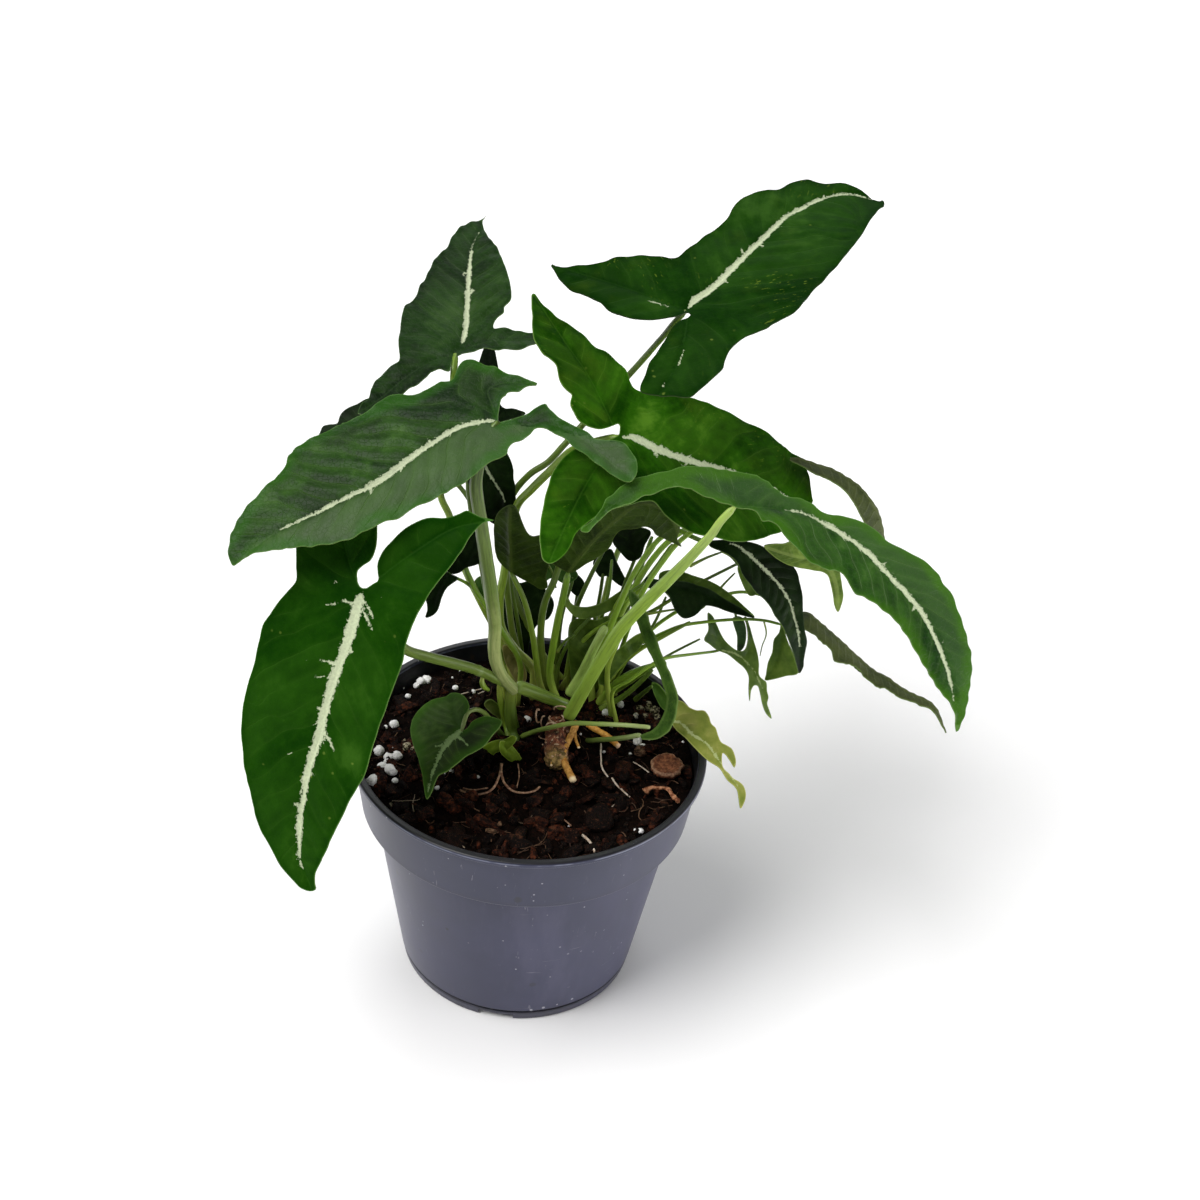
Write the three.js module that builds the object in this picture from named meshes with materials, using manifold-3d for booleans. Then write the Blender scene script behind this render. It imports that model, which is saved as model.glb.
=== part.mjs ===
// Potted Syngonium wendlandii: an arrowhead plant in a round plastic nursery pot.
// Millimetres, +Z up, -Y is the front. The origin is the middle of the pot's base,
// on the surface that the pot stands on.
import * as THREE from 'three';
import { mergeVertices } from 'three/addons/utils/BufferGeometryUtils.js';
import Module from 'manifold-3d';

const wasm = await Module();
wasm.setup();

// ---- driving dimensions ------------------------------------------------------------
const POT_HEIGHT = 90;            // foot to the top of the lip
const LIP_RADIUS = 60;            // 12 cm pot, measured over the lip
const LIP_HEIGHT = 1.9;
const COLLAR_TOP_RADIUS = 58.5;   // just under the lip
const COLLAR_BOTTOM_RADIUS = 55.6;
const COLLAR_BOTTOM_Z = 67.2;
const BODY_TOP_RADIUS = 51.5;
const BODY_BOTTOM_RADIUS = 41.3;
const FOOT_RADIUS = 40.6;
const FOOT_HEIGHT = 4;
const WALL = 1.2;
const BASE_LIFT = 2.2;            // underside of the base above the ground
const BASE_THICKNESS = 1.6;
const CENTRE_PAD_RADIUS = 12;     // flat pad that touches the ground
const DRAIN_HOLES = 6;
const DRAIN_HOLE_RADIUS = 4;
const DRAIN_RING_RADIUS = 27;
const FOOT_NOTCHES = 3;
const FOOT_NOTCH_WIDTH = 12;
const FOOT_NOTCH_HEIGHT = 2.4;
const FOOT_NOTCH_ANGLE = -95.6;   // degrees, the one seen from the front
const SOIL_TOP_Z = 84;
const SOIL_EDGE_Z = 82.6;
const GAP = 0.35;                 // clearance between neighbouring pieces
const BLADE_THICKNESS = 0.7;
const RIBBON_THICKNESS = 0.6;
const STALK_STEP = 9;             // length of one facet along a leaf stalk
const SEGMENTS = 48;

// ---- leaf tables -------------------------------------------------------------------
// A blade is a thin curved plate. Its outline is drawn flat in (u, v) millimetres from
// the point where the stalk joins it, and x, y and z are polynomials in u/30 and v/30
// that bend the flat plate to its place. A ribbon blade is a narrow curled lobe, given
// by a centre line and a half-width vector at each station. A stalk is a round tapering
// stem along a smooth path.
const BLADES = {
  leaf_01: { size: 8, color: 0x2c5a24, degree: 5,
    outline: [[-3.45,17.59],[-14.83,18.62],[-29.66,16.03],[-41.72,15.0],[-46.55,15.86],[-42.76,9.31],[-39.48,6.55],[-33.1,4.14],[-22.76,-2.55],[-12.41,-3.45],[1.38,-2.07],[-2.55,-3.79],[-4.83,-6.55],[-12.76,-18.83],[-15.86,-27.59],[-15.86,-31.38],[-14.14,-34.83],[-10.69,-36.21],[1.72,-30.17],[9.76,-23.66],[12.66,-20.34],[15.0,-13.97],[18.55,-10.62],[27.79,-6.9],[37.93,-0.79],[59.9,24.72],[68.28,36.03],[67.93,37.93],[65.86,37.48],[53.72,43.38],[38.28,44.24],[18.97,37.48],[11.03,28.28]],
    x: [38.187,26.359,-1.568,-0.066,1.075,-0.093,-0.007,0.104,0.023,0.011,0.006,0.032,0.028,0.022,0.004,-0.001,-0.001,-0.007,0.006,-0.012,-0.002],
    y: [29.886,0.188,36.495,-0.343,1.543,0.458,0.114,0.615,0.51,0.194,0.031,0.029,0.338,0.406,0.153,-0.002,-0.076,0.074,-0.263,-0.153,-0.021],
    z: [239.335,2.428,10.861,0.167,-0.738,0.905,-0.054,-0.3,-0.158,-0.088,-0.016,-0.016,-0.145,-0.184,-0.072,0.001,0.038,-0.028,0.122,0.09,0.01] },
  leaf_02: { size: 10, color: 0x376f27, degree: 5,
    outline: [[-29.79,49.45],[-21.24,40.9],[-15.52,37.38],[-8.48,30.34],[-1.03,25.07],[4.72,16.28],[29.31,11.45],[51.34,0.45],[63.1,-9.14],[66.55,-22.76],[55.52,-33.1],[44.48,-36.21],[38.62,-36.55],[21.03,-31.72],[11.38,-22.76],[7.24,-22.76],[-6.55,-26.9],[-13.45,-31.72],[-18.76,-40.41],[-21.34,-42.69],[-23.34,-43.72],[-26.31,-42.41],[-27.24,-39.31],[-26.76,-26.14],[-23.62,-13.55],[-21.62,-10.1],[-16.21,-4.83],[-1.72,-0.34],[0.17,2.41],[-0.14,4.48],[-6.72,2.48],[-10.69,3.28],[-14.21,5.28],[-15.97,7.93],[-17.24,11.03],[-16.9,13.97],[-19.93,17.24],[-22.14,24.21],[-26.97,27.93],[-29.17,32.07]],
    x: [21.163,26.489,-2.244,0.815,0.673,-0.06,0.068,0.068,0.053,-0.006,0.03,0.014,0.005,0.002,-0.001,0.003,0.007,0.006,-0.002,-0.002,0.0],
    y: [7.882,17.59,29.977,0.857,1.896,1.57,0.634,0.311,0.256,0.221,0.366,0.302,0.37,0.138,0.054,-0.107,-0.035,-0.008,0.184,0.114,-0.035],
    z: [206.034,-7.689,12.963,-0.423,-0.096,-0.066,-0.37,-0.112,-0.06,-0.061,-0.211,-0.145,-0.195,-0.066,-0.024,0.064,0.03,0.019,-0.092,-0.064,0.019] },
  leaf_03: { size: 8, color: 0x33503a, degree: 3,
    outline: [[10.52,47.07],[9.41,46.21],[9.72,43.59],[14.45,36.07],[18.97,23.79],[19.21,19.07],[13.1,10.0],[13.28,8.76],[17.62,8.76],[29.48,5.52],[27.76,3.28],[24.31,1.72],[20.0,0.86],[11.31,1.79],[2.59,-0.1],[-1.03,-2.76],[-1.9,-6.55],[-8.1,-6.1],[-10.07,-8.62],[-26.03,-20.0],[-30.86,-21.72],[-33.62,-20.69],[-28.45,-11.03],[-19.41,-2.72],[-18.24,13.52],[-16.79,16.69],[-14.03,18.62],[-6.52,32.52],[1.79,43.21]],
    x: [-32.315,27.485,-3.968,-0.038,0.833,-0.163,-0.036,0.022,0.074,-0.067],
    y: [36.938,-0.765,32.835,-0.678,-0.015,1.693,-0.048,-0.231,0.284,0.592],
    z: [213.93,3.08,13.007,0.36,-0.016,0.011,0.021,0.079,-0.144,-0.192] },
  leaf_04: { size: 10, color: 0x3a5a3c, degree: 5,
    outline: [[-13.66,18.21],[-11.72,20.34],[-9.31,20.97],[13.66,12.72],[4.97,10.03],[1.24,7.66],[0.17,0.0],[10.34,2.59],[16.66,5.83],[21.52,0.55],[28.1,-2.31],[33.52,-6.31],[42.97,-7.59],[47.24,-12.59],[48.1,-15.45],[47.55,-18.9],[45.52,-20.86],[42.97,-20.86],[20.1,-4.59],[12.66,-2.38],[11.03,-4.76],[5.83,-7.41],[0.97,-13.14],[-12.86,-22.1],[-34.55,-33.93],[-50.24,-40.66],[-84.28,-45.72],[-91.38,-49.83],[-92.72,-47.0],[-92.48,-42.93],[-89.14,-33.97],[-74.17,-17.48],[-69.66,-9.62],[-46.9,1.72],[-38.97,7.52],[-34.24,8.86],[-27.1,8.93],[-15.62,14.24]],
    x: [-15.567,26.237,-3.186,-0.122,0.762,-0.137,0.046,0.025,0.16,-0.024,-0.01,0.012,0.03,0.037,-0.028,-0.001,-0.004,0.013,0.006,-0.018,0.009],
    y: [1.88,-0.763,28.728,0.256,-0.966,1.543,-0.267,-0.742,-1.091,0.411,0.043,-0.33,-0.506,-0.184,0.335,0.015,-0.006,-0.185,-0.01,0.222,-0.125],
    z: [211.309,3.047,13.341,-0.159,0.513,-0.116,0.161,0.458,0.609,-0.16,-0.026,0.184,0.285,0.071,-0.166,-0.009,0.005,0.102,0.007,-0.143,0.089] },
  leaf_05: { size: 10.5, color: 0x2c6524, degree: 5,
    outline: [[-23.07,14.31],[-22.9,3.79],[-34.34,-12.07],[-39.62,-32.31],[-41.62,-46.38],[-40.24,-60.45],[-35.83,-79.79],[-27.31,-95.62],[-20.69,-102.69],[-17.93,-103.72],[-16.03,-102.86],[-16.48,-98.28],[0.41,-63.97],[17.14,-12.07],[25.03,2.0],[36.48,17.83],[41.38,23.28],[44.83,23.97],[35.59,27.41],[28.55,24.86],[22.41,24.86],[17.14,22.69],[13.62,20.48],[6.59,13.0],[4.83,9.03],[5.0,3.31],[0.52,0.52],[-1.34,1.14],[-2.21,6.41],[2.62,10.34],[4.38,14.31],[4.83,24.14],[2.07,28.97],[-2.07,32.07],[-6.9,33.1],[-12.41,31.72],[-17.24,28.28],[-21.03,23.45]],
    x: [-51.269,27.477,-2.287,-0.72,0.138,-0.038,0.097,-0.053,0.07,0.039,0.011,-0.045,-0.012,-0.021,0.007,-0.009,0.041,-0.049,0.018,-0.008,0.001],
    y: [-30.156,-8.53,15.213,1.329,-0.863,0.254,-0.152,0.172,-0.349,-0.253,-0.136,0.374,-0.012,0.049,-0.036,-0.0,-0.096,0.239,-0.086,0.038,-0.003],
    z: [167.782,8.826,21.146,-1.001,-0.026,-0.167,0.119,-0.039,0.233,0.206,0.095,-0.27,0.007,-0.05,0.013,-0.003,0.075,-0.172,0.065,-0.028,0.001] },
  leaf_06: { size: 10, color: 0x40603f, degree: 5,
    outline: [[-12.48,13.79],[7.21,10.28],[18.48,2.86],[22.69,2.52],[32.55,-3.1],[43.1,-5.59],[65.62,-19.66],[68.45,-22.45],[74.07,-29.83],[81.1,-50.97],[80.76,-62.24],[76.31,-77.83],[74.76,-69.97],[55.76,-40.41],[47.31,-33.0],[41.0,-30.17],[35.38,-22.83],[30.45,-22.1],[25.52,-19.28],[14.59,-6.97],[9.31,-5.59],[6.9,-1.72],[-3.97,0.69],[-13.59,5.0],[-21.62,6.72],[-40.48,-0.17],[-50.76,-9.03],[-53.1,-8.72],[-53.34,-7.86],[-47.93,-3.28],[-44.48,2.41],[-37.59,7.93],[-19.31,13.28]],
    x: [57.387,26.252,-1.274,0.314,0.684,0.019,0.049,-0.003,0.066,-0.166,0.019,0.016,0.178,0.366,0.121,0.004,0.037,0.066,0.072,0.09,0.039],
    y: [-14.201,6.756,27.669,0.51,0.966,1.186,0.082,-0.484,0.21,-1.904,0.183,0.429,2.163,5.233,2.039,0.029,0.474,1.059,1.143,1.342,0.616],
    z: [198.577,-1.607,13.102,-0.292,-0.215,0.008,-0.048,0.369,-0.029,1.311,-0.114,-0.256,-1.333,-3.171,-1.213,-0.018,-0.293,-0.659,-0.723,-0.836,-0.378] },
  leaf_07: { size: 5, color: 0x7d8f45, degree: 3,
    outline: [[0.0,0.0],[2.24,0.21],[11.97,6.48],[18.28,14.66],[26.83,16.03],[39.14,9.07],[37.69,11.62],[38.83,19.07],[37.14,22.48],[28.28,27.93],[20.69,29.66],[12.07,26.55],[4.14,19.66],[-6.55,5.86],[-5.86,3.28]],
    x: [8.596,28.038,-1.729,0.061,-1.766,0.111,0.0,-0.007,0.102,-0.008],
    y: [14.0,2.572,-17.503,0.006,-0.2,1.098,-0.0,-0.001,0.013,-0.062],
    z: [150.09,1.178,46.015,0.003,0.026,-2.886,0.0,-0.0,-0.006,0.161] },
  leaf_08: { size: 5, color: 0x24382a, degree: 3,
    outline: [[-1.03,0.52],[3.1,1.21],[15.86,-0.52],[27.1,-7.24],[28.97,-9.69],[32.59,-33.97],[30.0,-44.83],[25.69,-31.9],[20.07,-22.0],[10.21,-10.76],[8.83,-7.24],[6.0,-4.41],[-1.03,-0.86]],
    x: [54.234,28.703,-2.08,0.61,0.277,0.081,0.168,-0.056,0.152,-0.008],
    y: [21.985,11.199,21.806,1.974,0.098,2.063,0.441,0.013,0.314,0.075],
    z: [161.025,-4.438,19.274,-1.242,0.533,-0.966,-0.277,0.155,-0.256,0.083] },
  leaf_09: { size: 3.5, color: 0x8fa653, degree: 3,
    outline: [[-17.59,3.45],[-6.9,5.52],[-1.72,3.79],[7.93,-3.45],[9.83,-13.79],[7.93,-19.48],[4.31,-6.55],[-9.83,-2.93]],
    x: [86.646,28.014,-5.947,0.177,-1.528,0.316,0.001,-0.02,0.084,-0.019],
    y: [12.0,4.743,-12.431,0.03,-0.332,0.661,-0.0,-0.005,0.02,-0.038],
    z: [166.203,-0.267,41.183,-0.001,0.277,-2.189,0.001,0.006,-0.022,0.125] },
  leaf_12: { size: 2.4, color: 0x66752f, degree: 3,
    outline: [[-4.83,12.97],[1.83,2.41],[5.38,-0.17],[7.59,-0.17],[8.69,2.07],[8.14,11.55],[11.69,0.62],[12.62,-8.52],[15.17,-10.97],[17.03,-23.72],[15.17,-21.9],[12.24,-12.41],[11.0,-12.14],[9.93,-13.79],[9.48,-17.66],[9.17,-9.21],[7.83,-6.41],[-6.24,3.45],[-4.83,6.9]],
    x: [62.899,30.493,-2.831,0.508,-0.229,0.017,0.009,-0.007,0.002,-0.0],
    y: [34.0,10.716,13.822,0.179,0.166,-0.082,0.003,0.002,-0.002,0.001],
    z: [109.959,-4.666,26.775,-0.078,0.474,-0.16,-0.001,0.009,-0.006,0.001] },
  leaf_13: { size: 4, color: 0x4e7a35, degree: 3,
    outline: [[-0.69,0.45],[-3.0,-4.83],[-6.21,-18.97],[5.34,-16.55]],
    x: [82.133,28.232,-3.179,-0.505,-0.233,0.033,0.009,0.01,0.002,-0.0],
    y: [32.0,-8.417,11.205,0.151,-0.114,-0.115,-0.003,0.001,0.003,0.001],
    z: [124.086,9.089,28.039,-0.163,-0.595,-0.288,0.003,0.013,0.012,0.003] },
  leaf_14: { size: 4, color: 0x2c3a28, degree: 3,
    outline: [[-1.38,1.72],[13.1,0.0],[21.03,-2.76],[36.21,-12.34],[18.97,-8.28],[15.17,-11.72],[11.72,-12.59],[8.97,-10.34],[6.21,-4.31],[-1.72,-1.38]],
    x: [35.658,28.861,-2.44,0.268,0.053,-0.006,0.003,0.001,0.0,-0.0],
    y: [26.0,6.496,17.95,0.06,0.184,0.047,0.001,0.002,0.001,0.0],
    z: [141.099,-1.451,22.501,-0.013,0.205,0.059,-0.0,0.002,0.001,0.0] },
  leaf_15: { size: 2.6, color: 0x94a45e, degree: 3,
    outline: [[4.83,9.31],[8.62,8.97],[13.38,6.0],[16.14,5.79],[22.07,-4.9],[25.66,-7.24],[26.62,-13.66],[22.66,-8.62],[22.55,-13.21],[29.79,-19.93],[30.38,-24.69],[28.79,-27.83],[26.55,-19.86],[5.17,1.38]],
    x: [41.943,28.613,-2.085,0.256,0.414,0.011,0.079,-0.188,0.087,-0.003],
    y: [-5.991,4.688,25.099,1.77,-1.532,1.608,-0.213,-0.769,-0.162,0.063],
    z: [105.356,-0.607,16.311,-1.382,1.535,-0.647,0.17,0.689,-0.051,0.042] },
  leaf_16: { size: 5, color: 0x2f5a33, degree: 3,
    outline: [[-11.93,-23.55],[-17.38,0.48],[-16.31,4.0],[-10.34,10.17],[-3.31,13.07],[-0.21,12.62],[2.86,7.93],[0.28,0.34],[8.14,4.9],[13.86,3.55],[13.41,1.79],[8.14,-5.24],[-7.69,-15.34]],
    x: [-21.432,28.542,-3.822,-0.497,1.144,-0.307,0.195,-0.194,0.437,0.047],
    y: [-16.045,-3.839,33.234,2.448,-2.199,3.342,-0.496,0.73,-2.601,-0.547],
    z: [105.173,6.257,9.082,-2.028,1.52,-1.507,0.423,-0.387,2.005,0.728] },
  leaf_18: { size: 5, color: 0x2d5a2a, degree: 3,
    outline: [[-1.9,28.62],[0.17,26.21],[1.03,22.76],[2.41,6.9],[11.03,4.14],[2.41,1.03],[-1.38,-2.76],[-4.83,-3.45],[-8.28,-1.38],[-9.66,2.76],[-7.24,15.17]],
    x: [-19.644,28.416,-3.369,-0.121,0.697,-0.138,0.009,0.011,0.088,-0.031],
    y: [43.99,-0.858,29.539,0.097,-0.426,1.572,-0.099,-0.41,-0.106,0.37],
    z: [184.896,3.326,15.314,-0.07,0.187,-0.167,0.06,0.247,0.044,-0.119] },
  leaf_19: { size: 5, color: 0x2d5a2a, degree: 3,
    outline: [[-0.69,2.07],[4.14,1.38],[8.28,-1.38],[13.24,-8.41],[15.0,-22.14],[13.1,-27.59],[10.69,-29.66],[7.59,-30.34],[4.83,-28.28],[-1.72,-15.17],[-3.45,-8.97],[-3.45,-3.1]],
    x: [-25.788,27.234,-2.183,0.341,-0.121,-0.035,0.011,-0.027,0.03,-0.0],
    y: [32.998,8.484,13.314,0.205,-0.329,0.489,-0.002,-0.05,0.046,-0.013],
    z: [186.954,-2.26,24.354,-0.086,0.594,-0.445,0.002,0.039,-0.061,0.045] },
  leaf_20: { size: 5, color: 0x6f7a35, degree: 3,
    outline: [[-4.83,20.0],[-2.07,22.41],[0.69,22.93],[6.14,13.1],[10.0,12.41],[12.76,9.31],[13.79,5.52],[12.07,-1.72],[12.41,-5.52],[10.34,-6.21],[-3.79,3.45],[-5.86,11.72]],
    x: [-10.411,29.303,-0.521,-0.659,-1.889,0.035,0.014,0.081,0.115,-0.003],
    y: [24.0,-10.815,-18.868,0.243,1.124,1.222,-0.005,-0.037,-0.092,-0.073],
    z: [141.669,10.448,47.738,-0.234,-1.747,-3.093,0.004,0.048,0.166,0.184] },
  leaf_21: { size: 5, color: 0x2d5a2a, degree: 3,
    outline: [[5.86,11.03],[7.93,9.31],[8.62,5.52],[7.24,2.76],[-4.48,-2.07],[-6.55,0.0],[-5.86,4.14],[-3.1,8.28],[3.45,12.76]],
    x: [-24.494,28.553,-2.124,-0.429,-0.154,0.014,0.006,0.005,0.001,-0.0],
    y: [10.0,-6.572,12.601,0.099,-0.146,-0.082,-0.001,0.002,0.002,0.001],
    z: [151.315,7.45,25.184,-0.112,-0.426,-0.164,0.002,0.007,0.005,0.001] },
  leaf_22: { size: 5, color: 0x2d5a2a, degree: 3,
    outline: [[1.52,-0.34],[4.66,-2.07],[0.86,-5.34],[-2.76,-13.45],[-6.62,-15.72],[-6.55,-9.66],[-8.28,-6.21],[-8.62,-2.07],[-5.86,1.38],[-1.72,2.07]],
    x: [-30.133,28.275,-2.054,-0.426,-0.153,0.013,0.006,0.005,0.001,-0.0],
    y: [2.0,-6.499,12.429,0.098,-0.145,-0.081,-0.001,0.002,0.002,0.001],
    z: [154.621,7.395,24.872,-0.111,-0.423,-0.162,0.002,0.007,0.005,0.001] },
  leaf_23: { size: 6, color: 0x2d5a2a, degree: 3,
    outline: [[-15.66,16.0],[-23.59,11.21],[-25.52,7.41],[-30.52,6.45],[-34.14,1.03],[-34.48,-3.1],[-32.41,-7.24],[-27.59,-10.34],[-14.48,-11.72],[-7.59,-9.66],[-1.38,-5.52],[2.07,-0.34],[2.76,5.52],[0.69,11.03],[-3.45,15.17],[-9.31,16.9]],
    x: [-47.244,29.533,-4.45,-0.391,0.958,-0.136,0.088,-0.092,0.049,-0.006],
    y: [51.994,-3.806,33.311,1.141,-0.96,1.039,-0.13,0.258,-0.13,0.037],
    z: [169.789,5.22,13.558,-0.717,0.363,0.351,0.086,-0.081,0.018,0.013] },
  leaf_24: { size: 6, color: 0x2d5a2a, degree: 5,
    outline: [[0.0,20.34],[3.45,18.28],[6.21,14.14],[13.79,14.14],[24.14,12.07],[34.48,7.93],[43.1,3.1],[50.0,-3.1],[51.72,-6.21],[46.55,-10.69],[37.93,-14.83],[27.59,-16.9],[18.97,-15.52],[13.1,-12.76],[10.34,-14.14],[7.59,-17.59],[4.14,-18.97],[1.38,-16.21],[0.69,-10.69],[2.07,-5.86],[-1.72,-0.34],[0.0,2.41],[-1.72,15.17]],
    x: [32.895,30.213,-1.61,1.07,2.071,-0.085,0.409,1.072,0.966,0.151,-0.132,-0.563,-0.663,-0.208,-0.014,0.131,0.607,1.04,0.754,0.149,-0.026],
    y: [67.899,22.594,59.871,1.126,3.385,6.236,6.492,18.674,18.198,6.426,-3.372,-11.656,-12.313,-1.44,2.636,1.328,6.2,10.407,5.697,-2.17,-2.132],
    z: [159.19,-10.732,-1.639,-0.503,-0.51,-1.244,-4.046,-11.352,-10.784,-3.54,2.135,7.399,8.003,1.35,-1.385,-0.82,-3.739,-6.088,-3.012,1.7,1.423] },
  leaf_25: { size: 6, color: 0x2d5a2a, degree: 4,
    outline: [[-1.72,13.45],[-0.69,10.0],[-2.76,5.86],[-17.24,3.79],[-37.93,-3.1],[-46.55,-9.31],[-51.03,-16.21],[-44.83,-19.66],[-34.48,-19.66],[-22.41,-17.59],[-12.07,-14.14],[-0.69,-8.62],[2.76,-10.0],[5.52,-7.93],[4.83,-4.48],[0.0,0.0],[2.07,3.79],[2.76,8.62],[1.38,12.07]],
    x: [-33.384,31.939,-6.339,-1.242,2.59,-0.719,0.498,-0.999,0.896,-0.241,-0.107,0.341,-0.474,0.315,-0.06],
    y: [75.923,-19.682,59.346,1.965,-4.683,7.179,-3.971,8.457,-6.53,2.43,-0.426,0.305,1.44,-2.292,1.022],
    z: [158.18,14.849,-0.676,-1.272,1.798,-1.857,2.416,-4.935,3.654,-1.111,0.248,-0.32,-0.465,0.941,-0.407] },
  leaf_26: { size: 6, color: 0x2d5a2a, degree: 4,
    outline: [[-3.45,12.41],[15.52,26.21],[31.03,32.76],[54.48,31.03],[47.59,20.0],[31.03,1.38],[15.52,-6.21],[9.66,-6.9],[2.07,-14.48],[-2.07,-12.41],[-3.45,-8.28],[0.0,0.0],[-12.41,6.21],[-11.03,9.66],[-6.9,8.97]],
    x: [44.35,28.917,-1.416,-0.139,1.245,-0.028,0.046,0.033,0.224,0.06,-0.001,0.033,-0.02,0.051,-0.019],
    y: [87.921,-1.968,43.735,0.754,-1.14,2.791,0.072,0.947,2.249,1.574,-0.039,0.193,-0.833,-0.27,-0.042],
    z: [215.378,3.739,10.394,-0.386,0.514,0.038,-0.032,-0.431,-1.117,-0.646,0.02,-0.094,0.451,0.165,0.09] },
};
const RIBBONS = {
  leaf_10: { color: 0x6f7a58, centre: [[87.6,34.0,127.0],[89.56,33.5,127.58],[92.95,33.0,124.95],[96.66,32.0,122.29],[100.64,30.0,119.96],[105.0,28.0,117.26],[110.15,26.0,113.78],[114.36,24.0,112.13],[118.03,22.0,111.71],[121.81,20.0,110.45],[126.58,18.0,109.3],[130.5,16.0,109.15],[133.84,14.0,108.3],[136.87,12.0,105.28],[139.25,10.0,101.11]],
    halfWidth: [[-0.21,-3.0,0.87],[-1.42,-6.0,1.93],[-1.93,-7.0,3.13],[-1.5,-7.5,4.52],[-1.87,-8.0,4.5],[-2.02,-8.0,4.43],[-1.71,-7.5,4.56],[-1.6,-7.0,3.99],[-1.66,-6.5,3.25],[-1.41,-5.5,2.92],[-0.89,-4.0,2.55],[-0.73,-3.0,1.81],[-0.56,-2.0,1.3],[-0.35,-1.0,0.66],[-0.17,-0.4,0.26]] },
  leaf_11: { color: 0x6b7350, centre: [[76.95,38.0,185.65],[81.26,38.0,184.96],[85.96,37.5,183.65],[90.65,37.0,182.53],[95.14,36.5,180.44],[99.74,36.0,177.78],[103.1,35.0,174.52],[105.89,34.0,170.79],[108.09,33.0,166.6],[109.46,32.0,161.5],[111.79,31.0,154.49],[115.75,30.0,145.55],[121.21,28.0,137.34],[127.19,26.0,130.32]],
    halfWidth: [[-0.09,-0.5,-0.26],[-0.48,-3.0,0.68],[-0.77,-4.5,1.42],[-0.96,-5.5,2.23],[-1.19,-6.0,2.61],[-1.92,-6.0,1.84],[-2.53,-6.0,1.99],[-3.19,-6.0,2.08],[-3.05,-6.0,2.91],[-3.45,-6.0,3.07],[-4.59,-6.0,2.33],[-4.66,-6.0,1.63],[-3.42,-5.0,1.09],[-0.33,-0.5,0.09]] },
  leaf_17: { color: 0x6f8f55, centre: [[36.91,-10.0,104.03],[40.93,-11.0,107.19],[43.81,-10.5,111.29],[45.18,-9.0,115.64],[45.28,-7.0,119.44],[43.62,-4.0,122.69],[40.93,0.0,126.31],[37.86,4.0,130.32],[35.17,8.0,133.58],[32.8,12.0,136.9],[30.82,15.0,139.8],[29.16,17.0,143.44]],
    halfWidth: [[0.16,-1.5,0.64],[0.95,-4.0,1.39],[1.78,-5.0,2.57],[1.68,-5.0,3.48],[1.04,-4.5,3.77],[0.98,-4.0,3.72],[1.11,-4.0,3.86],[1.27,-4.0,3.92],[1.47,-4.0,3.9],[1.8,-4.0,3.98],[1.87,-3.0,3.17],[0.29,-0.5,0.5]] },
  shoot_01: { color: 0x8fa24a, centre: [[-16.12,-5.5,86.73],[-13.48,-1.5,86.55],[-9.7,1.2,86.94],[-7.2,3.8,86.41],[-5.28,5.4,85.97]],
    halfWidth: [[0.2,-0.5,0.15],[0.74,-2.0,0.39],[0.88,-3.0,0.53],[0.7,-3.0,0.65],[0.35,-2.0,0.61]] },
};
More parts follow.
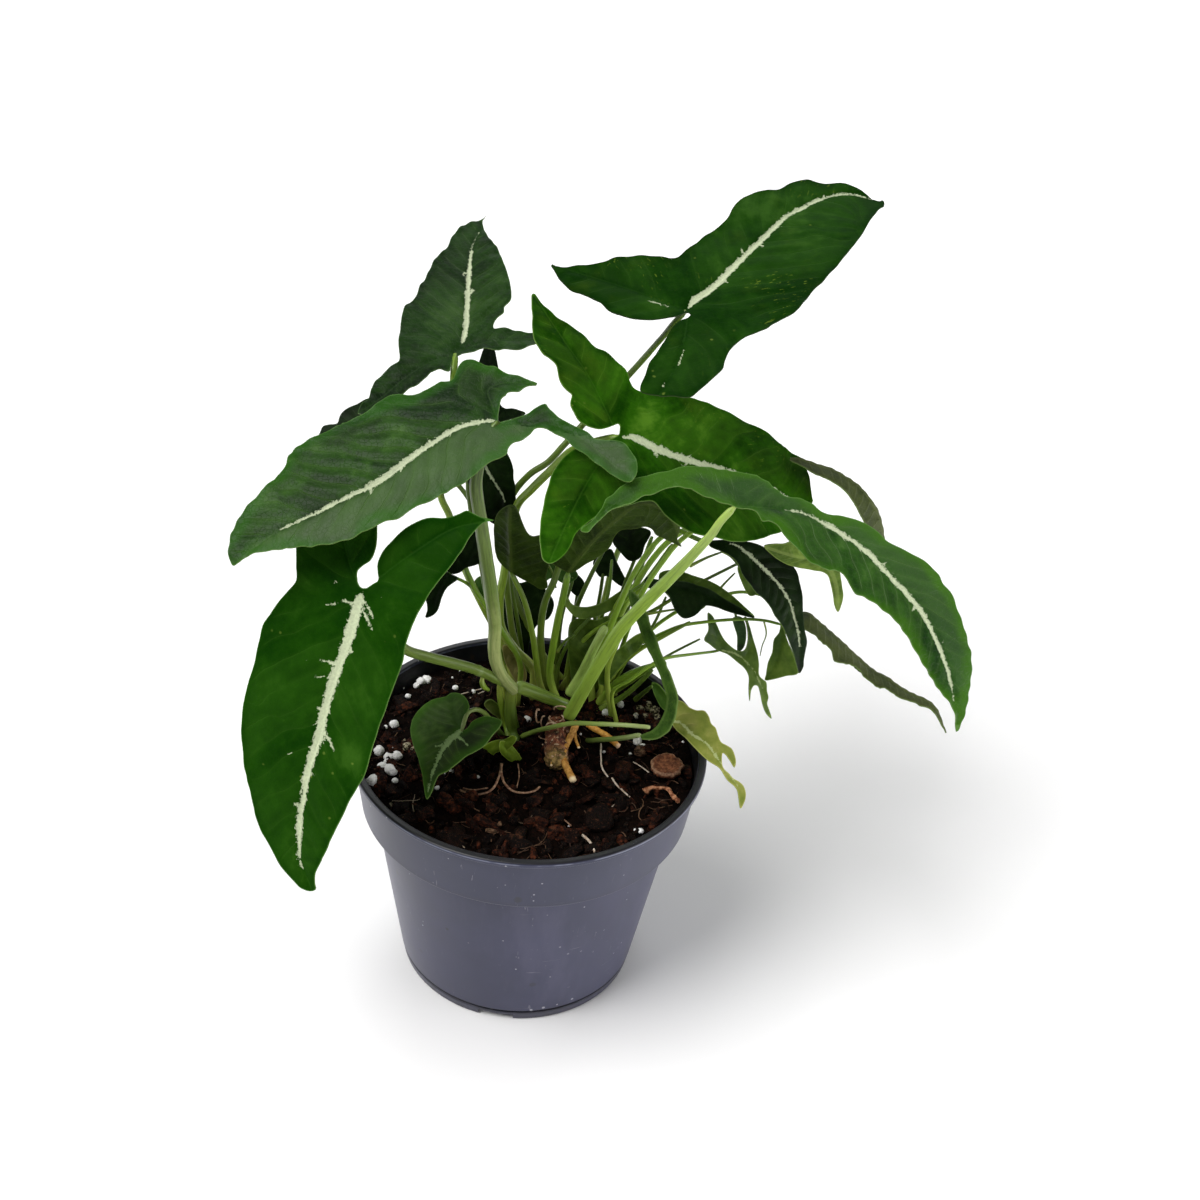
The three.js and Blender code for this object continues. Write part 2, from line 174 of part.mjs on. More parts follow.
const STALKS = {
  petiole_01: { color: 0x4c5a34, radius: [1.25, 0.95], path: [[1.0,41.0,85.0],[-6.57,40.0,95.85],[-11.69,38.0,120.34],[-13.26,35.0,146.82],[-12.17,32.0,165.4],[-6.39,31.0,175.81],[-0.9,33.0,179.7],[4.38,36.0,185.59],[12.82,42.0,194.87],[22.42,44.0,207.55],[31.32,37.0,225.01],[35.79,31.5,235.22],[38.25,30.47,237.36]] },
  petiole_02: { color: 0x7c8a38, radius: [1.5, 1.3], path: [[-1.0,31.0,85.0],[-1.35,30.0,98.25],[-7.52,29.0,106.09],[-12.65,28.0,115.61],[-13.75,27.0,127.86],[-12.82,26.5,138.5],[-11.36,25.0,153.61],[-9.56,22.5,168.6],[-4.88,18.5,178.03],[-0.03,15.5,186.32],[7.07,12.0,197.18],[14.27,10.0,202.32],[19.93,8.68,204.13]] },
  petiole_03: { color: 0x7a9048, radius: [1.3, 1.1], path: [[-7.0,33.0,85.0],[-11.33,36.0,100.49],[-16.2,35.0,111.43],[-20.97,34.0,122.17],[-26.11,34.0,133.2],[-29.37,33.0,144.47],[-32.27,32.0,156.72],[-35.08,32.0,163.45],[-35.76,33.0,173.14],[-34.3,34.0,187.75],[-32.63,33.0,201.33],[-32.18,31.0,210.03],[-32.08,37.7,211.92]] },
  petiole_04: { color: 0xa9bd84, radius: [1.9, 2.3, 2.3, 1.6], path: [[10.09,19.0,92.74],[2.19,15.0,98.24],[-4.6,12.0,103.04],[-8.62,9.0,108.3],[-10.75,7.5,114.24],[-12.23,6.5,120.21],[-13.62,5.0,133.38],[-15.09,3.0,146.56],[-16.83,1.0,159.38],[-18.52,-1.0,171.88],[-20.04,-2.0,182.35],[-21.11,-2.0,190.6],[-20.24,-1.5,199.32],[-18.16,-0.5,205.98],[-15.03,3.23,209.03]] },
  petiole_05: { color: 0x7a9048, radius: [1.35, 1.1], path: [[-12.91,8.0,109.1],[-16.19,6.0,112.49],[-20.34,3.0,116.39],[-27.11,-3.0,122.64],[-34.55,-10.0,129.71],[-40.28,-16.0,136.33],[-44.95,-22.0,147.62],[-48.35,-27.0,159.19],[-50.41,-28.27,166.83]] },
  petiole_06: { color: 0xa5bd74, radius: [2.3, 2.2, 1.9, 1.1], path: [[12.71,13.0,92.53],[16.9,10.0,106.5],[21.96,6.0,123.04],[26.93,2.0,137.87],[34.08,-3.0,153.24],[39.92,-7.0,164.69],[44.7,-10.0,174.0],[48.78,-13.0,182.7],[51.56,-14.5,188.33],[53.69,-15.5,193.87],[56.79,-12.94,196.72]] },
  sheath_06: { color: 0xa9b884, radius: [1.8, 1.5], path: [[12.55,17.0,99.33],[16.04,15.0,110.2],[19.36,11.5,123.2],[22.08,8.5,133.44]] },
  petiole_07: { color: 0x7a9048, radius: [1.3, 1.1], path: [[10.0,24.0,85.0],[4.96,23.0,99.49],[5.26,21.0,114.66],[6.46,18.0,129.82],[7.76,16.0,140.28],[8.81,12.03,149.35]] },
  petiole_08: { color: 0x7a9048, radius: [1.2, 0.8], path: [[20.0,31.0,85.0],[18.71,31.0,97.93],[22.54,30.0,112.84],[26.48,29.0,129.05],[30.16,28.0,142.38],[34.05,28.0,151.59],[38.09,27.5,158.26],[43.05,27.0,161.45],[47.76,26.0,160.24],[51.38,24.0,160.18],[53.42,23.19,159.89]] },
  petiole_09: { color: 0x7a9048, radius: [1.0, 0.7], path: [[27.0,25.0,85.0],[24.38,24.0,105.57],[30.15,22.0,128.65],[34.6,20.0,143.93],[39.25,19.5,154.67],[43.16,19.5,161.72],[49.17,22.5,166.18],[56.76,26.5,167.84],[65.58,27.0,170.35],[76.92,25.0,170.11],[83.44,19.0,168.15],[86.37,13.65,166.66]] },
  petiole_10: { color: 0x7a9048, radius: [0.8, 0.5], path: [[28.0,35.0,85.0],[26.8,37.0,92.93],[34.7,39.0,107.11],[42.51,40.0,116.64],[50.54,41.0,122.7],[59.38,41.0,127.0],[67.2,40.0,130.61],[76.34,38.0,130.89],[85.57,36.0,127.44]] },
  petiole_11: { color: 0x7a9048, radius: [1.2, 0.8], path: [[24.0,30.5,85.0],[22.29,32.0,100.6],[26.36,33.0,119.52],[30.72,33.0,133.29],[35.76,32.5,145.55],[40.68,32.0,153.99],[50.11,32.0,162.44],[62.68,32.0,167.63],[82.7,32.0,164.62],[99.78,31.0,159.58],[106.23,30.5,155.83]] },
  petiole_12: { color: 0x7a9048, radius: [0.8, 0.45], path: [[29.0,20.0,85.0],[26.74,19.0,99.76],[32.14,19.5,104.7],[37.8,21.0,109.72],[42.63,23.0,112.13],[51.87,29.0,110.56],[59.6,34.5,108.46],[62.37,35.22,109.27]] },
  petiole_13: { color: 0x7a9048, radius: [0.8, 0.5], path: [[23.0,37.0,85.0],[22.53,37.0,93.79],[28.84,36.0,103.51],[38.58,35.0,111.75],[47.64,34.5,118.18],[54.24,34.0,120.72],[67.89,33.5,123.92],[75.97,33.0,124.59],[82.69,33.36,123.61]] },
  petiole_14: { color: 0x7a9048, radius: [0.9, 0.6], path: [[18.0,40.0,85.0],[17.88,40.0,87.46],[20.86,37.0,107.53],[26.58,32.0,126.11],[31.62,28.5,136.51],[35.33,27.24,140.08]] },
  petiole_15: { color: 0xb0b884, radius: [0.8, 0.75], path: [[-2.1,8.2,85.8],[1.94,6.0,89.99],[6.65,3.0,94.44],[13.6,0.0,99.33],[22.86,-4.0,103.34],[33.02,-6.5,105.83],[39.63,-6.0,105.4]] },
  petiole_16: { color: 0x7a9048, radius: [0.9, 0.75], path: [[-9.56,8.0,85.13],[-12.88,3.0,94.65],[-15.64,-3.0,103.37],[-18.1,-6.0,106.52],[-20.11,-9.0,107.2],[-20.96,-15.38,103.54]] },
  petiole_17: { color: 0x7a9048, radius: [0.9, 0.9], path: [[20.0,9.0,85.2],[23.71,1.0,92.55],[30.23,-4.0,97.99],[36.56,-8.0,103.42]] },
  petiole_18: { color: 0x7a9048, radius: [1.2, 0.8], path: [[7.0,45.0,85.0],[0.09,46.0,94.31],[-9.12,48.0,113.58],[-14.26,49.0,133.37],[-17.83,49.0,153.33],[-20.0,47.0,170.08],[-19.42,44.81,183.26]] },
  petiole_19: { color: 0x7a9048, radius: [1.1, 0.8], path: [[-9.0,38.0,85.0],[-13.62,39.5,97.65],[-17.68,38.5,114.29],[-20.97,37.0,132.51],[-24.22,36.0,151.02],[-26.55,34.0,167.71],[-26.36,34.53,186.12]] },
  petiole_20: { color: 0x7a9048, radius: [1.15, 0.9], path: [[5.0,27.5,85.0],[1.33,27.0,94.3],[-0.41,26.5,105.29],[-2.4,26.0,117.31],[-5.81,25.0,130.51],[-10.81,22.25,140.97]] },
  petiole_21: { color: 0x7a9048, radius: [1.0, 0.8], path: [[-6.0,26.5,85.0],[-5.68,25.0,103.28],[-12.24,22.0,118.75],[-18.29,16.0,133.9],[-21.88,12.5,142.79],[-23.93,11.58,150.57]] },
  petiole_22: { color: 0x7a9048, radius: [0.8, 0.5], path: [[-10.5,29.0,85.0],[-13.46,31.5,102.74],[-16.24,29.0,117.86],[-20.14,22.0,131.92],[-24.15,12.0,144.08],[-27.9,6.0,150.37],[-29.66,3.33,153.99]] },
  petiole_23: { color: 0x7a9048, radius: [1.1, 0.8], path: [[-5.0,48.0,85.0],[-12.47,50.0,89.99],[-19.14,52.0,109.71],[-21.66,54.0,125.08],[-24.41,55.0,140.73],[-30.28,55.0,152.3],[-39.6,54.0,161.92],[-46.8,52.71,168.16]] },
  petiole_24: { color: 0x7a9048, radius: [1.35, 1.0], path: [[4.0,36.0,85.0],[0.85,34.0,103.29],[0.49,31.0,118.63],[1.53,30.0,127.78],[3.82,29.0,136.09],[5.65,31.0,142.62],[11.15,38.0,149.38],[20.86,53.0,153.95],[32.11,67.81,157.28]] },
  petiole_25: { color: 0x7a9048, radius: [1.1, 0.8], path: [[-1.0,45.5,85.0],[-10.18,50.0,94.66],[-15.75,54.0,108.66],[-20.97,59.0,121.78],[-24.33,63.0,135.58],[-26.98,63.0,151.7],[-32.45,76.04,156.56]] },
  petiole_26: { color: 0x7a9048, radius: [1.2, 0.8], path: [[13.0,45.0,85.0],[16.96,50.0,93.15],[21.08,58.0,109.73],[23.16,62.0,122.23],[26.64,68.0,133.41],[27.8,72.0,143.47],[27.66,80.0,159.05],[30.94,86.0,175.94],[39.33,88.0,197.11],[44.51,88.33,213.55]] },
  root_01: { color: 0xc58a35, radius: [1.0,0.8], path: [[20.67,8.24,92.0],[25.63,6.07,90.6],[30.31,3.23,88.6]] },
  twig_01: { color: 0x9a6a48, radius: [0.9,0.85], path: [[40.86,-15.48,86.4],[44.12,-14.07,86.6],[47.46,-14.84,86.6],[49.86,-18.13,86.4],[51.39,-20.07,86.3]] },
};
const BARK_CENTRE = [46.71, -2.05, 86.2];

const group = new THREE.Group();
group.name = 'potted_syngonium';

function paint(color, roughness = 0.5) {
  return new THREE.MeshStandardMaterial({ color, roughness, metalness: 0 });
}
function add(name, geometry, material) {
  const mesh = new THREE.Mesh(geometry, material);
  mesh.name = name;
  group.add(mesh);
  return mesh;
}

// ---- solids and booleans -----------------------------------------------------------
function toManifold(geometry) {
  const g = geometry.clone();
  g.deleteAttribute('normal');
  g.deleteAttribute('uv');
  const m = mergeVertices(g, 1e-4);
  return new wasm.Manifold(new wasm.Mesh({
    numProp: 3,
    vertProperties: new Float32Array(m.attributes.position.array),
    triVerts: new Uint32Array(m.index.array),
  }));
}
function toGeometry(manifold) {
  const mesh = manifold.getMesh();
  const g = new THREE.BufferGeometry();
  g.setAttribute('position', new THREE.BufferAttribute(new Float32Array(mesh.vertProperties), 3));
  g.setIndex(new THREE.BufferAttribute(new Uint32Array(mesh.triVerts), 1));
  g.computeVertexNormals();
  return g;
}
function indexed(positions, triangles) {
  const g = new THREE.BufferGeometry();
  g.setAttribute('position', new THREE.Float32BufferAttribute(positions, 3));
  g.setIndex(triangles);
  g.computeVertexNormals();
  return g;
}
function lathe(profile, segments) {
  const g = new THREE.LatheGeometry(profile.map(([r, z]) => new THREE.Vector2(r, z)), segments);
  g.rotateX(Math.PI / 2);
  return g;
}

// ---- pot ---------------------------------------------------------------------------
const slope = (BODY_TOP_RADIUS - BODY_BOTTOM_RADIUS) / (COLLAR_BOTTOM_Z - FOOT_HEIGHT);
const inner = (z) => BODY_BOTTOM_RADIUS - WALL + slope * (z - FOOT_HEIGHT);
const potProfile = [
  [0, 0], [CENTRE_PAD_RADIUS, 0], [CENTRE_PAD_RADIUS + 0.8, BASE_LIFT],
  [FOOT_RADIUS - 2.6, BASE_LIFT], [FOOT_RADIUS - 2.0, 0], [FOOT_RADIUS, 0],
  [FOOT_RADIUS + 0.3, FOOT_HEIGHT - 0.4], [BODY_BOTTOM_RADIUS, FOOT_HEIGHT],
  [BODY_TOP_RADIUS, COLLAR_BOTTOM_Z], [COLLAR_BOTTOM_RADIUS, COLLAR_BOTTOM_Z + 0.5],
  [COLLAR_TOP_RADIUS, POT_HEIGHT - LIP_HEIGHT], [LIP_RADIUS, POT_HEIGHT - LIP_HEIGHT + 0.2],
  [LIP_RADIUS, POT_HEIGHT - 0.4], [LIP_RADIUS - 0.4, POT_HEIGHT],
  [COLLAR_TOP_RADIUS - WALL + 0.5, POT_HEIGHT], [COLLAR_TOP_RADIUS - WALL, POT_HEIGHT - 0.5],
  [COLLAR_BOTTOM_RADIUS - WALL, COLLAR_BOTTOM_Z + 1.6],
  [inner(COLLAR_BOTTOM_Z), COLLAR_BOTTOM_Z - 0.4],
  [inner(BASE_LIFT + BASE_THICKNESS + 1.2), BASE_LIFT + BASE_THICKNESS + 1.2],
  [inner(BASE_LIFT + BASE_THICKNESS) - 1.2, BASE_LIFT + BASE_THICKNESS],
  [0, BASE_LIFT + BASE_THICKNESS],
];
let pot = toManifold(lathe(potProfile, SEGMENTS));
for (let i = 0; i < FOOT_NOTCHES; i++) {
  const a = THREE.MathUtils.degToRad(FOOT_NOTCH_ANGLE + (360 / FOOT_NOTCHES) * i);
  const box = new THREE.BoxGeometry(8, FOOT_NOTCH_WIDTH, FOOT_NOTCH_HEIGHT * 2);
  box.translate(FOOT_RADIUS - 0.6, 0, 0);
  box.rotateZ(a);
  pot = pot.subtract(toManifold(box));
}
for (let i = 0; i < DRAIN_HOLES; i++) {
  const a = (Math.PI * 2 * (i + 0.5)) / DRAIN_HOLES;
  const hole = new THREE.CylinderGeometry(DRAIN_HOLE_RADIUS, DRAIN_HOLE_RADIUS, 8, 12);
  hole.rotateX(Math.PI / 2);
  hole.translate(DRAIN_RING_RADIUS * Math.cos(a), DRAIN_RING_RADIUS * Math.sin(a), 3);
  pot = pot.subtract(toManifold(hole));
}
add('pot', toGeometry(pot), paint(0x55586a, 0.45));

// ---- soil --------------------------------------------------------------------------
const soilRadius = (z) => (z > COLLAR_BOTTOM_Z + 1.6
  ? COLLAR_BOTTOM_RADIUS - WALL + ((COLLAR_TOP_RADIUS - COLLAR_BOTTOM_RADIUS) / (POT_HEIGHT - LIP_HEIGHT - COLLAR_BOTTOM_Z - 0.5)) * (z - COLLAR_BOTTOM_Z - 1.6)
  : inner(z)) - GAP - 0.2;
const soilProfile = [
  [0, BASE_LIFT + BASE_THICKNESS + GAP], [inner(6) - 3, BASE_LIFT + BASE_THICKNESS + GAP],
  [soilRadius(7), 7], [soilRadius(COLLAR_BOTTOM_Z - 1.2), COLLAR_BOTTOM_Z - 1.2],
  [soilRadius(COLLAR_BOTTOM_Z - 1.2), COLLAR_BOTTOM_Z + 2.2],
  [soilRadius(COLLAR_BOTTOM_Z + 2.4), COLLAR_BOTTOM_Z + 2.6],
  [soilRadius(SOIL_EDGE_Z) - 0.1, SOIL_EDGE_Z], [44, SOIL_EDGE_Z + 0.8], [26, SOIL_TOP_Z], [0, SOIL_TOP_Z],
];
add('soil', toGeometry(toManifold(lathe(soilProfile, 32))), paint(0x2a1a14, 0.95));

// ---- round stems -------------------------------------------------------------------
function stalk({ path, radius }) {
  const curve = new THREE.CatmullRomCurve3(path.map((p) => new THREE.Vector3(...p)), false, 'centripetal');
  const steps = Math.max(2, Math.round(curve.getLength() / STALK_STEP));
  const sides = radius[0] > 1.4 ? 8 : 6;
  const frames = curve.computeFrenetFrames(steps, false);
  const positions = [];
  const triangles = [];
  for (let i = 0; i <= steps; i++) {
    const t = i / steps;
    const k = t * (radius.length - 1);
    const j = Math.min(Math.floor(k), radius.length - 2);
    const r = radius[j] + (radius[j + 1] - radius[j]) * (k - j);
    const c = curve.getPointAt(t);
    for (let s = 0; s < sides; s++) {
      const a = (s / sides) * Math.PI * 2;
      const d = frames.normals[i].clone().multiplyScalar(Math.cos(a) * r)
        .addScaledVector(frames.binormals[i], Math.sin(a) * r);
      positions.push(c.x + d.x, c.y + d.y, c.z + d.z);
    }
  }
  for (let i = 0; i < steps; i++) {
    for (let s = 0; s < sides; s++) {
      const a = i * sides + s;
      const b = i * sides + ((s + 1) % sides);
      triangles.push(a, b, a + sides, b, b + sides, a + sides);
    }
  }
  for (let s = 1; s < sides - 1; s++) {
    triangles.push(0, s + 1, s);
    const o = steps * sides;
    triangles.push(o, o + s, o + s + 1);
  }
  return indexed(positions, triangles);
}
for (const [name, item] of Object.entries(STALKS)) add(name, stalk(item), paint(item.color, 0.5));

// ---- flat outline -> triangles -----------------------------------------------------
function insidePolygon(x, y, polygon) {
  let c = false;
  for (let i = 0, j = polygon.length - 1; i < polygon.length; j = i++) {
    const [xi, yi] = polygon[i];
    const [xj, yj] = polygon[j];
    if (yi > y !== yj > y && x < ((xj - xi) * (y - yi)) / (yj - yi) + xi) c = !c;
  }
  return c;
}
function edgeDistance(x, y, polygon) {
  let best = Infinity;
  for (let i = 0, j = polygon.length - 1; i < polygon.length; j = i++) {
    const [ax, ay] = polygon[j];
    const [bx, by] = polygon[i];
    const l = (bx - ax) ** 2 + (by - ay) ** 2;
    const t = Math.max(0, Math.min(1, ((x - ax) * (bx - ax) + (y - ay) * (by - ay)) / l));
    best = Math.min(best, Math.hypot(x - ax - t * (bx - ax), y - ay - t * (by - ay)));
  }
  return best;
}
function triangulate(outline, size) {
  const points = [];
  for (let i = 0; i < outline.length; i++) {
    const a = outline[i];
    const b = outline[(i + 1) % outline.length];
    const n = Math.max(1, Math.round(Math.hypot(b[0] - a[0], b[1] - a[1]) / size));
    for (let k = 0; k < n; k++) points.push([a[0] + ((b[0] - a[0]) * k) / n, a[1] + ((b[1] - a[1]) * k) / n]);
  }
  const rim = points.slice();
  const xs = rim.map((p) => p[0]);
  const ys = rim.map((p) => p[1]);
  let row = 0;
  for (let y = Math.min(...ys); y < Math.max(...ys); y += size * 0.866, row++) {
    for (let x = Math.min(...xs) + (row % 2) * size * 0.5; x < Math.max(...xs); x += size) {
      if (insidePolygon(x, y, rim) && edgeDistance(x, y, rim) > size * 0.5) points.push([x, y]);
    }
  }
  // incremental Delaunay triangulation
  const all = points.map(([x, y], i) => [x + 1e-4 * Math.sin(i * 12.9), y + 1e-4 * Math.cos(i * 7.3)]);
  const n = all.length;
  all.push([-1e4, -1e4], [1e4, -1e4], [0, 1e4]);
  let tris = [[n, n + 1, n + 2]];
  const circle = ([a, b, c], p) => {
    const ax = all[a][0] - p[0], ay = all[a][1] - p[1];
    const bx = all[b][0] - p[0], by = all[b][1] - p[1];
    const cx = all[c][0] - p[0], cy = all[c][1] - p[1];
    return (ax * ax + ay * ay) * (bx * cy - cx * by) - (bx * bx + by * by) * (ax * cy - cx * ay)
      + (cx * cx + cy * cy) * (ax * by - bx * ay) > 0;
  };
  for (let i = 0; i < n; i++) {
    const bad = tris.filter((t) => circle(t, all[i]));
    const edges = new Map();
    for (const [a, b, c] of bad) {
      for (const [u, v] of [[a, b], [b, c], [c, a]]) {
        if (edges.has(`${v},${u}`)) edges.delete(`${v},${u}`);
        else edges.set(`${u},${v}`, [u, v]);
      }
    }
    const gone = new Set(bad);
    tris = tris.filter((t) => !gone.has(t));
    for (const [u, v] of edges.values()) tris.push([u, v, i]);
  }
  tris = tris.filter((t) => t.every((k) => k < n)
    && insidePolygon((all[t[0]][0] + all[t[1]][0] + all[t[2]][0]) / 3, (all[t[0]][1] + all[t[1]][1] + all[t[2]][1]) / 3, rim));
  return { points, tris };
}

// ---- leaf blades -------------------------------------------------------------------
function lift(blade, u, v) {
  const a = u / 30;
  const b = v / 30;
  const p = new THREE.Vector3();
  let k = 0;
  for (let t = 0; t <= blade.degree; t++) {
    for (let q = 0; q <= t; q++, k++) {
      const m = a ** (t - q) * b ** q;
      p.x += blade.x[k] * m;
      p.y += blade.y[k] * m;
      p.z += blade.z[k] * m;
    }
  }
  return p;
}
// thickens an open sheet of points and triangles into a closed plate
function plate(sheet, tris, thickness) {
  const normals = sheet.map(() => new THREE.Vector3());
  for (const [a, b, c] of tris) {
    const n = sheet[b].clone().sub(sheet[a]).cross(sheet[c].clone().sub(sheet[a]));
    for (const k of [a, b, c]) normals[k].add(n);
  }
  const used = [...new Set(tris.flat())];
  const index = new Map(used.map((k, i) => [k, i]));
  const m = used.length;
  const positions = [];
  for (const side of [0.5, -0.5]) {
    for (const k of used) {
      const p = sheet[k].clone().addScaledVector(normals[k].clone().normalize(), side * thickness);
      positions.push(p.x, p.y, p.z);
    }
  }
  const triangles = [];
  const edges = new Map();
  for (const t of tris) {
    const [a, b, c] = t.map((k) => index.get(k));
    triangles.push(a, b, c, a + m, c + m, b + m);
    for (const [u, v] of [[a, b], [b, c], [c, a]]) {
      if (edges.has(`${v},${u}`)) edges.delete(`${v},${u}`);
      else edges.set(`${u},${v}`, [u, v]);
    }
  }
  for (const [u, v] of edges.values()) triangles.push(u, u + m, v, v, u + m, v + m);
  return indexed(positions, triangles);
}
for (const [name, blade] of Object.entries(BLADES)) {
  const { points, tris } = triangulate(blade.outline, blade.size);
  const sheet = points.map(([u, v]) => lift(blade, u, v));
  add(name, plate(sheet, tris, BLADE_THICKNESS), paint(blade.color, 0.4));
}
for (const [name, ribbon] of Object.entries(RIBBONS)) {
  const sheet = [];
  const tris = [];
  ribbon.centre.forEach((c, i) => {
    const w = ribbon.halfWidth[i];
    sheet.push(new THREE.Vector3(c[0] - w[0], c[1] - w[1], c[2] - w[2]), new THREE.Vector3(c[0] + w[0], c[1] + w[1], c[2] + w[2]));
    if (i) tris.push([2 * i - 2, 2 * i, 2 * i - 1], [2 * i - 1, 2 * i, 2 * i + 1]);
  });
  add(name, plate(sheet, tris, RIBBON_THICKNESS), paint(ribbon.color, 0.45));
}

// ---- old stem base in the middle of the plant -----------------------------------------
const crown = lathe([[0, 0], [2.6, 0], [3.7, 1.4], [3.5, 5], [4.0, 9], [3.4, 13], [3.7, 16], [2.4, 18], [0, 18]], 12);
const crownMesh = add('crown', toGeometry(toManifold(crown)), paint(0x7a4b35, 0.85));
crownMesh.position.set(8.4, 10.5, 88.6);
crownMesh.quaternion.setFromUnitVectors(new THREE.Vector3(0, 0, 1), new THREE.Vector3(0.09, -1, -0.03).normalize());

// ---- round bark chip on the soil ---------------------------------------------------
const bark = new THREE.CylinderGeometry(5.4, 5.0, 2.6, 12);
bark.rotateX(Math.PI / 2);
const barkMesh = add('bark_01', toGeometry(toManifold(bark)), paint(0x7d523a, 0.9));
barkMesh.position.set(...BARK_CENTRE);
barkMesh.rotation.set(0.08, 0.05, 0);

export default group;
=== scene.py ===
# Looks for the potted Syngonium wendlandii: an arrowhead plant in a round plastic nursery pot.
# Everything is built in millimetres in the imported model's frame and turned into metres at the end.
import math

import bpy
import numpy as np
from mathutils import Matrix, Vector
from mathutils.geometry import delaunay_2d_cdt


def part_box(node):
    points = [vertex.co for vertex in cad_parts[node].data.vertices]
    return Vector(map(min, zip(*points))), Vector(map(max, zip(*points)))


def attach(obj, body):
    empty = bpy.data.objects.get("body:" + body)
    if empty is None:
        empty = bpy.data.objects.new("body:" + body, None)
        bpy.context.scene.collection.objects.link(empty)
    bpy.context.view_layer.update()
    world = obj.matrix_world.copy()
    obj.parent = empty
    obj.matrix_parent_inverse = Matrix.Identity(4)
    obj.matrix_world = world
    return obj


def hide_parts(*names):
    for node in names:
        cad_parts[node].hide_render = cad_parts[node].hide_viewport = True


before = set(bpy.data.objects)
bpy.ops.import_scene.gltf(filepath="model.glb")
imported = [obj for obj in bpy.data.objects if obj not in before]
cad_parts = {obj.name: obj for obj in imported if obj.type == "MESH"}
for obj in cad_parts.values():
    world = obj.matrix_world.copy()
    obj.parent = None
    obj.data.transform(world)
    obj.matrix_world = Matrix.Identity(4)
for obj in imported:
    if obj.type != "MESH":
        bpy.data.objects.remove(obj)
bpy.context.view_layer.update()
MM = 0.001

# ---- camera -------------------------------------------------------------------------
PITCH, ROLL = math.radians(35.12), math.radians(4.94)
FOCAL = 2000.0
CAM = np.array([19.670, -520.137, 516.209])
FWD = np.array([0.0, math.cos(PITCH), -math.sin(PITCH)])
_X = np.array([1.0, 0.0, 0.0])
_U = np.array([0.0, math.sin(PITCH), math.cos(PITCH)])
CX = math.cos(ROLL) * _X + math.sin(ROLL) * _U
CY = -math.sin(ROLL) * _X + math.cos(ROLL) * _U
cam = bpy.data.objects.new("camera", bpy.data.cameras.new("camera"))
bpy.context.scene.collection.objects.link(cam)
rot = Matrix((CX.tolist(), CY.tolist(), (-FWD).tolist())).transposed()
cam.matrix_world = Matrix.Translation(Vector(CAM * MM)) @ rot.to_4x4()
cam.data.sensor_width = 36.0
cam.data.lens = 60.0
cam.data.clip_start, cam.data.clip_end = 0.02, 40.0
bpy.context.scene.camera = cam


def ray(px, py):
    return FWD + (px - 600) / FOCAL * CX + (600 - py) / FOCAL * CY


def at_z(px, py, z):
    d = ray(px, py)
    return CAM + d * ((z - CAM[2]) / d[2])


def at_y(px, py, y):
    d = ray(px, py)
    return CAM + d * ((y - CAM[1]) / d[1])


# ---- light --------------------------------------------------------------------------
def area(name, at, aim, size, energy, color=(1, 1, 1), size_y=None):
    light = bpy.data.lights.new(name, "AREA")
    light.energy, light.color, light.size = energy, color, size
    if size_y:
        light.shape, light.size_y = "RECTANGLE", size_y
    o = bpy.data.objects.new(name, light)
    bpy.context.scene.collection.objects.link(o)
    o.location = at
    o.rotation_euler = (Vector(aim) - Vector(at)).to_track_quat("-Z", "Y").to_euler()
    return o


world = bpy.context.scene.world or bpy.data.worlds.new("world")
bpy.context.scene.world = world
world.use_nodes = True
wt = world.node_tree
wt.nodes.clear()
w_out = wt.nodes.new("ShaderNodeOutputWorld")
w_bg = wt.nodes.new("ShaderNodeBackground")
w_tc = wt.nodes.new("ShaderNodeTexCoord")
w_sep = wt.nodes.new("ShaderNodeSeparateXYZ")
w_mr = wt.nodes.new("ShaderNodeMapRange")
w_mx = wt.nodes.new("ShaderNodeMix")
w_mx.data_type = "RGBA"
w_mr.inputs[1].default_value, w_mr.inputs[2].default_value = -0.1, 0.9
w_mx.inputs[6].default_value = (0.56, 0.555, 0.56, 1)
w_mx.inputs[7].default_value = (0.82, 0.815, 0.81, 1)
wt.links.new(w_tc.outputs["Generated"], w_sep.inputs[0])
wt.links.new(w_sep.outputs[2], w_mr.inputs[0])
wt.links.new(w_mr.outputs[0], w_mx.inputs[0])
# white walls of the studio on both sides
w_ab = wt.nodes.new("ShaderNodeMath")
w_ab.operation = "ABSOLUTE"
w_sd = wt.nodes.new("ShaderNodeMapRange")
w_sd.interpolation_type = "SMOOTHSTEP"
w_sd.inputs[1].default_value, w_sd.inputs[2].default_value = 0.35, 0.95
w_m2 = wt.nodes.new("ShaderNodeMix")
w_m2.data_type = "RGBA"
w_m2.inputs[7].default_value = (1.12, 1.12, 1.14, 1)
wt.links.new(w_sep.outputs[0], w_ab.inputs[0])
wt.links.new(w_ab.outputs[0], w_sd.inputs[0])
wt.links.new(w_sd.outputs[0], w_m2.inputs[0])
wt.links.new(w_mx.outputs[2], w_m2.inputs[6])
wt.links.new(w_m2.outputs[2], w_bg.inputs[0])
w_bg.inputs[1].default_value = WORLD_STRENGTH = 0.282
wt.links.new(w_bg.outputs[0], w_out.inputs[0])
sun = bpy.data.lights.new("key", "SUN")
sun.energy, sun.angle, sun.color = 3.15, math.radians(43), (1.0, 0.992, 0.982)
sun_o = bpy.data.objects.new("key", sun)
bpy.context.scene.collection.objects.link(sun_o)
sun_o.rotation_euler = Vector((0.64, 0.32, -1.07)).to_track_quat("-Z", "Y").to_euler()
area("back", (0.10, 1.05, 1.05), (0.0, 0.0, 0.12), 1.3, 6.0, (0.97, 0.985, 1.0), 0.8)
area("side", (0.95, -0.28, 0.16), (0.0, 0.0, 0.055), 0.8, 5.5, (1.0, 0.985, 1.0), 0.26)
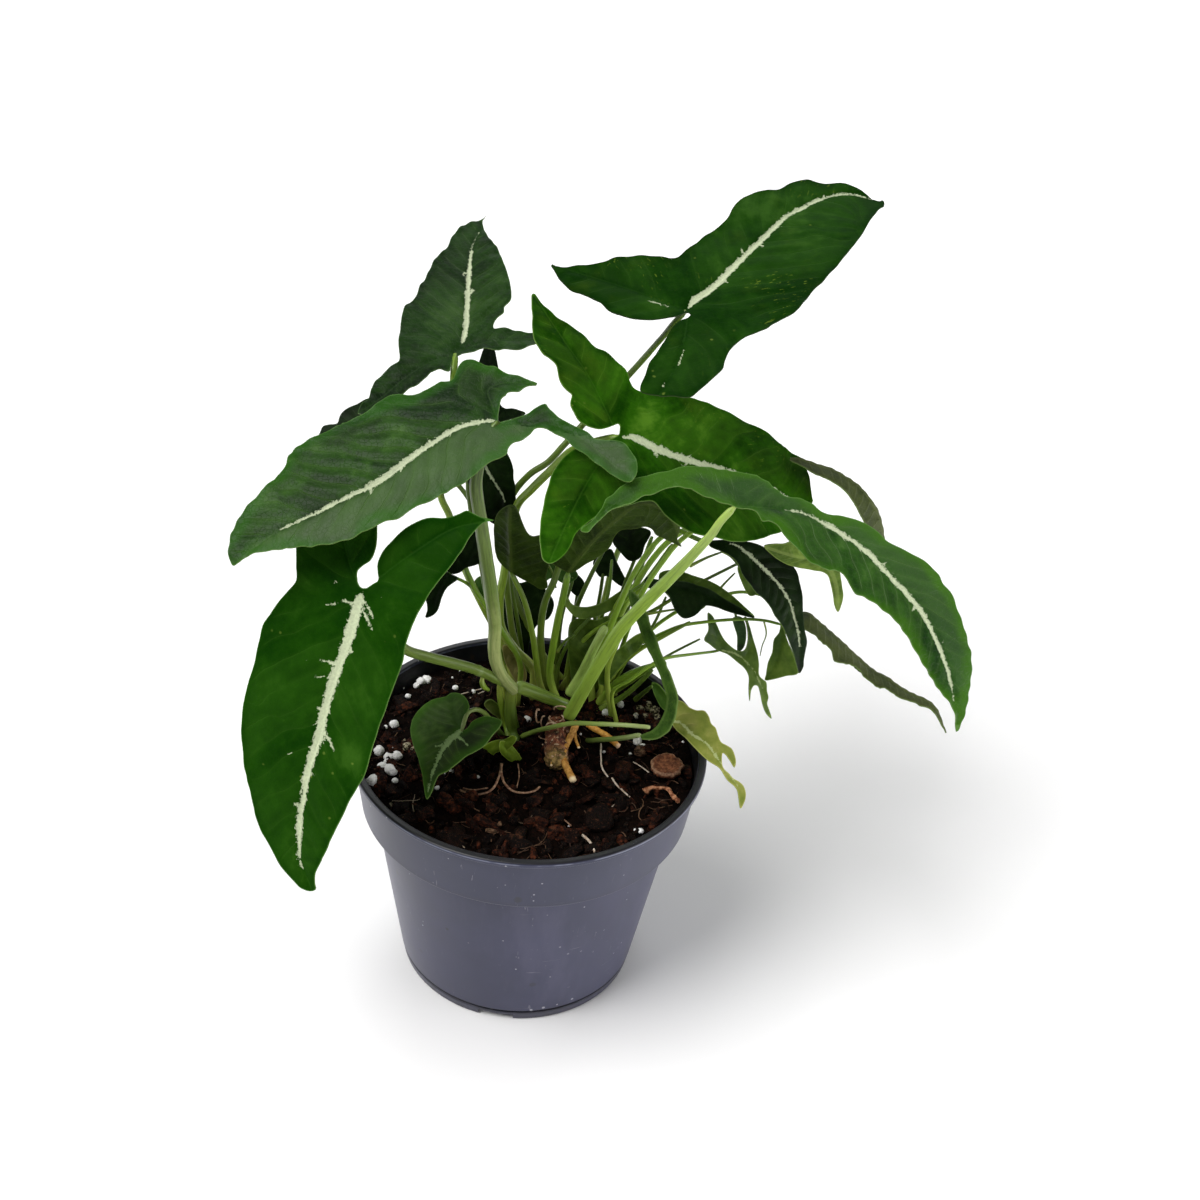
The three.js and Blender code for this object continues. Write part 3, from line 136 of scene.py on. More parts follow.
bpy.context.scene.view_settings.view_transform = "Standard"
bpy.context.scene.view_settings.look = "None"


# ---- number helpers -----------------------------------------------------------------
def unit(v):
    v = np.asarray(v, float)
    return v / np.maximum(np.linalg.norm(v, axis=-1, keepdims=True), 1e-12)


def smooth(x, a, b):
    t = np.clip((np.asarray(x, float) - a) / (b - a), 0, 1)
    return t * t * (3 - 2 * t)


def _hash(i, seed):
    n = (i[..., 0] * 374761393 + i[..., 1] * 668265263 + i[..., 2] * 1440662683 + seed * 974634777) & 0xFFFFFFFF
    n = ((n ^ (n >> 13)) * 1274126177) & 0xFFFFFFFF
    n = ((n ^ (n >> 15)) * 2246822519) & 0xFFFFFFFF
    return ((n ^ (n >> 16)) & 0xFFFFFF) / float(0xFFFFFF)


def vnoise(p, seed=0):
    """value noise from -1 to 1 at points p (n, 3)"""
    p = np.asarray(p, float)
    i = np.floor(p).astype(np.int64)
    f = p - i
    f = f * f * f * (f * (f * 6 - 15) + 10)
    out = 0.0
    for dx in (0, 1):
        for dy in (0, 1):
            for dz in (0, 1):
                w = (f[..., 0] if dx else 1 - f[..., 0]) * (f[..., 1] if dy else 1 - f[..., 1]) * (f[..., 2] if dz else 1 - f[..., 2])
                out = out + w * _hash(i + np.array([dx, dy, dz]), seed)
    return out * 2 - 1


def fbm(p, size, octaves=3, seed=0, gain=0.5):
    p = np.asarray(p, float) / size
    total, amp, norm = 0.0, 1.0, 0.0
    for o in range(octaves):
        total = total + amp * vnoise(p + 17.3 * o, seed + o)
        norm += amp
        amp *= gain
        p = p * 2.03
    return total / norm


def catmull(points, step, closed=False):
    """an evenly spaced smooth line through the points"""
    P = np.asarray(points, float)
    n = len(P)
    if closed:
        Q = np.vstack([P[-1:], P, P[:2]])
        segs = n
    else:
        Q = np.vstack([2 * P[:1] - P[1:2], P, 2 * P[-1:] - P[-2:-1]])
        segs = n - 1
    out = []
    for k in range(segs):
        p0, p1, p2, p3 = Q[k], Q[k + 1], Q[k + 2], Q[k + 3]
        t0 = 0.0
        t1 = t0 + max(np.linalg.norm(p1 - p0), 1e-4) ** 0.5
        t2 = t1 + max(np.linalg.norm(p2 - p1), 1e-4) ** 0.5
        t3 = t2 + max(np.linalg.norm(p3 - p2), 1e-4) ** 0.5
        t = np.linspace(t1, t2, 13)[:-1, None]
        a1 = (t1 - t) / (t1 - t0) * p0 + (t - t0) / (t1 - t0) * p1
        a2 = (t2 - t) / (t2 - t1) * p1 + (t - t1) / (t2 - t1) * p2
        a3 = (t3 - t) / (t3 - t2) * p2 + (t - t2) / (t3 - t2) * p3
        b1 = (t2 - t) / (t2 - t0) * a1 + (t - t0) / (t2 - t0) * a2
        b2 = (t3 - t) / (t3 - t1) * a2 + (t - t1) / (t3 - t1) * a3
        out.append((t2 - t) / (t2 - t1) * b1 + (t - t1) / (t2 - t1) * b2)
    D = np.vstack(out + [P[:1] if closed else P[-1:]])
    s = np.concatenate([[0], np.cumsum(np.linalg.norm(np.diff(D, axis=0), axis=1))])
    m = max(int(round(s[-1] / step)), 3 if closed else 1)
    want = np.linspace(0, s[-1], m + 1)
    R = np.stack([np.interp(want, s, D[:, c]) for c in range(D.shape[1])], axis=1)
    return R[:-1] if closed else R


def inside(P, poly):
    x, y = P[:, 0][:, None], P[:, 1][:, None]
    a, b = poly, np.roll(poly, -1, axis=0)
    cross = (a[:, 1] > y) != (b[:, 1] > y)
    with np.errstate(divide="ignore", invalid="ignore"):
        xi = (b[:, 0] - a[:, 0]) * (y - a[:, 1]) / (b[:, 1] - a[:, 1]) + a[:, 0]
    return (np.sum(cross & (x < xi), axis=1) % 2) == 1


def to_line(P, line, closed=False):
    """distance, distance along, and side (-1 or 1) of each 2-D point from a polyline"""
    L = np.vstack([line, line[:1]]) if closed else line
    a, ab = L[:-1], np.diff(L, axis=0)
    l2 = np.maximum((ab ** 2).sum(1), 1e-9)
    cum = np.concatenate([[0], np.cumsum(np.sqrt(l2))])
    best = np.full(len(P), 1e9)
    along = np.zeros(len(P))
    side = np.ones(len(P))
    for s in range(0, len(P), 4000):
        ap = P[s:s + 4000, None] - a[None]
        t = np.clip((ap * ab).sum(2) / l2, 0, 1)
        d = np.linalg.norm(ap - t[..., None] * ab, axis=2)
        k = d.argmin(1)
        r = np.arange(len(k))
        best[s:s + 4000] = d[r, k]
        along[s:s + 4000] = cum[k] + t[r, k] * np.sqrt(l2[k])
        side[s:s + 4000] = np.sign(ab[k, 0] * ap[r, k, 1] - ab[k, 1] * ap[r, k, 0] + 1e-12)
    return best, along, side


# ---- mesh helpers -------------------------------------------------------------------
def make(name, V, F, mats, slots=None, attrs=None, flat=False, sharp=None, ride=True, slot=None, replaces=()):
    me = bpy.data.meshes.new(name)
    V = np.asarray(V, float) * MM
    if isinstance(F, np.ndarray):
        k = F.shape[1]
        me.vertices.add(len(V))
        me.vertices.foreach_set("co", V.astype(np.float32).ravel())
        me.loops.add(F.size)
        me.loops.foreach_set("vertex_index", F.astype(np.int32).ravel())
        me.polygons.add(len(F))
        me.polygons.foreach_set("loop_start", np.arange(0, F.size, k, dtype=np.int32))
        me.update(calc_edges=True)
    else:
        me.from_pydata(V.tolist(), [], F)
    for m in mats:
        me.materials.append(m)
    if slots is not None:
        me.polygons.foreach_set("material_index", np.asarray(slots, np.int32))
    for key, values in (attrs or {}).items():
        me.attributes.new(key, "FLOAT", "POINT").data.foreach_set("value", np.asarray(values, np.float32))
    me.polygons.foreach_set("use_smooth", np.full(len(me.polygons), not flat))
    me.validate()
    me.update()
    if sharp:
        me.set_sharp_from_angle(angle=math.radians(sharp))
    o = bpy.data.objects.new(name, me)
    bpy.context.scene.collection.objects.link(o)
    if ride:
        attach(o, "root")
    if replaces:
        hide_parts(*replaces)
    return o


class Parts:
    """several closed pieces gathered in one mesh"""

    def __init__(self):
        self.V, self.F, self.A, self.n = [], [], {}, 0

    def add(self, V, F, **attrs):
        self.V.append(V)
        self.F.append(np.asarray(F) + self.n)
        self.n += len(V)
        for k, v in attrs.items():
            self.A.setdefault(k, []).append(np.broadcast_to(np.asarray(v, float), (len(V),)).copy())

    def make(self, name, mats, **kw):
        return make(name, np.vstack(self.V), np.vstack(self.F), mats, attrs={k: np.concatenate(v) for k, v in self.A.items()}, **kw)


def frames(path):
    """tangents and two turning-free normals along a path"""
    T = unit(np.gradient(path, axis=0))
    N = np.zeros_like(path)
    ref = np.array([0.0, -1.0, 0.3])
    n = unit(ref - (ref @ T[0]) * T[0])
    for i in range(len(path)):
        n = n - (n @ T[i]) * T[i]
        n = n / max(np.linalg.norm(n), 1e-9)
        N[i] = n
    return T, N, np.cross(T, N)


def tube_mesh(path, radius, sides=12, profile=None, cap=True):
    """a closed tube along path; radius is a number per station, profile(angle, share) scales it round the section"""
    T, N, B = frames(path)
    m = len(path)
    ang = np.linspace(0, 2 * math.pi, sides, endpoint=False)
    share = np.linspace(0, 1, m)
    R = np.asarray(radius, float)[:, None] * np.ones(sides)
    if profile is not None:
        R = R * profile(ang[None, :], share[:, None])
    V = path[:, None] + R[..., None] * (np.cos(ang)[None, :, None] * N[:, None] + np.sin(ang)[None, :, None] * B[:, None])
    V = V.reshape(-1, 3)
    i, j = np.meshgrid(np.arange(m - 1), np.arange(sides), indexing="ij")
    a = i * sides + j
    b = i * sides + (j + 1) % sides
    c, d = b + sides, a + sides
    F = [np.stack([a, b, c], -1).reshape(-1, 3), np.stack([a, c, d], -1).reshape(-1, 3)]
    if cap:
        k = len(V)
        V = np.vstack([V, path[0] - T[0] * R[0].mean() * 0.3, path[-1] + T[-1] * R[-1].mean() * 0.3])
        jj = np.arange(sides)
        F.append(np.stack([np.full(sides, k), (jj + 1) % sides, jj], -1))
        e = (m - 1) * sides
        F.append(np.stack([np.full(sides, k + 1), e + jj, e + (jj + 1) % sides], -1))
    along = np.concatenate([[0], np.cumsum(np.linalg.norm(np.diff(path, axis=0), axis=1))])
    al = np.repeat(along, sides)
    sh = np.repeat(share, sides)
    ca = np.tile(np.cos(ang), m) * np.repeat(R.mean(1), sides)
    sa = np.tile(np.sin(ang), m) * np.repeat(R.mean(1), sides)
    if cap:
        al = np.concatenate([al, [0, along[-1]]])
        sh = np.concatenate([sh, [0, 1]])
        ca = np.concatenate([ca, [0, 0]])
        sa = np.concatenate([sa, [0, 0]])
    return V, np.vstack(F), dict(al=al, ts=sh, ca=ca, sa=sa)


_ico = {}


def ico(level):
    if level not in _ico:
        import bmesh
        bm = bmesh.new()
        bmesh.ops.create_icosphere(bm, subdivisions=level, radius=1.0)
        bm.verts.ensure_lookup_table()
        V = np.array([v.co[:] for v in bm.verts])
        F = np.array([[v.index for v in f.verts] for f in bm.faces])
        bm.free()
        _ico[level] = (V, F)
    return _ico[level]


# ---- material helper ----------------------------------------------------------------
class Mat:
    def __init__(self, name, rough=0.5, spec=0.5, **const):
        self.m = bpy.data.materials.new(name)
        self.m.use_nodes = True
        self.t = self.m.node_tree
        self.t.nodes.clear()
        out = self.t.nodes.new("ShaderNodeOutputMaterial")
        self.b = self.t.nodes.new("ShaderNodeBsdfPrincipled")
        self.t.links.new(self.b.outputs[0], out.inputs[0])
        self.b.inputs["Roughness"].default_value = rough
        self.b.inputs["Specular IOR Level"].default_value = spec
        for k, v in const.items():
            self.b.inputs[k.replace("_", " ")].default_value = v
        self.obj = self.t.nodes.new("ShaderNodeTexCoord").outputs["Object"]

    def put(self, sock, v):
        if isinstance(v, bpy.types.NodeSocket):
            self.t.links.new(v, sock)
        elif isinstance(v, (tuple, list)) and len(v) == 3 and sock.type == "RGBA":
            sock.default_value = (*v, 1)
        else:
            sock.default_value = v

    def node(self, kind, **props):
        n = self.t.nodes.new("ShaderNode" + kind)
        for k, v in props.items():
            setattr(n, k, v)
        return n

    def attr(self, name):
        return self.node("Attribute", attribute_name=name).outputs["Fac"]

    def math(self, op, a, b=0.0, c=0.0, clamp=False):
        n = self.node("Math", operation=op, use_clamp=clamp)
        self.put(n.inputs[0], a)
        self.put(n.inputs[1], b)
        self.put(n.inputs[2], c)
        return n.outputs[0]

    def mul(self, a, b):
        return self.math("MULTIPLY", a, b)

    def add(self, a, b):
        return self.math("ADD", a, b)

    def span(self, x, a, b, c=0.0, d=1.0, kind="SMOOTHSTEP"):
        """x from a..b to c..d, clamped"""
        n = self.node("MapRange", interpolation_type=kind)
        if a > b:
            a, b, c, d = b, a, d, c
        for k, v in enumerate((x, a, b, c, d)):
            self.put(n.inputs[k], v)
        return n.outputs[0]

    def mix(self, f, a, b, blend="MIX"):
        n = self.node("Mix", data_type="RGBA", blend_type=blend)
        self.put(n.inputs[0], f)
        self.put(n.inputs[6], a)
        self.put(n.inputs[7], b)
        return n.outputs[2]

    def noise(self, scale, detail=2.0, rough=0.5, vec=None, distort=0.0):
        n = self.node("TexNoise")
        self.put(n.inputs["Vector"], vec or self.obj)
        n.inputs["Scale"].default_value = scale
        n.inputs["Detail"].default_value = detail
        n.inputs["Roughness"].default_value = rough
        n.inputs["Distortion"].default_value = distort
        return n.outputs[0]

    def voro(self, scale, feature="F1", vec=None, rand=1.0):
        n = self.node("TexVoronoi", feature=feature)
        self.put(n.inputs["Vector"], vec or self.obj)
        n.inputs["Scale"].default_value = scale
        n.inputs["Randomness"].default_value = rand
        return n

    def scaled(self, sx, sy, sz, vec=None):
        n = self.node("Mapping")
        self.put(n.inputs[0], vec or self.obj)
        n.inputs["Scale"].default_value = (sx, sy, sz)
        return n.outputs[0]

    def xyz(self, x, y, z):
        n = self.node("CombineXYZ")
        for k, v in enumerate((x, y, z)):
            self.put(n.inputs[k], v)
        return n.outputs[0]

    def bump(self, height, strength, dist, normal=None):
        n = self.node("Bump")
        n.inputs["Strength"].default_value = strength
        n.inputs["Distance"].default_value = dist * MM
        self.put(n.inputs["Height"], height)
        if normal is not None:
            self.put(n.inputs["Normal"], normal)
        return n.outputs[0]

    def done(self, color, rough=None, normal=None):
        self.put(self.b.inputs["Base Color"], color)
        if rough is not None:
            self.put(self.b.inputs["Roughness"], rough)
        if normal is not None:
            self.put(self.b.inputs["Normal"], normal)
        return self.m


def srgb(r, g, b):
    return tuple((x / 255 / 12.92) if x / 255 <= 0.04045 else ((x / 255 + 0.055) / 1.055) ** 2.4 for x in (r, g, b))


# ---- floor --------------------------------------------------------------------------
fm = Mat("floor_white", rough=0.75, spec=0.15)
fn = fm.noise(6.0, 2.0)
floor_mat = fm.done(fm.mix(fm.span(fn, 0.3, 0.7), (0.93, 0.93, 0.93), (0.95, 0.95, 0.95)), normal=fm.bump(fm.noise(900.0, 2.0), 0.02, 0.1))
floor = make("floor", [[-6000, -6000, -0.2], [6000, -6000, -0.2], [6000, 6000, -0.2], [-6000, 6000, -0.2]], [[0, 1, 2, 3]], [floor_mat], ride=False)


# ---- leaf surfaces, outlines, veins and stalk paths in millimetres -------------------
BLADES = {
    "leaf_01": dict(
        deg=5, under=0, px=[686, 311], J=[38.19, 30, 239.28], n=[-0.028, -0.236, 0.971],
        co=[[38.187, 26.359, -1.568, -0.066, 1.075, -0.093, -0.007, 0.104, 0.023, 0.011, 0.006, 0.032, 0.028, 0.022, 0.004, -0.001, -0.001, -0.007, 0.006, -0.012, -0.002], [29.886, 0.188, 36.495, -0.343, 1.543, 0.458, 0.114, 0.615, 0.51, 0.194, 0.031, 0.029, 0.338, 0.406, 0.153, -0.002, -0.076, 0.074, -0.263, -0.153, -0.021], [239.335, 2.428, 10.861, 0.167, -0.738, 0.905, -0.054, -0.3, -0.158, -0.088, -0.016, -0.016, -0.145, -0.184, -0.072, 0.001, 0.038, -0.028, 0.122, 0.09, 0.01]],
        out=[[-3.45, 17.59], [-8.97, 18.1], [-14.83, 18.62], [-19.31, 18.28], [-24.48, 17.59], [-29.66, 16.03], [-36.55, 15.52], [-41.72, 15], [-44.48, 15.34], [-46.55, 15.86], [-45.17, 13.1], [-42.76, 9.31], [-39.48, 6.55], [-36.21, 5.52], [-33.1, 4.14], [-29.66, 2.07], [-26.55, -0.86], [-22.76, -2.55], [-17.59, -3.45], [-12.41, -3.45], [-7.24, -2.93], [-3.45, -2.24], [-1.38, -1.21], [-0.17, -0.69], [0.69, -0.52], [1.38, -1.03], [1.38, -2.07], [0, -2.93], [-2.55, -3.79], [-4.83, -6.55], [-7.93, -11.72], [-10.48, -15.72], [-12.76, -18.83], [-14.14, -23.1], [-15.86, -27.59], [-15.86, -31.38], [-14.14, -34.83], [-10.69, -36.21], [-6.21, -34.83], [-2.07, -32.41], [1.72, -30.17], [6.21, -26.72], [9.76, -23.66], [12.66, -20.34], [13.28, -17.48], [15, -13.97], [18.55, -10.62], [22.97, -8.86], [27.79, -6.9], [29.83, -5], [33.45, -3.24], [37.93, -0.79], [40.55, 2.55], [43.62, 6.21], [46.9, 9.76], [51.1, 14.17], [55.52, 19.31], [59.9, 24.72], [63.41, 30.45], [66.48, 34.48], [68.28, 36.03], [67.93, 37.93], [65.86, 37.48], [62.52, 39.66], [58.14, 41.9], [53.72, 43.38], [49.31, 43.55], [44.48, 43.79], [41.38, 44.48], [38.28, 44.24], [35.28, 42.76], [31.72, 41.17], [26.9, 40.38], [22.52, 39.24], [18.97, 37.48], [16.1, 34.83], [14.14, 31.38], [11.03, 28.28], [6.21, 25.17], [4.03, 23.45], [0.07, 20.34]],
        mid=[[0, 0], [2.28, 2.76], [8.86, 7.59], [15.48, 14.14], [21.62, 20.34], [26.9, 25.17], [34.38, 32.41], [39.66, 35.28], [45.86, 38.28], [52.41, 40.1], [59.9, 39.66], [68.28, 36.9]],
        ribs=[[[0, 0.34], [-10.69, 4.48], [-22.76, 8.62], [-34.83, 12.41], [-46.55, 15.86]], [[0.69, -1.03], [-0.69, -10], [-3.45, -18.62], [-7.24, -25.52], [-11.72, -35.52]]],
    ),
    "leaf_02": dict(
        deg=5, under=0, px=[619, 437], J=[21.16, 8, 205.96], n=[0.533, -0.295, 0.793],
        co=[[21.163, 26.489, -2.244, 0.815, 0.673, -0.06, 0.068, 0.068, 0.053, -0.006, 0.03, 0.014, 0.005, 0.002, -0.001, 0.003, 0.007, 0.006, -0.002, -0.002, 0], [7.882, 17.59, 29.977, 0.857, 1.896, 1.57, 0.634, 0.311, 0.256, 0.221, 0.366, 0.302, 0.37, 0.138, 0.054, -0.107, -0.035, -0.008, 0.184, 0.114, -0.035], [206.034, -7.689, 12.963, -0.423, -0.096, -0.066, -0.37, -0.112, -0.06, -0.061, -0.211, -0.145, -0.195, -0.066, -0.024, 0.064, 0.03, 0.019, -0.092, -0.064, 0.019]],
        out=[[-29.79, 49.45], [-26.07, 45.31], [-21.24, 40.9], [-15.52, 37.38], [-12.41, 34.83], [-8.48, 30.34], [-4.97, 28.62], [-1.03, 25.07], [2.07, 21.55], [3.21, 18.97], [4.72, 16.28], [7.24, 15.17], [11.72, 14.34], [20.55, 13.79], [24.48, 12.93], [29.31, 11.45], [35.52, 8.79], [41.66, 5.72], [46.9, 3.1], [51.34, 0.45], [54.83, -2.62], [57.93, -5.34], [61.38, -7.59], [63.1, -9.14], [63.79, -11.72], [64.79, -14.48], [65.52, -17.93], [66.03, -21.03], [66.55, -22.76], [63.45, -25.17], [59.66, -30], [55.52, -33.1], [52.76, -33.79], [49.31, -35.17], [44.48, -36.21], [38.62, -36.55], [34.48, -35.52], [27.93, -34.14], [21.03, -31.72], [15.52, -27.59], [11.38, -22.76], [7.24, -22.76], [2.07, -24.14], [-2.41, -25.17], [-6.55, -26.9], [-10, -28.97], [-13.45, -31.72], [-15.34, -33.79], [-16.76, -37.24], [-18.76, -40.41], [-21.34, -42.69], [-23.34, -43.72], [-24.76, -43.55], [-26.31, -42.41], [-27.24, -39.31], [-27.34, -35.28], [-27.34, -30.69], [-26.76, -26.14], [-25.93, -21.55], [-24.76, -17.59], [-23.62, -13.55], [-21.62, -10.1], [-19.31, -7.24], [-16.21, -4.83], [-12.07, -3.28], [-7.24, -2.07], [-3.79, -1.21], [-1.72, -0.34], [-0.17, 0.69], [0.17, 2.41], [-0.14, 4.48], [-3.66, 3.24], [-6.72, 2.48], [-10.69, 3.28], [-14.21, 5.28], [-15.97, 7.93], [-17.24, 11.03], [-16.9, 13.97], [-18, 14.97], [-19.93, 17.24], [-21.52, 20.69], [-22.14, 24.21], [-24.31, 26.21], [-26.97, 27.93], [-29.17, 32.07], [-30, 35.17], [-30.14, 42.76], [-30.34, 47.24]],
        mid=[[0, 0], [4.48, -0.17], [8.97, -2.24], [14.14, -4.83], [21.03, -7.07], [27.93, -9.31], [37.59, -11.55], [44.48, -13.45], [50.34, -16.21], [58.28, -20.86], [66.55, -22.76]],
        ribs=[[[-0.34, 0.34], [-4.48, 9.31], [-10.69, 21.38], [-18.62, 32.76], [-29.66, 49.31]], [[-0.34, -0.34], [-6.55, -8.62], [-12.76, -18.97], [-18.28, -30.34], [-24.14, -43.45]]],
    ),
    "leaf_03": dict(
        deg=3, under=0, px=[455.5, 354], J=[-32.32, 37, 213.9], n=[-0.113, -0.331, 0.937],
        co=[[-32.315, 27.485, -3.968, -0.038, 0.833, -0.163, -0.036, 0.022, 0.074, -0.067], [36.938, -0.765, 32.835, -0.678, -0.015, 1.693, -0.048, -0.231, 0.284, 0.592], [213.93, 3.08, 13.007, 0.36, -0.016, 0.011, 0.021, 0.079, -0.144, -0.192]],
        out=[[10.52, 47.07], [9.41, 46.21], [9.72, 43.59], [11.69, 39.66], [14.45, 36.07], [16.03, 32.52], [17.62, 28.55], [18.97, 23.79], [19.21, 19.07], [18.03, 17.41], [16.83, 16.28], [16.72, 14.14], [14.48, 12.34], [13.1, 10], [13.28, 8.76], [17.62, 8.76], [22.38, 7.72], [26.03, 7.07], [29.48, 5.52], [27.76, 3.28], [24.31, 1.72], [20, 0.86], [15.24, 1.1], [11.31, 1.79], [8.1, 1.48], [5.34, 0.45], [2.59, -0.1], [0.86, -1.03], [-0.17, -1.9], [-1.03, -2.76], [-1.55, -4.83], [-1.9, -6.55], [-4.93, -5.66], [-8.1, -6.1], [-10.07, -8.62], [-13.28, -10.86], [-16.79, -12.62], [-18.93, -14.59], [-21.9, -17.24], [-26.03, -20], [-30.86, -21.72], [-33.62, -20.69], [-32.24, -17.59], [-29.83, -15.17], [-28.45, -11.03], [-25.52, -7.45], [-22.34, -4.69], [-19.41, -2.72], [-19.59, 3.24], [-18.93, 8.76], [-18.24, 13.52], [-16.79, 16.69], [-14.03, 18.62], [-12.45, 22.62], [-10.52, 25.38], [-8.9, 28.55], [-6.52, 32.52], [-2.97, 36.07], [-0.97, 40], [1.79, 43.21], [5.34, 45.17], [8.45, 46.1]],
        mid=[[0, 0], [1.79, 3.1], [2.79, 5.86], [3.97, 11.72], [4.31, 18.62], [4.66, 27.24], [5, 33.31], [6.55, 39.31], [9.66, 45.52]],
        ribs=[[[0.17, 0.34], [6.72, 3.1], [15.34, 4.83], [22.24, 4.83], [29.14, 5.52]], [[-0.17, -0.34], [-8.79, -2.76], [-17.41, -8.28], [-24.31, -14.14], [-32.93, -20.34]]],
    ),
    "leaf_04": dict(
        deg=5, under=0, px=[498, 421.5], J=[-15.58, 2, 211.24], n=[-0.213, -0.475, 0.854],
        co=[[-15.567, 26.237, -3.186, -0.122, 0.762, -0.137, 0.046, 0.025, 0.16, -0.024, -0.01, 0.012, 0.03, 0.037, -0.028, -0.001, -0.004, 0.013, 0.006, -0.018, 0.009], [1.88, -0.763, 28.728, 0.256, -0.966, 1.543, -0.267, -0.742, -1.091, 0.411, 0.043, -0.33, -0.506, -0.184, 0.335, 0.015, -0.006, -0.185, -0.01, 0.222, -0.125], [211.309, 3.047, 13.341, -0.159, 0.513, -0.116, 0.161, 0.458, 0.609, -0.16, -0.026, 0.184, 0.285, 0.071, -0.166, -0.009, 0.005, 0.102, 0.007, -0.143, 0.089]],
        out=[[-13.66, 18.21], [-11.72, 20.34], [-9.31, 20.97], [-6.93, 20], [-3.34, 18.79], [-0.21, 18.03], [1.79, 17], [4.14, 15.83], [7.34, 15.41], [10.1, 14.48], [11.72, 13.62], [13.66, 12.72], [10.9, 12.1], [8.97, 11.07], [7.34, 10.1], [4.97, 10.03], [2.59, 8.69], [1.24, 7.66], [0.45, 4.72], [0, 1.55], [0.17, 0], [1.38, 0.07], [4.07, 0.45], [6.93, 1.41], [10.34, 2.59], [12.66, 4.31], [14.97, 5.52], [16.66, 5.83], [17.52, 4.31], [19.52, 2.59], [21.52, 0.55], [24.66, -0.86], [28.1, -2.31], [30.97, -4.03], [33.52, -6.31], [36.55, -6.72], [40, -6.9], [42.97, -7.59], [45.24, -9.72], [47.24, -12.59], [48.1, -15.45], [47.55, -18.9], [45.52, -20.86], [42.97, -20.86], [40.1, -18.9], [37.24, -17.17], [33.79, -14.59], [30.97, -12.59], [27.52, -10.31], [24.97, -8.31], [22.97, -6.31], [20.1, -4.59], [16.66, -3.17], [12.66, -2.38], [11.03, -4.76], [8.45, -6.38], [5.83, -7.41], [3.59, -9.62], [3.21, -11.48], [0.97, -13.14], [-2.41, -14.48], [-6.14, -17.07], [-9.14, -19.72], [-12.86, -22.1], [-16.62, -24.21], [-20.34, -26.03], [-24.83, -28.45], [-30.07, -31.14], [-34.55, -33.93], [-39.03, -35.41], [-43.52, -37.28], [-47.28, -39.14], [-50.24, -40.66], [-54.38, -41.62], [-59.24, -42.52], [-64.48, -43.41], [-68.97, -43.48], [-72.69, -44], [-78.66, -44.76], [-84.28, -45.72], [-87.62, -47.14], [-89.52, -48.86], [-91.38, -49.83], [-92.72, -47], [-92.48, -42.93], [-91.38, -38.45], [-89.14, -33.97], [-86.55, -30.52], [-83.1, -26.83], [-80.17, -23.45], [-77.17, -20.07], [-74.17, -17.48], [-73.07, -15.21], [-71.79, -11.9], [-69.66, -9.62], [-66.69, -7.59], [-61.55, -5], [-58.76, -3.62], [-55.17, -2], [-51.24, -0.41], [-46.9, 1.72], [-43.72, 3.55], [-41.38, 5.52], [-38.97, 7.52], [-36.62, 8.52], [-34.24, 8.86], [-30.28, 8.45], [-27.1, 8.93], [-23.93, 10.66], [-20, 12.79], [-15.62, 14.24], [-14.66, 16.03]],
        mid=[[0, 0], [-3.1, 0.41], [-8.38, -0.66], [-13.62, -2], [-18.86, -5], [-24.07, -8.45], [-30.07, -12.59], [-34.55, -16.38], [-39.79, -20.24], [-45.03, -23.07], [-51.03, -25.69], [-56.97, -28.69], [-62.97, -31.69], [-68.21, -33.97], [-71.93, -35.79], [-75.31, -37.28], [-83.45, -42.93], [-91.03, -49.14]],
        ribs=[[[-0.17, 0.52], [-2.07, 5.69], [-3.45, 10.86], [2.41, 13.28], [13.1, 12.76]], [[0.69, -0.17], [9.31, -0.86], [17.93, -0.86], [28.28, -5.69], [36.9, -12.59], [45.52, -19.48]]],
    ),
    "leaf_05": dict(
        deg=5, under=0, px=[364, 590], J=[-51.29, -30, 167.67], n=[-0.415, -0.818, 0.397],
        co=[[-51.269, 27.477, -2.287, -0.72, 0.138, -0.038, 0.097, -0.053, 0.07, 0.039, 0.011, -0.045, -0.012, -0.021, 0.007, -0.009, 0.041, -0.049, 0.018, -0.008, 0.001], [-30.156, -8.53, 15.213, 1.329, -0.863, 0.254, -0.152, 0.172, -0.349, -0.253, -0.136, 0.374, -0.012, 0.049, -0.036, -0, -0.096, 0.239, -0.086, 0.038, -0.003], [167.782, 8.826, 21.146, -1.001, -0.026, -0.167, 0.119, -0.039, 0.233, 0.206, 0.095, -0.27, 0.007, -0.05, 0.013, -0.003, 0.075, -0.172, 0.065, -0.028, 0.001]],
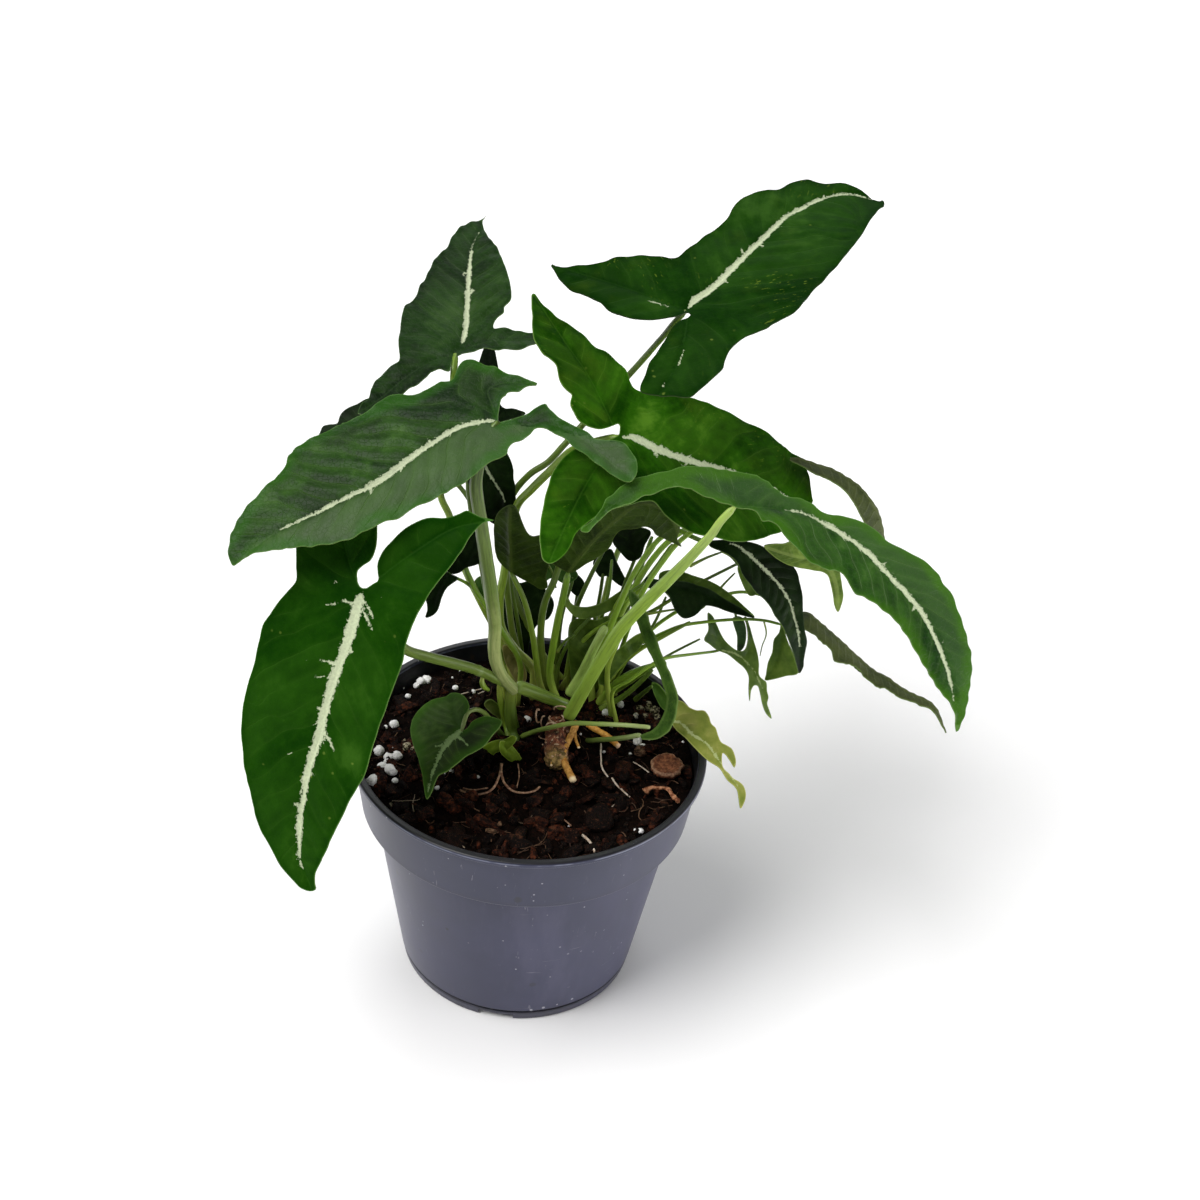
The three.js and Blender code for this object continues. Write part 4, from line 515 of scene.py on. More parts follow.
        out=[[-23.07, 14.31], [-22.9, 9.03], [-22.9, 3.79], [-25.1, 0.24], [-28.17, -3.28], [-31.69, -8.1], [-34.34, -12.07], [-35.83, -18.28], [-37.41, -25.28], [-39.62, -32.31], [-41.1, -39.31], [-41.62, -46.38], [-41.1, -53.45], [-40.24, -60.45], [-38.72, -67.48], [-37.41, -73.66], [-35.83, -79.79], [-33.45, -85.07], [-30.38, -90.34], [-27.31, -95.62], [-23.79, -100], [-20.69, -102.69], [-17.93, -103.72], [-16.03, -102.86], [-16.48, -100.93], [-16.48, -98.28], [-14.97, -94.76], [-12.34, -89.48], [-9.66, -83.31], [-6.62, -76.72], [-4, -71.45], [-1.34, -67.03], [0.41, -63.97], [2.62, -56.9], [4.83, -49.9], [7, -43.31], [8.76, -38.03], [11.41, -30.97], [13.62, -24.83], [14.66, -18.66], [17.14, -12.07], [20.66, -5.03], [25.03, 2], [29.45, 7.24], [32.97, 12.14], [36.48, 17.83], [39.55, 21.79], [41.38, 23.28], [44.83, 23.97], [42.76, 24.66], [40.34, 25.17], [37.34, 26.69], [35.59, 27.41], [32.97, 26.21], [28.55, 24.86], [22.41, 24.86], [17.14, 22.69], [13.62, 20.48], [10.1, 16.97], [6.59, 13], [4.83, 9.03], [4.83, 5.52], [5, 3.31], [3.07, 2], [0.52, 0.52], [-1.34, 1.14], [-2.41, 3.79], [-2.21, 6.41], [-0.45, 8.17], [2.62, 10.34], [4.38, 14.31], [5, 19.59], [4.83, 24.14], [2.07, 28.97], [-2.07, 32.07], [-6.9, 33.1], [-12.41, 31.72], [-17.24, 28.28], [-21.03, 23.45], [-22.76, 18.62]],
        mid=[[0, 0], [-0.69, -2.07], [-2.21, -5.86], [-4.83, -15.52], [-7.52, -23.52], [-10.14, -30.55], [-12.34, -37.59], [-14.1, -44.62], [-15.41, -50.76], [-17.59, -56.9], [-19.83, -64.83], [-20.86, -71.9], [-22, -78.97], [-22.28, -85.97], [-22, -93], [-17.93, -102.76]],
        ribs=[[[-0.34, 0.34], [-4.14, 6.9], [-6.55, 15.52], [-7.59, 24.14], [-6.9, 32.41]], [[0.69, 0.34], [9.66, 7.59], [21.03, 15.52], [31.38, 21.38], [44.14, 23.97]]],
    ),
    "leaf_06": dict(
        deg=5, under=0, px=[735, 506.5], J=[57.4, -14, 198.45], n=[0.287, -0.5, 0.817],
        co=[[57.387, 26.252, -1.274, 0.314, 0.684, 0.019, 0.049, -0.003, 0.066, -0.166, 0.019, 0.016, 0.178, 0.366, 0.121, 0.004, 0.037, 0.066, 0.072, 0.09, 0.039], [-14.201, 6.756, 27.669, 0.51, 0.966, 1.186, 0.082, -0.484, 0.21, -1.904, 0.183, 0.429, 2.163, 5.233, 2.039, 0.029, 0.474, 1.059, 1.143, 1.342, 0.616], [198.577, -1.607, 13.102, -0.292, -0.215, 0.008, -0.048, 0.369, -0.029, 1.311, -0.114, -0.256, -1.333, -3.171, -1.213, -0.018, -0.293, -0.659, -0.723, -0.836, -0.378]],
        out=[[-12.48, 13.79], [-4.83, 12.38], [2.28, 11.31], [7.21, 10.28], [9.31, 9.21], [11.45, 7.79], [14.97, 4.66], [18.48, 2.86], [22.69, 2.52], [26.21, 0.76], [29.03, -1.34], [32.55, -3.1], [37.48, -4.17], [43.1, -5.59], [47.31, -7.69], [51.55, -11.55], [55.07, -13.62], [60.69, -16.83], [65.62, -19.66], [68.45, -22.45], [71.24, -26.72], [74.07, -29.83], [75.48, -34.07], [77.59, -39.69], [79.66, -45.34], [81.1, -50.97], [81.24, -56.59], [80.76, -62.24], [79.66, -67.86], [78.28, -73.48], [76.31, -77.83], [76.03, -75.59], [74.76, -69.97], [72.66, -66.79], [69.86, -62.93], [66.31, -57.31], [62.76, -51.66], [59.28, -45.34], [55.76, -40.41], [51.55, -36.52], [47.31, -33], [43.79, -31.21], [41, -30.17], [39.24, -27.76], [37.48, -24.93], [35.38, -22.83], [30.45, -22.1], [28.28, -20.69], [25.52, -19.28], [23.41, -17.17], [19.17, -12.93], [16.34, -9.83], [14.59, -6.97], [11.45, -5.59], [9.31, -5.59], [7.93, -3.45], [6.9, -1.72], [2.28, -0.86], [0.17, -0.34], [-1.72, 0.34], [-3.97, 0.69], [-5.59, 1.21], [-7.93, 2.41], [-10.72, 3], [-13.59, 5], [-17.59, 6.31], [-21.62, 6.72], [-25.03, 5.55], [-27.9, 4.24], [-31.31, 3.55], [-34.17, 1.86], [-37.03, 0.69], [-40.48, -0.17], [-43.9, -2.17], [-46.76, -5], [-49.03, -7.31], [-50.76, -9.03], [-53.1, -8.72], [-53.34, -7.86], [-50.76, -6.17], [-47.93, -3.28], [-45.9, -0.45], [-44.48, 2.41], [-42.17, 4.14], [-39.9, 6.38], [-37.59, 7.93], [-34.76, 9.28], [-30.76, 10.31], [-27.31, 11.21], [-23.31, 11.9], [-19.31, 13.28]],
        mid=[[0, 0], [5.86, -0.17], [13.79, -0.69], [22.76, -2.07], [27.59, -3.97], [32.76, -7.41], [37.93, -10.17], [41.72, -12.76], [46.55, -17.24], [51.38, -21.9], [55.86, -26.72], [60.34, -31.55], [64.48, -36.72], [67.93, -43.28], [70.69, -49.48], [73.45, -57.07], [75.17, -66.03], [76.31, -77.41]],
        ribs=[[[-0.34, 0.17], [-7.93, 6.38], [-15.52, 10.17], [-25.86, 7.76], [-36.21, 4.31], [-46.55, -2.93], [-52.41, -8.45]]],
    ),
    "leaf_07": dict(
        deg=3, under=1, px=[568, 573], J=[8.6, 14, 150.09], n=[0.1, -0.931, -0.35],
        co=[[8.596, 28.038, -1.729, 0.061, -1.766, 0.111, 0, -0.007, 0.102, -0.008], [14, 2.572, -17.503, 0.006, -0.2, 1.098, -0, -0.001, 0.013, -0.062], [150.09, 1.178, 46.015, 0.003, 0.026, -2.886, 0, -0, -0.006, 0.161]],
        out=[[0, 0], [2.24, 0.21], [6.21, 3.1], [9.1, 4.48], [11.97, 6.48], [14.83, 9.31], [15.97, 12.21], [18.28, 14.66], [22.83, 15.34], [26.83, 16.03], [29.1, 15.07], [30.28, 13.34], [33.1, 11.9], [35.97, 10.48], [39.14, 9.07], [37.69, 11.62], [38.55, 15.07], [38.83, 19.07], [37.14, 22.48], [33.69, 25.07], [31.03, 26.55], [28.28, 27.93], [24.83, 28.97], [20.69, 29.66], [16.21, 28.62], [12.07, 26.55], [8.28, 23.45], [4.14, 19.66], [0, 14.83], [-4.14, 9.66], [-6.55, 5.86], [-5.86, 3.28], [-2.76, 1.38]],
        mid=[[0, 0], [3.45, 5.17], [9.31, 12.07], [16.21, 18.28], [24.83, 24.14], [32.41, 22.41], [37.24, 16.55], [39.14, 9.31]],
        ribs=[],
    ),
    "leaf_08": dict(
        deg=3, under=0, px=[712, 543.5], J=[54.24, 22, 161.01], n=[0.446, -0.651, 0.614],
        co=[[54.234, 28.703, -2.08, 0.61, 0.277, 0.081, 0.168, -0.056, 0.152, -0.008], [21.985, 11.199, 21.806, 1.974, 0.098, 2.063, 0.441, 0.013, 0.314, 0.075], [161.025, -4.438, 19.274, -1.242, 0.533, -0.966, -0.277, 0.155, -0.256, 0.083]],
        out=[[-1.03, 0.52], [3.1, 1.21], [7.59, 0.86], [12.34, 0.52], [15.86, -0.52], [20.07, -2.66], [24.28, -5.48], [27.1, -7.24], [28.97, -9.69], [30, -13.28], [30.86, -17.76], [31.21, -24.14], [31.69, -29.76], [32.59, -33.97], [32.17, -36.79], [31.48, -40.31], [31.34, -42.41], [30, -44.83], [29.03, -42.24], [27.83, -38.21], [25.69, -31.9], [23.59, -27.66], [21.48, -24.83], [20.07, -22], [17.93, -19.21], [15.14, -17.07], [13.03, -14.31], [10.21, -10.76], [8.83, -7.24], [6, -4.41], [2.48, -2.66], [-1.03, -0.86]],
        mid=[[0, 0], [3.1, 0.69], [8.83, -0.86], [13.03, -4.07], [16.55, -7.24], [19.38, -10.07], [22.17, -12.86], [25, -16.72], [27.1, -20.62], [28.17, -24.83], [29.59, -29.83], [30.28, -35.34], [30.17, -44.31]],
        ribs=[],
    ),
    "leaf_09": dict(
        deg=3, under=1, px=[815, 556], J=[86.65, 12, 166.2], n=[0.159, -0.951, -0.264],
        co=[[86.646, 28.014, -5.947, 0.177, -1.528, 0.316, 0.001, -0.02, 0.084, -0.019], [12, 4.743, -12.431, 0.03, -0.332, 0.661, -0, -0.005, 0.02, -0.038], [166.203, -0.267, 41.183, -0.001, 0.277, -2.189, 0.001, 0.006, -0.022, 0.125]],
        out=[[-17.59, 3.45], [-14.03, 4.14], [-10.52, 4.24], [-6.9, 5.52], [-1.72, 3.79], [3.79, 0], [7.93, -3.45], [8.97, -7.59], [9.48, -11.03], [9.83, -13.79], [9.31, -16.55], [7.93, -19.48], [6.72, -17.24], [6.21, -13.79], [5.34, -9.66], [4.31, -6.55], [2.41, -5.34], [-1.03, -4.9], [-5.59, -4.34], [-9.83, -2.93], [-14.03, -0.1]],
        mid=[[0, 0], [-5.17, 0], [-10.69, 1.38], [-17.24, 3.28]],
        ribs=[[[0, 0], [4.48, -3.45], [7.24, -10], [7.93, -18.97]]],
    ),
    "leaf_12": dict(
        deg=3, under=0, px=[722, 650], J=[62.9, 34, 109.96], n=[0.356, -0.814, 0.458],
        co=[[62.899, 30.493, -2.831, 0.508, -0.229, 0.017, 0.009, -0.007, 0.002, -0], [34, 10.716, 13.822, 0.179, 0.166, -0.082, 0.003, 0.002, -0.002, 0.001], [109.959, -4.666, 26.775, -0.078, 0.474, -0.16, -0.001, 0.009, -0.006, 0.001]],
        out=[[-4.83, 12.97], [-3.45, 11.9], [-2.07, 9.07], [-0.34, 5.52], [1.83, 2.41], [5.38, -0.17], [7.59, -0.17], [8.69, 2.07], [8.83, 5.52], [8.28, 9.07], [7.45, 11.21], [8.14, 11.55], [9.17, 9.31], [10.28, 5.52], [11.69, 0.62], [12.55, -4.28], [12.62, -8.52], [13.79, -9.93], [15.17, -10.97], [15.45, -14.14], [15.93, -16.21], [15.52, -18.38], [16.38, -21.03], [17.03, -23.72], [15.17, -21.9], [13.79, -18.38], [13.1, -14.83], [12.24, -12.41], [11, -12.14], [9.93, -13.79], [9.48, -17.66], [9.03, -13.79], [9.17, -9.21], [7.83, -6.41], [5.38, -4.28], [1.83, -1.48], [-1.72, -0.07], [-4.48, 2.07], [-6.24, 3.45], [-4.83, 6.9], [-5.03, 11.03]],
        mid=[[0, 0], [5.52, -1.72], [10.34, -6.21], [13.79, -13.1], [16.9, -23.45]],
        ribs=[[[0, 0.69], [-2.41, 6.21], [-4.66, 12.76]], [[8.28, -2.07], [10, 3.45], [7.93, 11.03]]],
    ),
    "leaf_13": dict(
        deg=3, under=0, px=[783, 625], J=[82.13, 32, 124.09], n=[-0.362, -0.879, 0.31],
        co=[[82.133, 28.232, -3.179, -0.505, -0.233, 0.033, 0.009, 0.01, 0.002, -0], [32, -8.417, 11.205, 0.151, -0.114, -0.115, -0.003, 0.001, 0.003, 0.001], [124.086, 9.089, 28.039, -0.163, -0.595, -0.288, 0.003, 0.013, 0.012, 0.003]],
        out=[[-0.69, 0.45], [-1.21, -2.41], [-3, -4.83], [-3.72, -9.38], [-5.1, -12.9], [-5.86, -17.14], [-6.21, -18.97], [-3, -18.62], [1.21, -17.48], [5.34, -16.55], [4.66, -13.45], [3.28, -9.31], [1.55, -5.17], [0.52, -1.72]],
        mid=[[0, 0], [-0.69, -5.17], [-2.41, -12.07], [-5.86, -18.79]],
        ribs=[],
    ),
    "leaf_14": dict(
        deg=3, under=0, px=[650, 582], J=[35.66, 26, 141.1], n=[0.201, -0.755, 0.624],
        co=[[35.658, 28.861, -2.44, 0.268, 0.053, -0.006, 0.003, 0.001, 0, -0], [26, 6.496, 17.95, 0.06, 0.184, 0.047, 0.001, 0.002, 0.001, 0], [141.099, -1.451, 22.501, -0.013, 0.205, 0.059, -0, 0.002, 0.001, 0]],
        out=[[-1.38, 1.72], [1.72, 1.03], [4.83, 0.69], [9.07, 0.41], [13.1, 0], [16.1, -1.03], [21.03, -2.76], [25.97, -5.93], [31.59, -9.1], [36.21, -12.34], [31.59, -11.55], [26.66, -10.17], [22.41, -8.62], [18.97, -8.28], [17.24, -10], [15.17, -11.72], [11.72, -12.59], [8.97, -10.34], [7.24, -6.9], [6.21, -4.31], [2.07, -2.76], [-1.72, -1.38]],
        mid=[[0, 0], [8.62, -1.38], [17.24, -3.45], [25.86, -7.24], [35.86, -12.24]],
        ribs=[],
    ),
    "leaf_15": dict(
        deg=3, under=0, px=[657, 728], J=[41.94, -6, 105.36], n=[0.227, -0.589, 0.775],
        co=[[41.943, 28.613, -2.085, 0.256, 0.414, 0.011, 0.079, -0.188, 0.087, -0.003], [-5.991, 4.688, 25.099, 1.77, -1.532, 1.608, -0.213, -0.769, -0.162, 0.063], [105.356, -0.607, 16.311, -1.382, 1.535, -0.647, 0.17, 0.689, -0.051, 0.042]],
        out=[[4.83, 9.31], [6.62, 9.38], [8.62, 8.97], [11.03, 7], [13.38, 6], [16.14, 5.79], [17.72, 3.79], [18.52, 1.45], [20.1, -0.14], [20.9, -2.52], [22.07, -4.9], [24.07, -6.07], [25.66, -7.24], [26.83, -10.03], [27.1, -12], [26.62, -13.66], [25.24, -11.62], [23.66, -9.24], [22.66, -8.62], [22.34, -10.34], [22.55, -13.21], [23.21, -14.38], [24.79, -15.79], [26.21, -17.31], [28.41, -18.55], [29.79, -19.93], [30.59, -22.31], [30.38, -24.69], [29.59, -26.66], [28.79, -27.83], [28.14, -24.28], [27.72, -21.52], [26.55, -19.86], [24.62, -18.41], [23.17, -16.52], [22.07, -14.69], [20.9, -13.45], [17.72, -11.41], [14.97, -9.03], [12.17, -6.28], [9.41, -3.31], [6.66, -0.9], [5.17, 1.38], [4.48, 5.52]],
        mid=[[-0.69, -0.34], [3.79, 2.07], [7.93, 1.83], [10.59, -0.14], [12.59, -2.52], [14.55, -4.14], [16.9, -5.17], [19.66, -8.28], [22.24, -12.41], [24.48, -16.21], [27.93, -20], [28.79, -27.24]],
        ribs=[[[14.48, -3.45], [18.97, -3.45], [23.1, -6.9], [26.55, -13.1]]],
    ),
    "leaf_16": dict(
        deg=3, under=0, px=[461.5, 731], J=[-21.44, -16, 105.14], n=[-0.269, -0.349, 0.898],
        co=[[-21.432, 28.542, -3.822, -0.497, 1.144, -0.307, 0.195, -0.194, 0.437, 0.047], [-16.045, -3.839, 33.234, 2.448, -2.199, 3.342, -0.496, 0.73, -2.601, -0.547], [105.173, 6.257, 9.082, -2.028, 1.52, -1.507, 0.423, -0.387, 2.005, 0.728]],
        out=[[-11.93, -23.55], [-12.97, -18.86], [-13.41, -15.34], [-14.72, -10.07], [-16.48, -4.83], [-17.38, 0.48], [-16.31, 4], [-13.86, 7.52], [-10.34, 10.17], [-5.48, 11.72], [-3.31, 13.07], [-0.21, 12.62], [1.97, 10.59], [2.86, 7.93], [1.55, 5.31], [0.41, 2.24], [0.28, 0.34], [1.97, 1.03], [3.72, 3.1], [8.14, 4.9], [11.66, 4.48], [13.86, 3.55], [13.41, 1.79], [10.79, -1.72], [8.14, -5.24], [4.62, -7.45], [1.97, -8.76], [-1.55, -11.38], [-5.07, -14.03], [-7.69, -15.34], [-9, -18], [-10.34, -21.52]],
        mid=[[0, 0], [-0.66, -0.34], [-4.17, -3.45], [-6.83, -7], [-9, -11.83], [-10.34, -15.34], [-11.83, -23.1]],
        ribs=[[[-0.17, 0.69], [-2.24, 4.48], [-3.28, 8.62], [-3.28, 12.41]], [[0.52, 0], [4.66, 1.03], [8.79, 2.76], [13.28, 3.45]]],
    ),
    "leaf_18": dict(
        deg=3, under=0, px=[494, 426], J=[-19.64, 44, 184.89], n=[-0.122, -0.44, 0.889],
        co=[[-19.644, 28.416, -3.369, -0.121, 0.697, -0.138, 0.009, 0.011, 0.088, -0.031], [43.99, -0.858, 29.539, 0.097, -0.426, 1.572, -0.099, -0.41, -0.106, 0.37], [184.896, 3.326, 15.314, -0.07, 0.187, -0.167, 0.06, 0.247, 0.044, -0.119]],
        out=[[-1.9, 28.62], [0.17, 26.21], [1.03, 22.76], [1.72, 18.62], [1.9, 12.41], [2.41, 6.9], [4.14, 5.69], [6.21, 5.69], [8.97, 5], [11.03, 4.14], [8.62, 2.76], [4.83, 1.9], [2.41, 1.03], [0.69, -1.38], [-1.38, -2.76], [-4.83, -3.45], [-8.28, -1.38], [-9.66, 2.76], [-8.97, 8.97], [-7.24, 15.17], [-5.17, 21.38], [-3.62, 26.21]],
        mid=[[0, 0], [-1.38, 8.97], [-2.41, 17.59], [-1.9, 27.93]],
        ribs=[],
    ),
    "leaf_19": dict(
        deg=3, under=0, px=[472, 436], J=[-25.79, 33, 186.95], n=[0.309, -0.835, 0.454],
        co=[[-25.788, 27.234, -2.183, 0.341, -0.121, -0.035, 0.011, -0.027, 0.03, -0], [32.998, 8.484, 13.314, 0.205, -0.329, 0.489, -0.002, -0.05, 0.046, -0.013], [186.954, -2.26, 24.354, -0.086, 0.594, -0.445, 0.002, 0.039, -0.061, 0.045]],
        out=[[-0.69, 2.07], [4.14, 1.38], [8.28, -1.38], [11.03, -4.14], [12.41, -6.66], [13.24, -8.41], [14.14, -11.59], [14.21, -14.48], [14.83, -17.24], [14.9, -20.34], [15, -22.14], [14.48, -24.83], [13.1, -27.59], [10.69, -29.66], [7.59, -30.34], [4.83, -28.28], [2.41, -24.83], [0.34, -20.69], [-1.72, -15.17], [-3.45, -8.97], [-3.45, -3.1]],
        mid=[[0, 0], [2.76, -6.55], [5.17, -11.72], [7.93, -16.21], [11.03, -20.69], [12.07, -28.28]],
        ribs=[],
    ),
    "leaf_20": dict(
        deg=3, under=1, px=[511, 572], J=[-10.41, 24, 141.67], n=[-0.207, -0.909, -0.362],
        co=[[-10.411, 29.303, -0.521, -0.659, -1.889, 0.035, 0.014, 0.081, 0.115, -0.003], [24, -10.815, -18.868, 0.243, 1.124, 1.222, -0.005, -0.037, -0.092, -0.073], [141.669, 10.448, 47.738, -0.234, -1.747, -3.093, 0.004, 0.048, 0.166, 0.184]],
        out=[[-4.83, 20], [-2.07, 22.41], [0.69, 22.93], [2.41, 20.55], [3.66, 17.38], [6.14, 13.1], [7.55, 12.28], [10, 12.41], [12.76, 9.31], [13.79, 5.52], [13.1, 2.07], [12.07, -1.72], [12.41, -5.52], [10.34, -6.21], [6.55, -3.79], [2.76, -1.72], [-1.03, 0.69], [-3.79, 3.45], [-5.31, 6.83], [-5.86, 11.72], [-5.86, 16.21]],
        mid=[[0, 0.34], [0, 5.86], [-0.34, 12.76], [-0.34, 22.07]],
        ribs=[],
    ),
    "leaf_21": dict(
        deg=3, under=0, px=[465, 568], J=[-24.49, 10, 151.31], n=[-0.304, -0.862, 0.406],
        co=[[-24.494, 28.553, -2.124, -0.429, -0.154, 0.014, 0.006, 0.005, 0.001, -0], [10, -6.572, 12.601, 0.099, -0.146, -0.082, -0.001, 0.002, 0.002, 0.001], [151.315, 7.45, 25.184, -0.112, -0.426, -0.164, 0.002, 0.007, 0.005, 0.001]],
        out=[[5.86, 11.03], [7.93, 9.31], [8.62, 5.52], [7.24, 2.76], [3.79, 1.03], [0.34, 0], [-1.72, -1.55], [-4.48, -2.07], [-6.55, 0], [-5.86, 4.14], [-3.1, 8.28], [0.34, 11.03], [3.45, 12.76]],
        mid=[[0, 0], [1.72, 4.48], [5.52, 10.69]],
        ribs=[],
    ),
    "leaf_22": dict(
        deg=3, under=0, px=[445, 572], J=[-30.13, 2, 154.62], n=[-0.304, -0.862, 0.406],
        co=[[-30.133, 28.275, -2.054, -0.426, -0.153, 0.013, 0.006, 0.005, 0.001, -0], [2, -6.499, 12.429, 0.098, -0.145, -0.081, -0.001, 0.002, 0.002, 0.001], [154.621, 7.395, 24.872, -0.111, -0.423, -0.162, 0.002, 0.007, 0.005, 0.001]],
        out=[[1.52, -0.34], [4.66, -2.07], [0.86, -5.34], [-0.97, -8.62], [-2.76, -13.45], [-4.48, -15.17], [-6.62, -15.72], [-6.1, -13], [-6.55, -9.66], [-8.28, -6.21], [-8.62, -2.07], [-5.86, 1.38], [-1.72, 2.07]],
        mid=[[0.34, -0.34], [-2.41, -6.21], [-6.21, -15.34]],
        ribs=[],
    ),
    "leaf_23": dict(
        deg=3, under=0, px=[412, 446], J=[-47.25, 52, 169.79], n=[-0.247, -0.386, 0.889],
        co=[[-47.244, 29.533, -4.45, -0.391, 0.958, -0.136, 0.088, -0.092, 0.049, -0.006], [51.994, -3.806, 33.311, 1.141, -0.96, 1.039, -0.13, 0.258, -0.13, 0.037], [169.789, 5.22, 13.558, -0.717, 0.363, 0.351, 0.086, -0.081, 0.018, 0.013]],
        out=[[-15.66, 16], [-18.83, 14.21], [-21.59, 12.9], [-23.59, 11.21], [-24.83, 9.31], [-25.52, 7.41], [-28.28, 7], [-30.52, 6.45], [-31.97, 4.07], [-34.14, 1.03], [-34.48, -3.1], [-32.41, -7.24], [-27.59, -10.34], [-21.38, -11.72], [-14.48, -11.72], [-7.59, -9.66], [-1.38, -5.52], [2.07, -0.34], [2.76, 5.52], [0.69, 11.03], [-3.45, 15.17], [-9.31, 16.9]],
        mid=[[0, 0], [-7.59, -0.69], [-16.21, -0.34], [-24.83, 0.34], [-33.1, -0.34]],
        ribs=[],
    ),
    "leaf_24": dict(
        deg=5, under=0, px=[650, 469], J=[32.9, 68, 159.13], n=[0.392, 0.094, 0.915],
        co=[[32.895, 30.213, -1.61, 1.07, 2.071, -0.085, 0.409, 1.072, 0.966, 0.151, -0.132, -0.563, -0.663, -0.208, -0.014, 0.131, 0.607, 1.04, 0.754, 0.149, -0.026], [67.899, 22.594, 59.871, 1.126, 3.385, 6.236, 6.492, 18.674, 18.198, 6.426, -3.372, -11.656, -12.313, -1.44, 2.636, 1.328, 6.2, 10.407, 5.697, -2.17, -2.132], [159.19, -10.732, -1.639, -0.503, -0.51, -1.244, -4.046, -11.352, -10.784, -3.54, 2.135, 7.399, 8.003, 1.35, -1.385, -0.82, -3.739, -6.088, -3.012, 1.7, 1.423]],
        out=[[0, 20.34], [3.45, 18.28], [6.21, 14.14], [13.79, 14.14], [24.14, 12.07], [34.48, 7.93], [43.1, 3.1], [50, -3.1], [51.72, -6.21], [46.55, -10.69], [37.93, -14.83], [27.59, -16.9], [18.97, -15.52], [13.1, -12.76], [10.34, -14.14], [7.59, -17.59], [4.14, -18.97], [1.38, -16.21], [0.69, -10.69], [2.07, -5.86], [0, -2.41], [-1.72, -0.34], [0, 2.41], [-0.69, 8.28], [-1.72, 15.17]],
        mid=[[0, 0], [13.79, -0.34], [31.03, -1.72], [51.03, -5.86]],
        ribs=[[[0, 0.34], [1.72, 8.28], [0, 19.66]], [[0, -0.34], [3.45, -7.24], [4.14, -18.28]]],
    ),
    "leaf_25": dict(
        deg=4, under=0, px=[460, 443], J=[-33.39, 76, 158.13], n=[-0.516, -0.022, 0.856],
        co=[[-33.384, 31.939, -6.339, -1.242, 2.59, -0.719, 0.498, -0.999, 0.896, -0.241, -0.107, 0.341, -0.474, 0.315, -0.06], [75.923, -19.682, 59.346, 1.965, -4.683, 7.179, -3.971, 8.457, -6.53, 2.43, -0.426, 0.305, 1.44, -2.292, 1.022], [158.18, 14.849, -0.676, -1.272, 1.798, -1.857, 2.416, -4.935, 3.654, -1.111, 0.248, -0.32, -0.465, 0.941, -0.407]],
        out=[[-1.72, 13.45], [-0.69, 10], [-2.76, 5.86], [-8.28, 5.17], [-17.24, 3.79], [-27.59, 0.69], [-37.93, -3.1], [-46.55, -9.31], [-51.03, -16.21], [-44.83, -19.66], [-34.48, -19.66], [-22.41, -17.59], [-12.07, -14.14], [-5.17, -10], [-0.69, -8.62], [2.76, -10], [5.52, -7.93], [4.83, -4.48], [2.07, -2.41], [0, 0], [2.07, 3.79], [2.76, 8.62], [1.38, 12.07]],
        mid=[[0, 0], [-13.79, -3.1], [-31.03, -8.62], [-50, -15.86]],
        ribs=[[[0, 0.34], [0, 6.21], [-1.03, 12.41]], [[0.34, -0.34], [2.07, -4.14], [4.83, -7.59]]],
    ),
    "leaf_26": dict(
        deg=4, under=0, px=[700, 298], J=[44.35, 88, 215.34], n=[-0.085, -0.183, 0.979],
        co=[[44.35, 28.917, -1.416, -0.139, 1.245, -0.028, 0.046, 0.033, 0.224, 0.06, -0.001, 0.033, -0.02, 0.051, -0.019], [87.921, -1.968, 43.735, 0.754, -1.14, 2.791, 0.072, 0.947, 2.249, 1.574, -0.039, 0.193, -0.833, -0.27, -0.042], [215.378, 3.739, 10.394, -0.386, 0.514, 0.038, -0.032, -0.431, -1.117, -0.646, 0.02, -0.094, 0.451, 0.165, 0.09]],
        out=[[-3.45, 12.41], [1.38, 15.86], [8.62, 20.69], [15.52, 26.21], [22.41, 29.66], [31.03, 32.76], [39.66, 32.41], [48.28, 31.72], [54.48, 31.03], [51.72, 26.21], [47.59, 20], [42.07, 13.79], [35.86, 6.9], [31.03, 1.38], [24.14, -2.76], [15.52, -6.21], [9.66, -6.9], [6.21, -11.03], [2.07, -14.48], [-2.07, -12.41], [-3.45, -8.28], [-2.07, -3.45], [0, 0], [-3.45, 2.07], [-8.28, 3.45], [-12.41, 6.21], [-11.03, 9.66], [-6.9, 8.97]],
        mid=[[0, 0], [13.79, 9.66], [31.03, 21.72], [53.45, 30.69]],
        ribs=[[[-0.34, 0.34], [-5.17, 4.48], [-11.72, 6.9]], [[0.34, -0.69], [1.03, -5.86], [-0.69, -12.41]]],
    ),
}
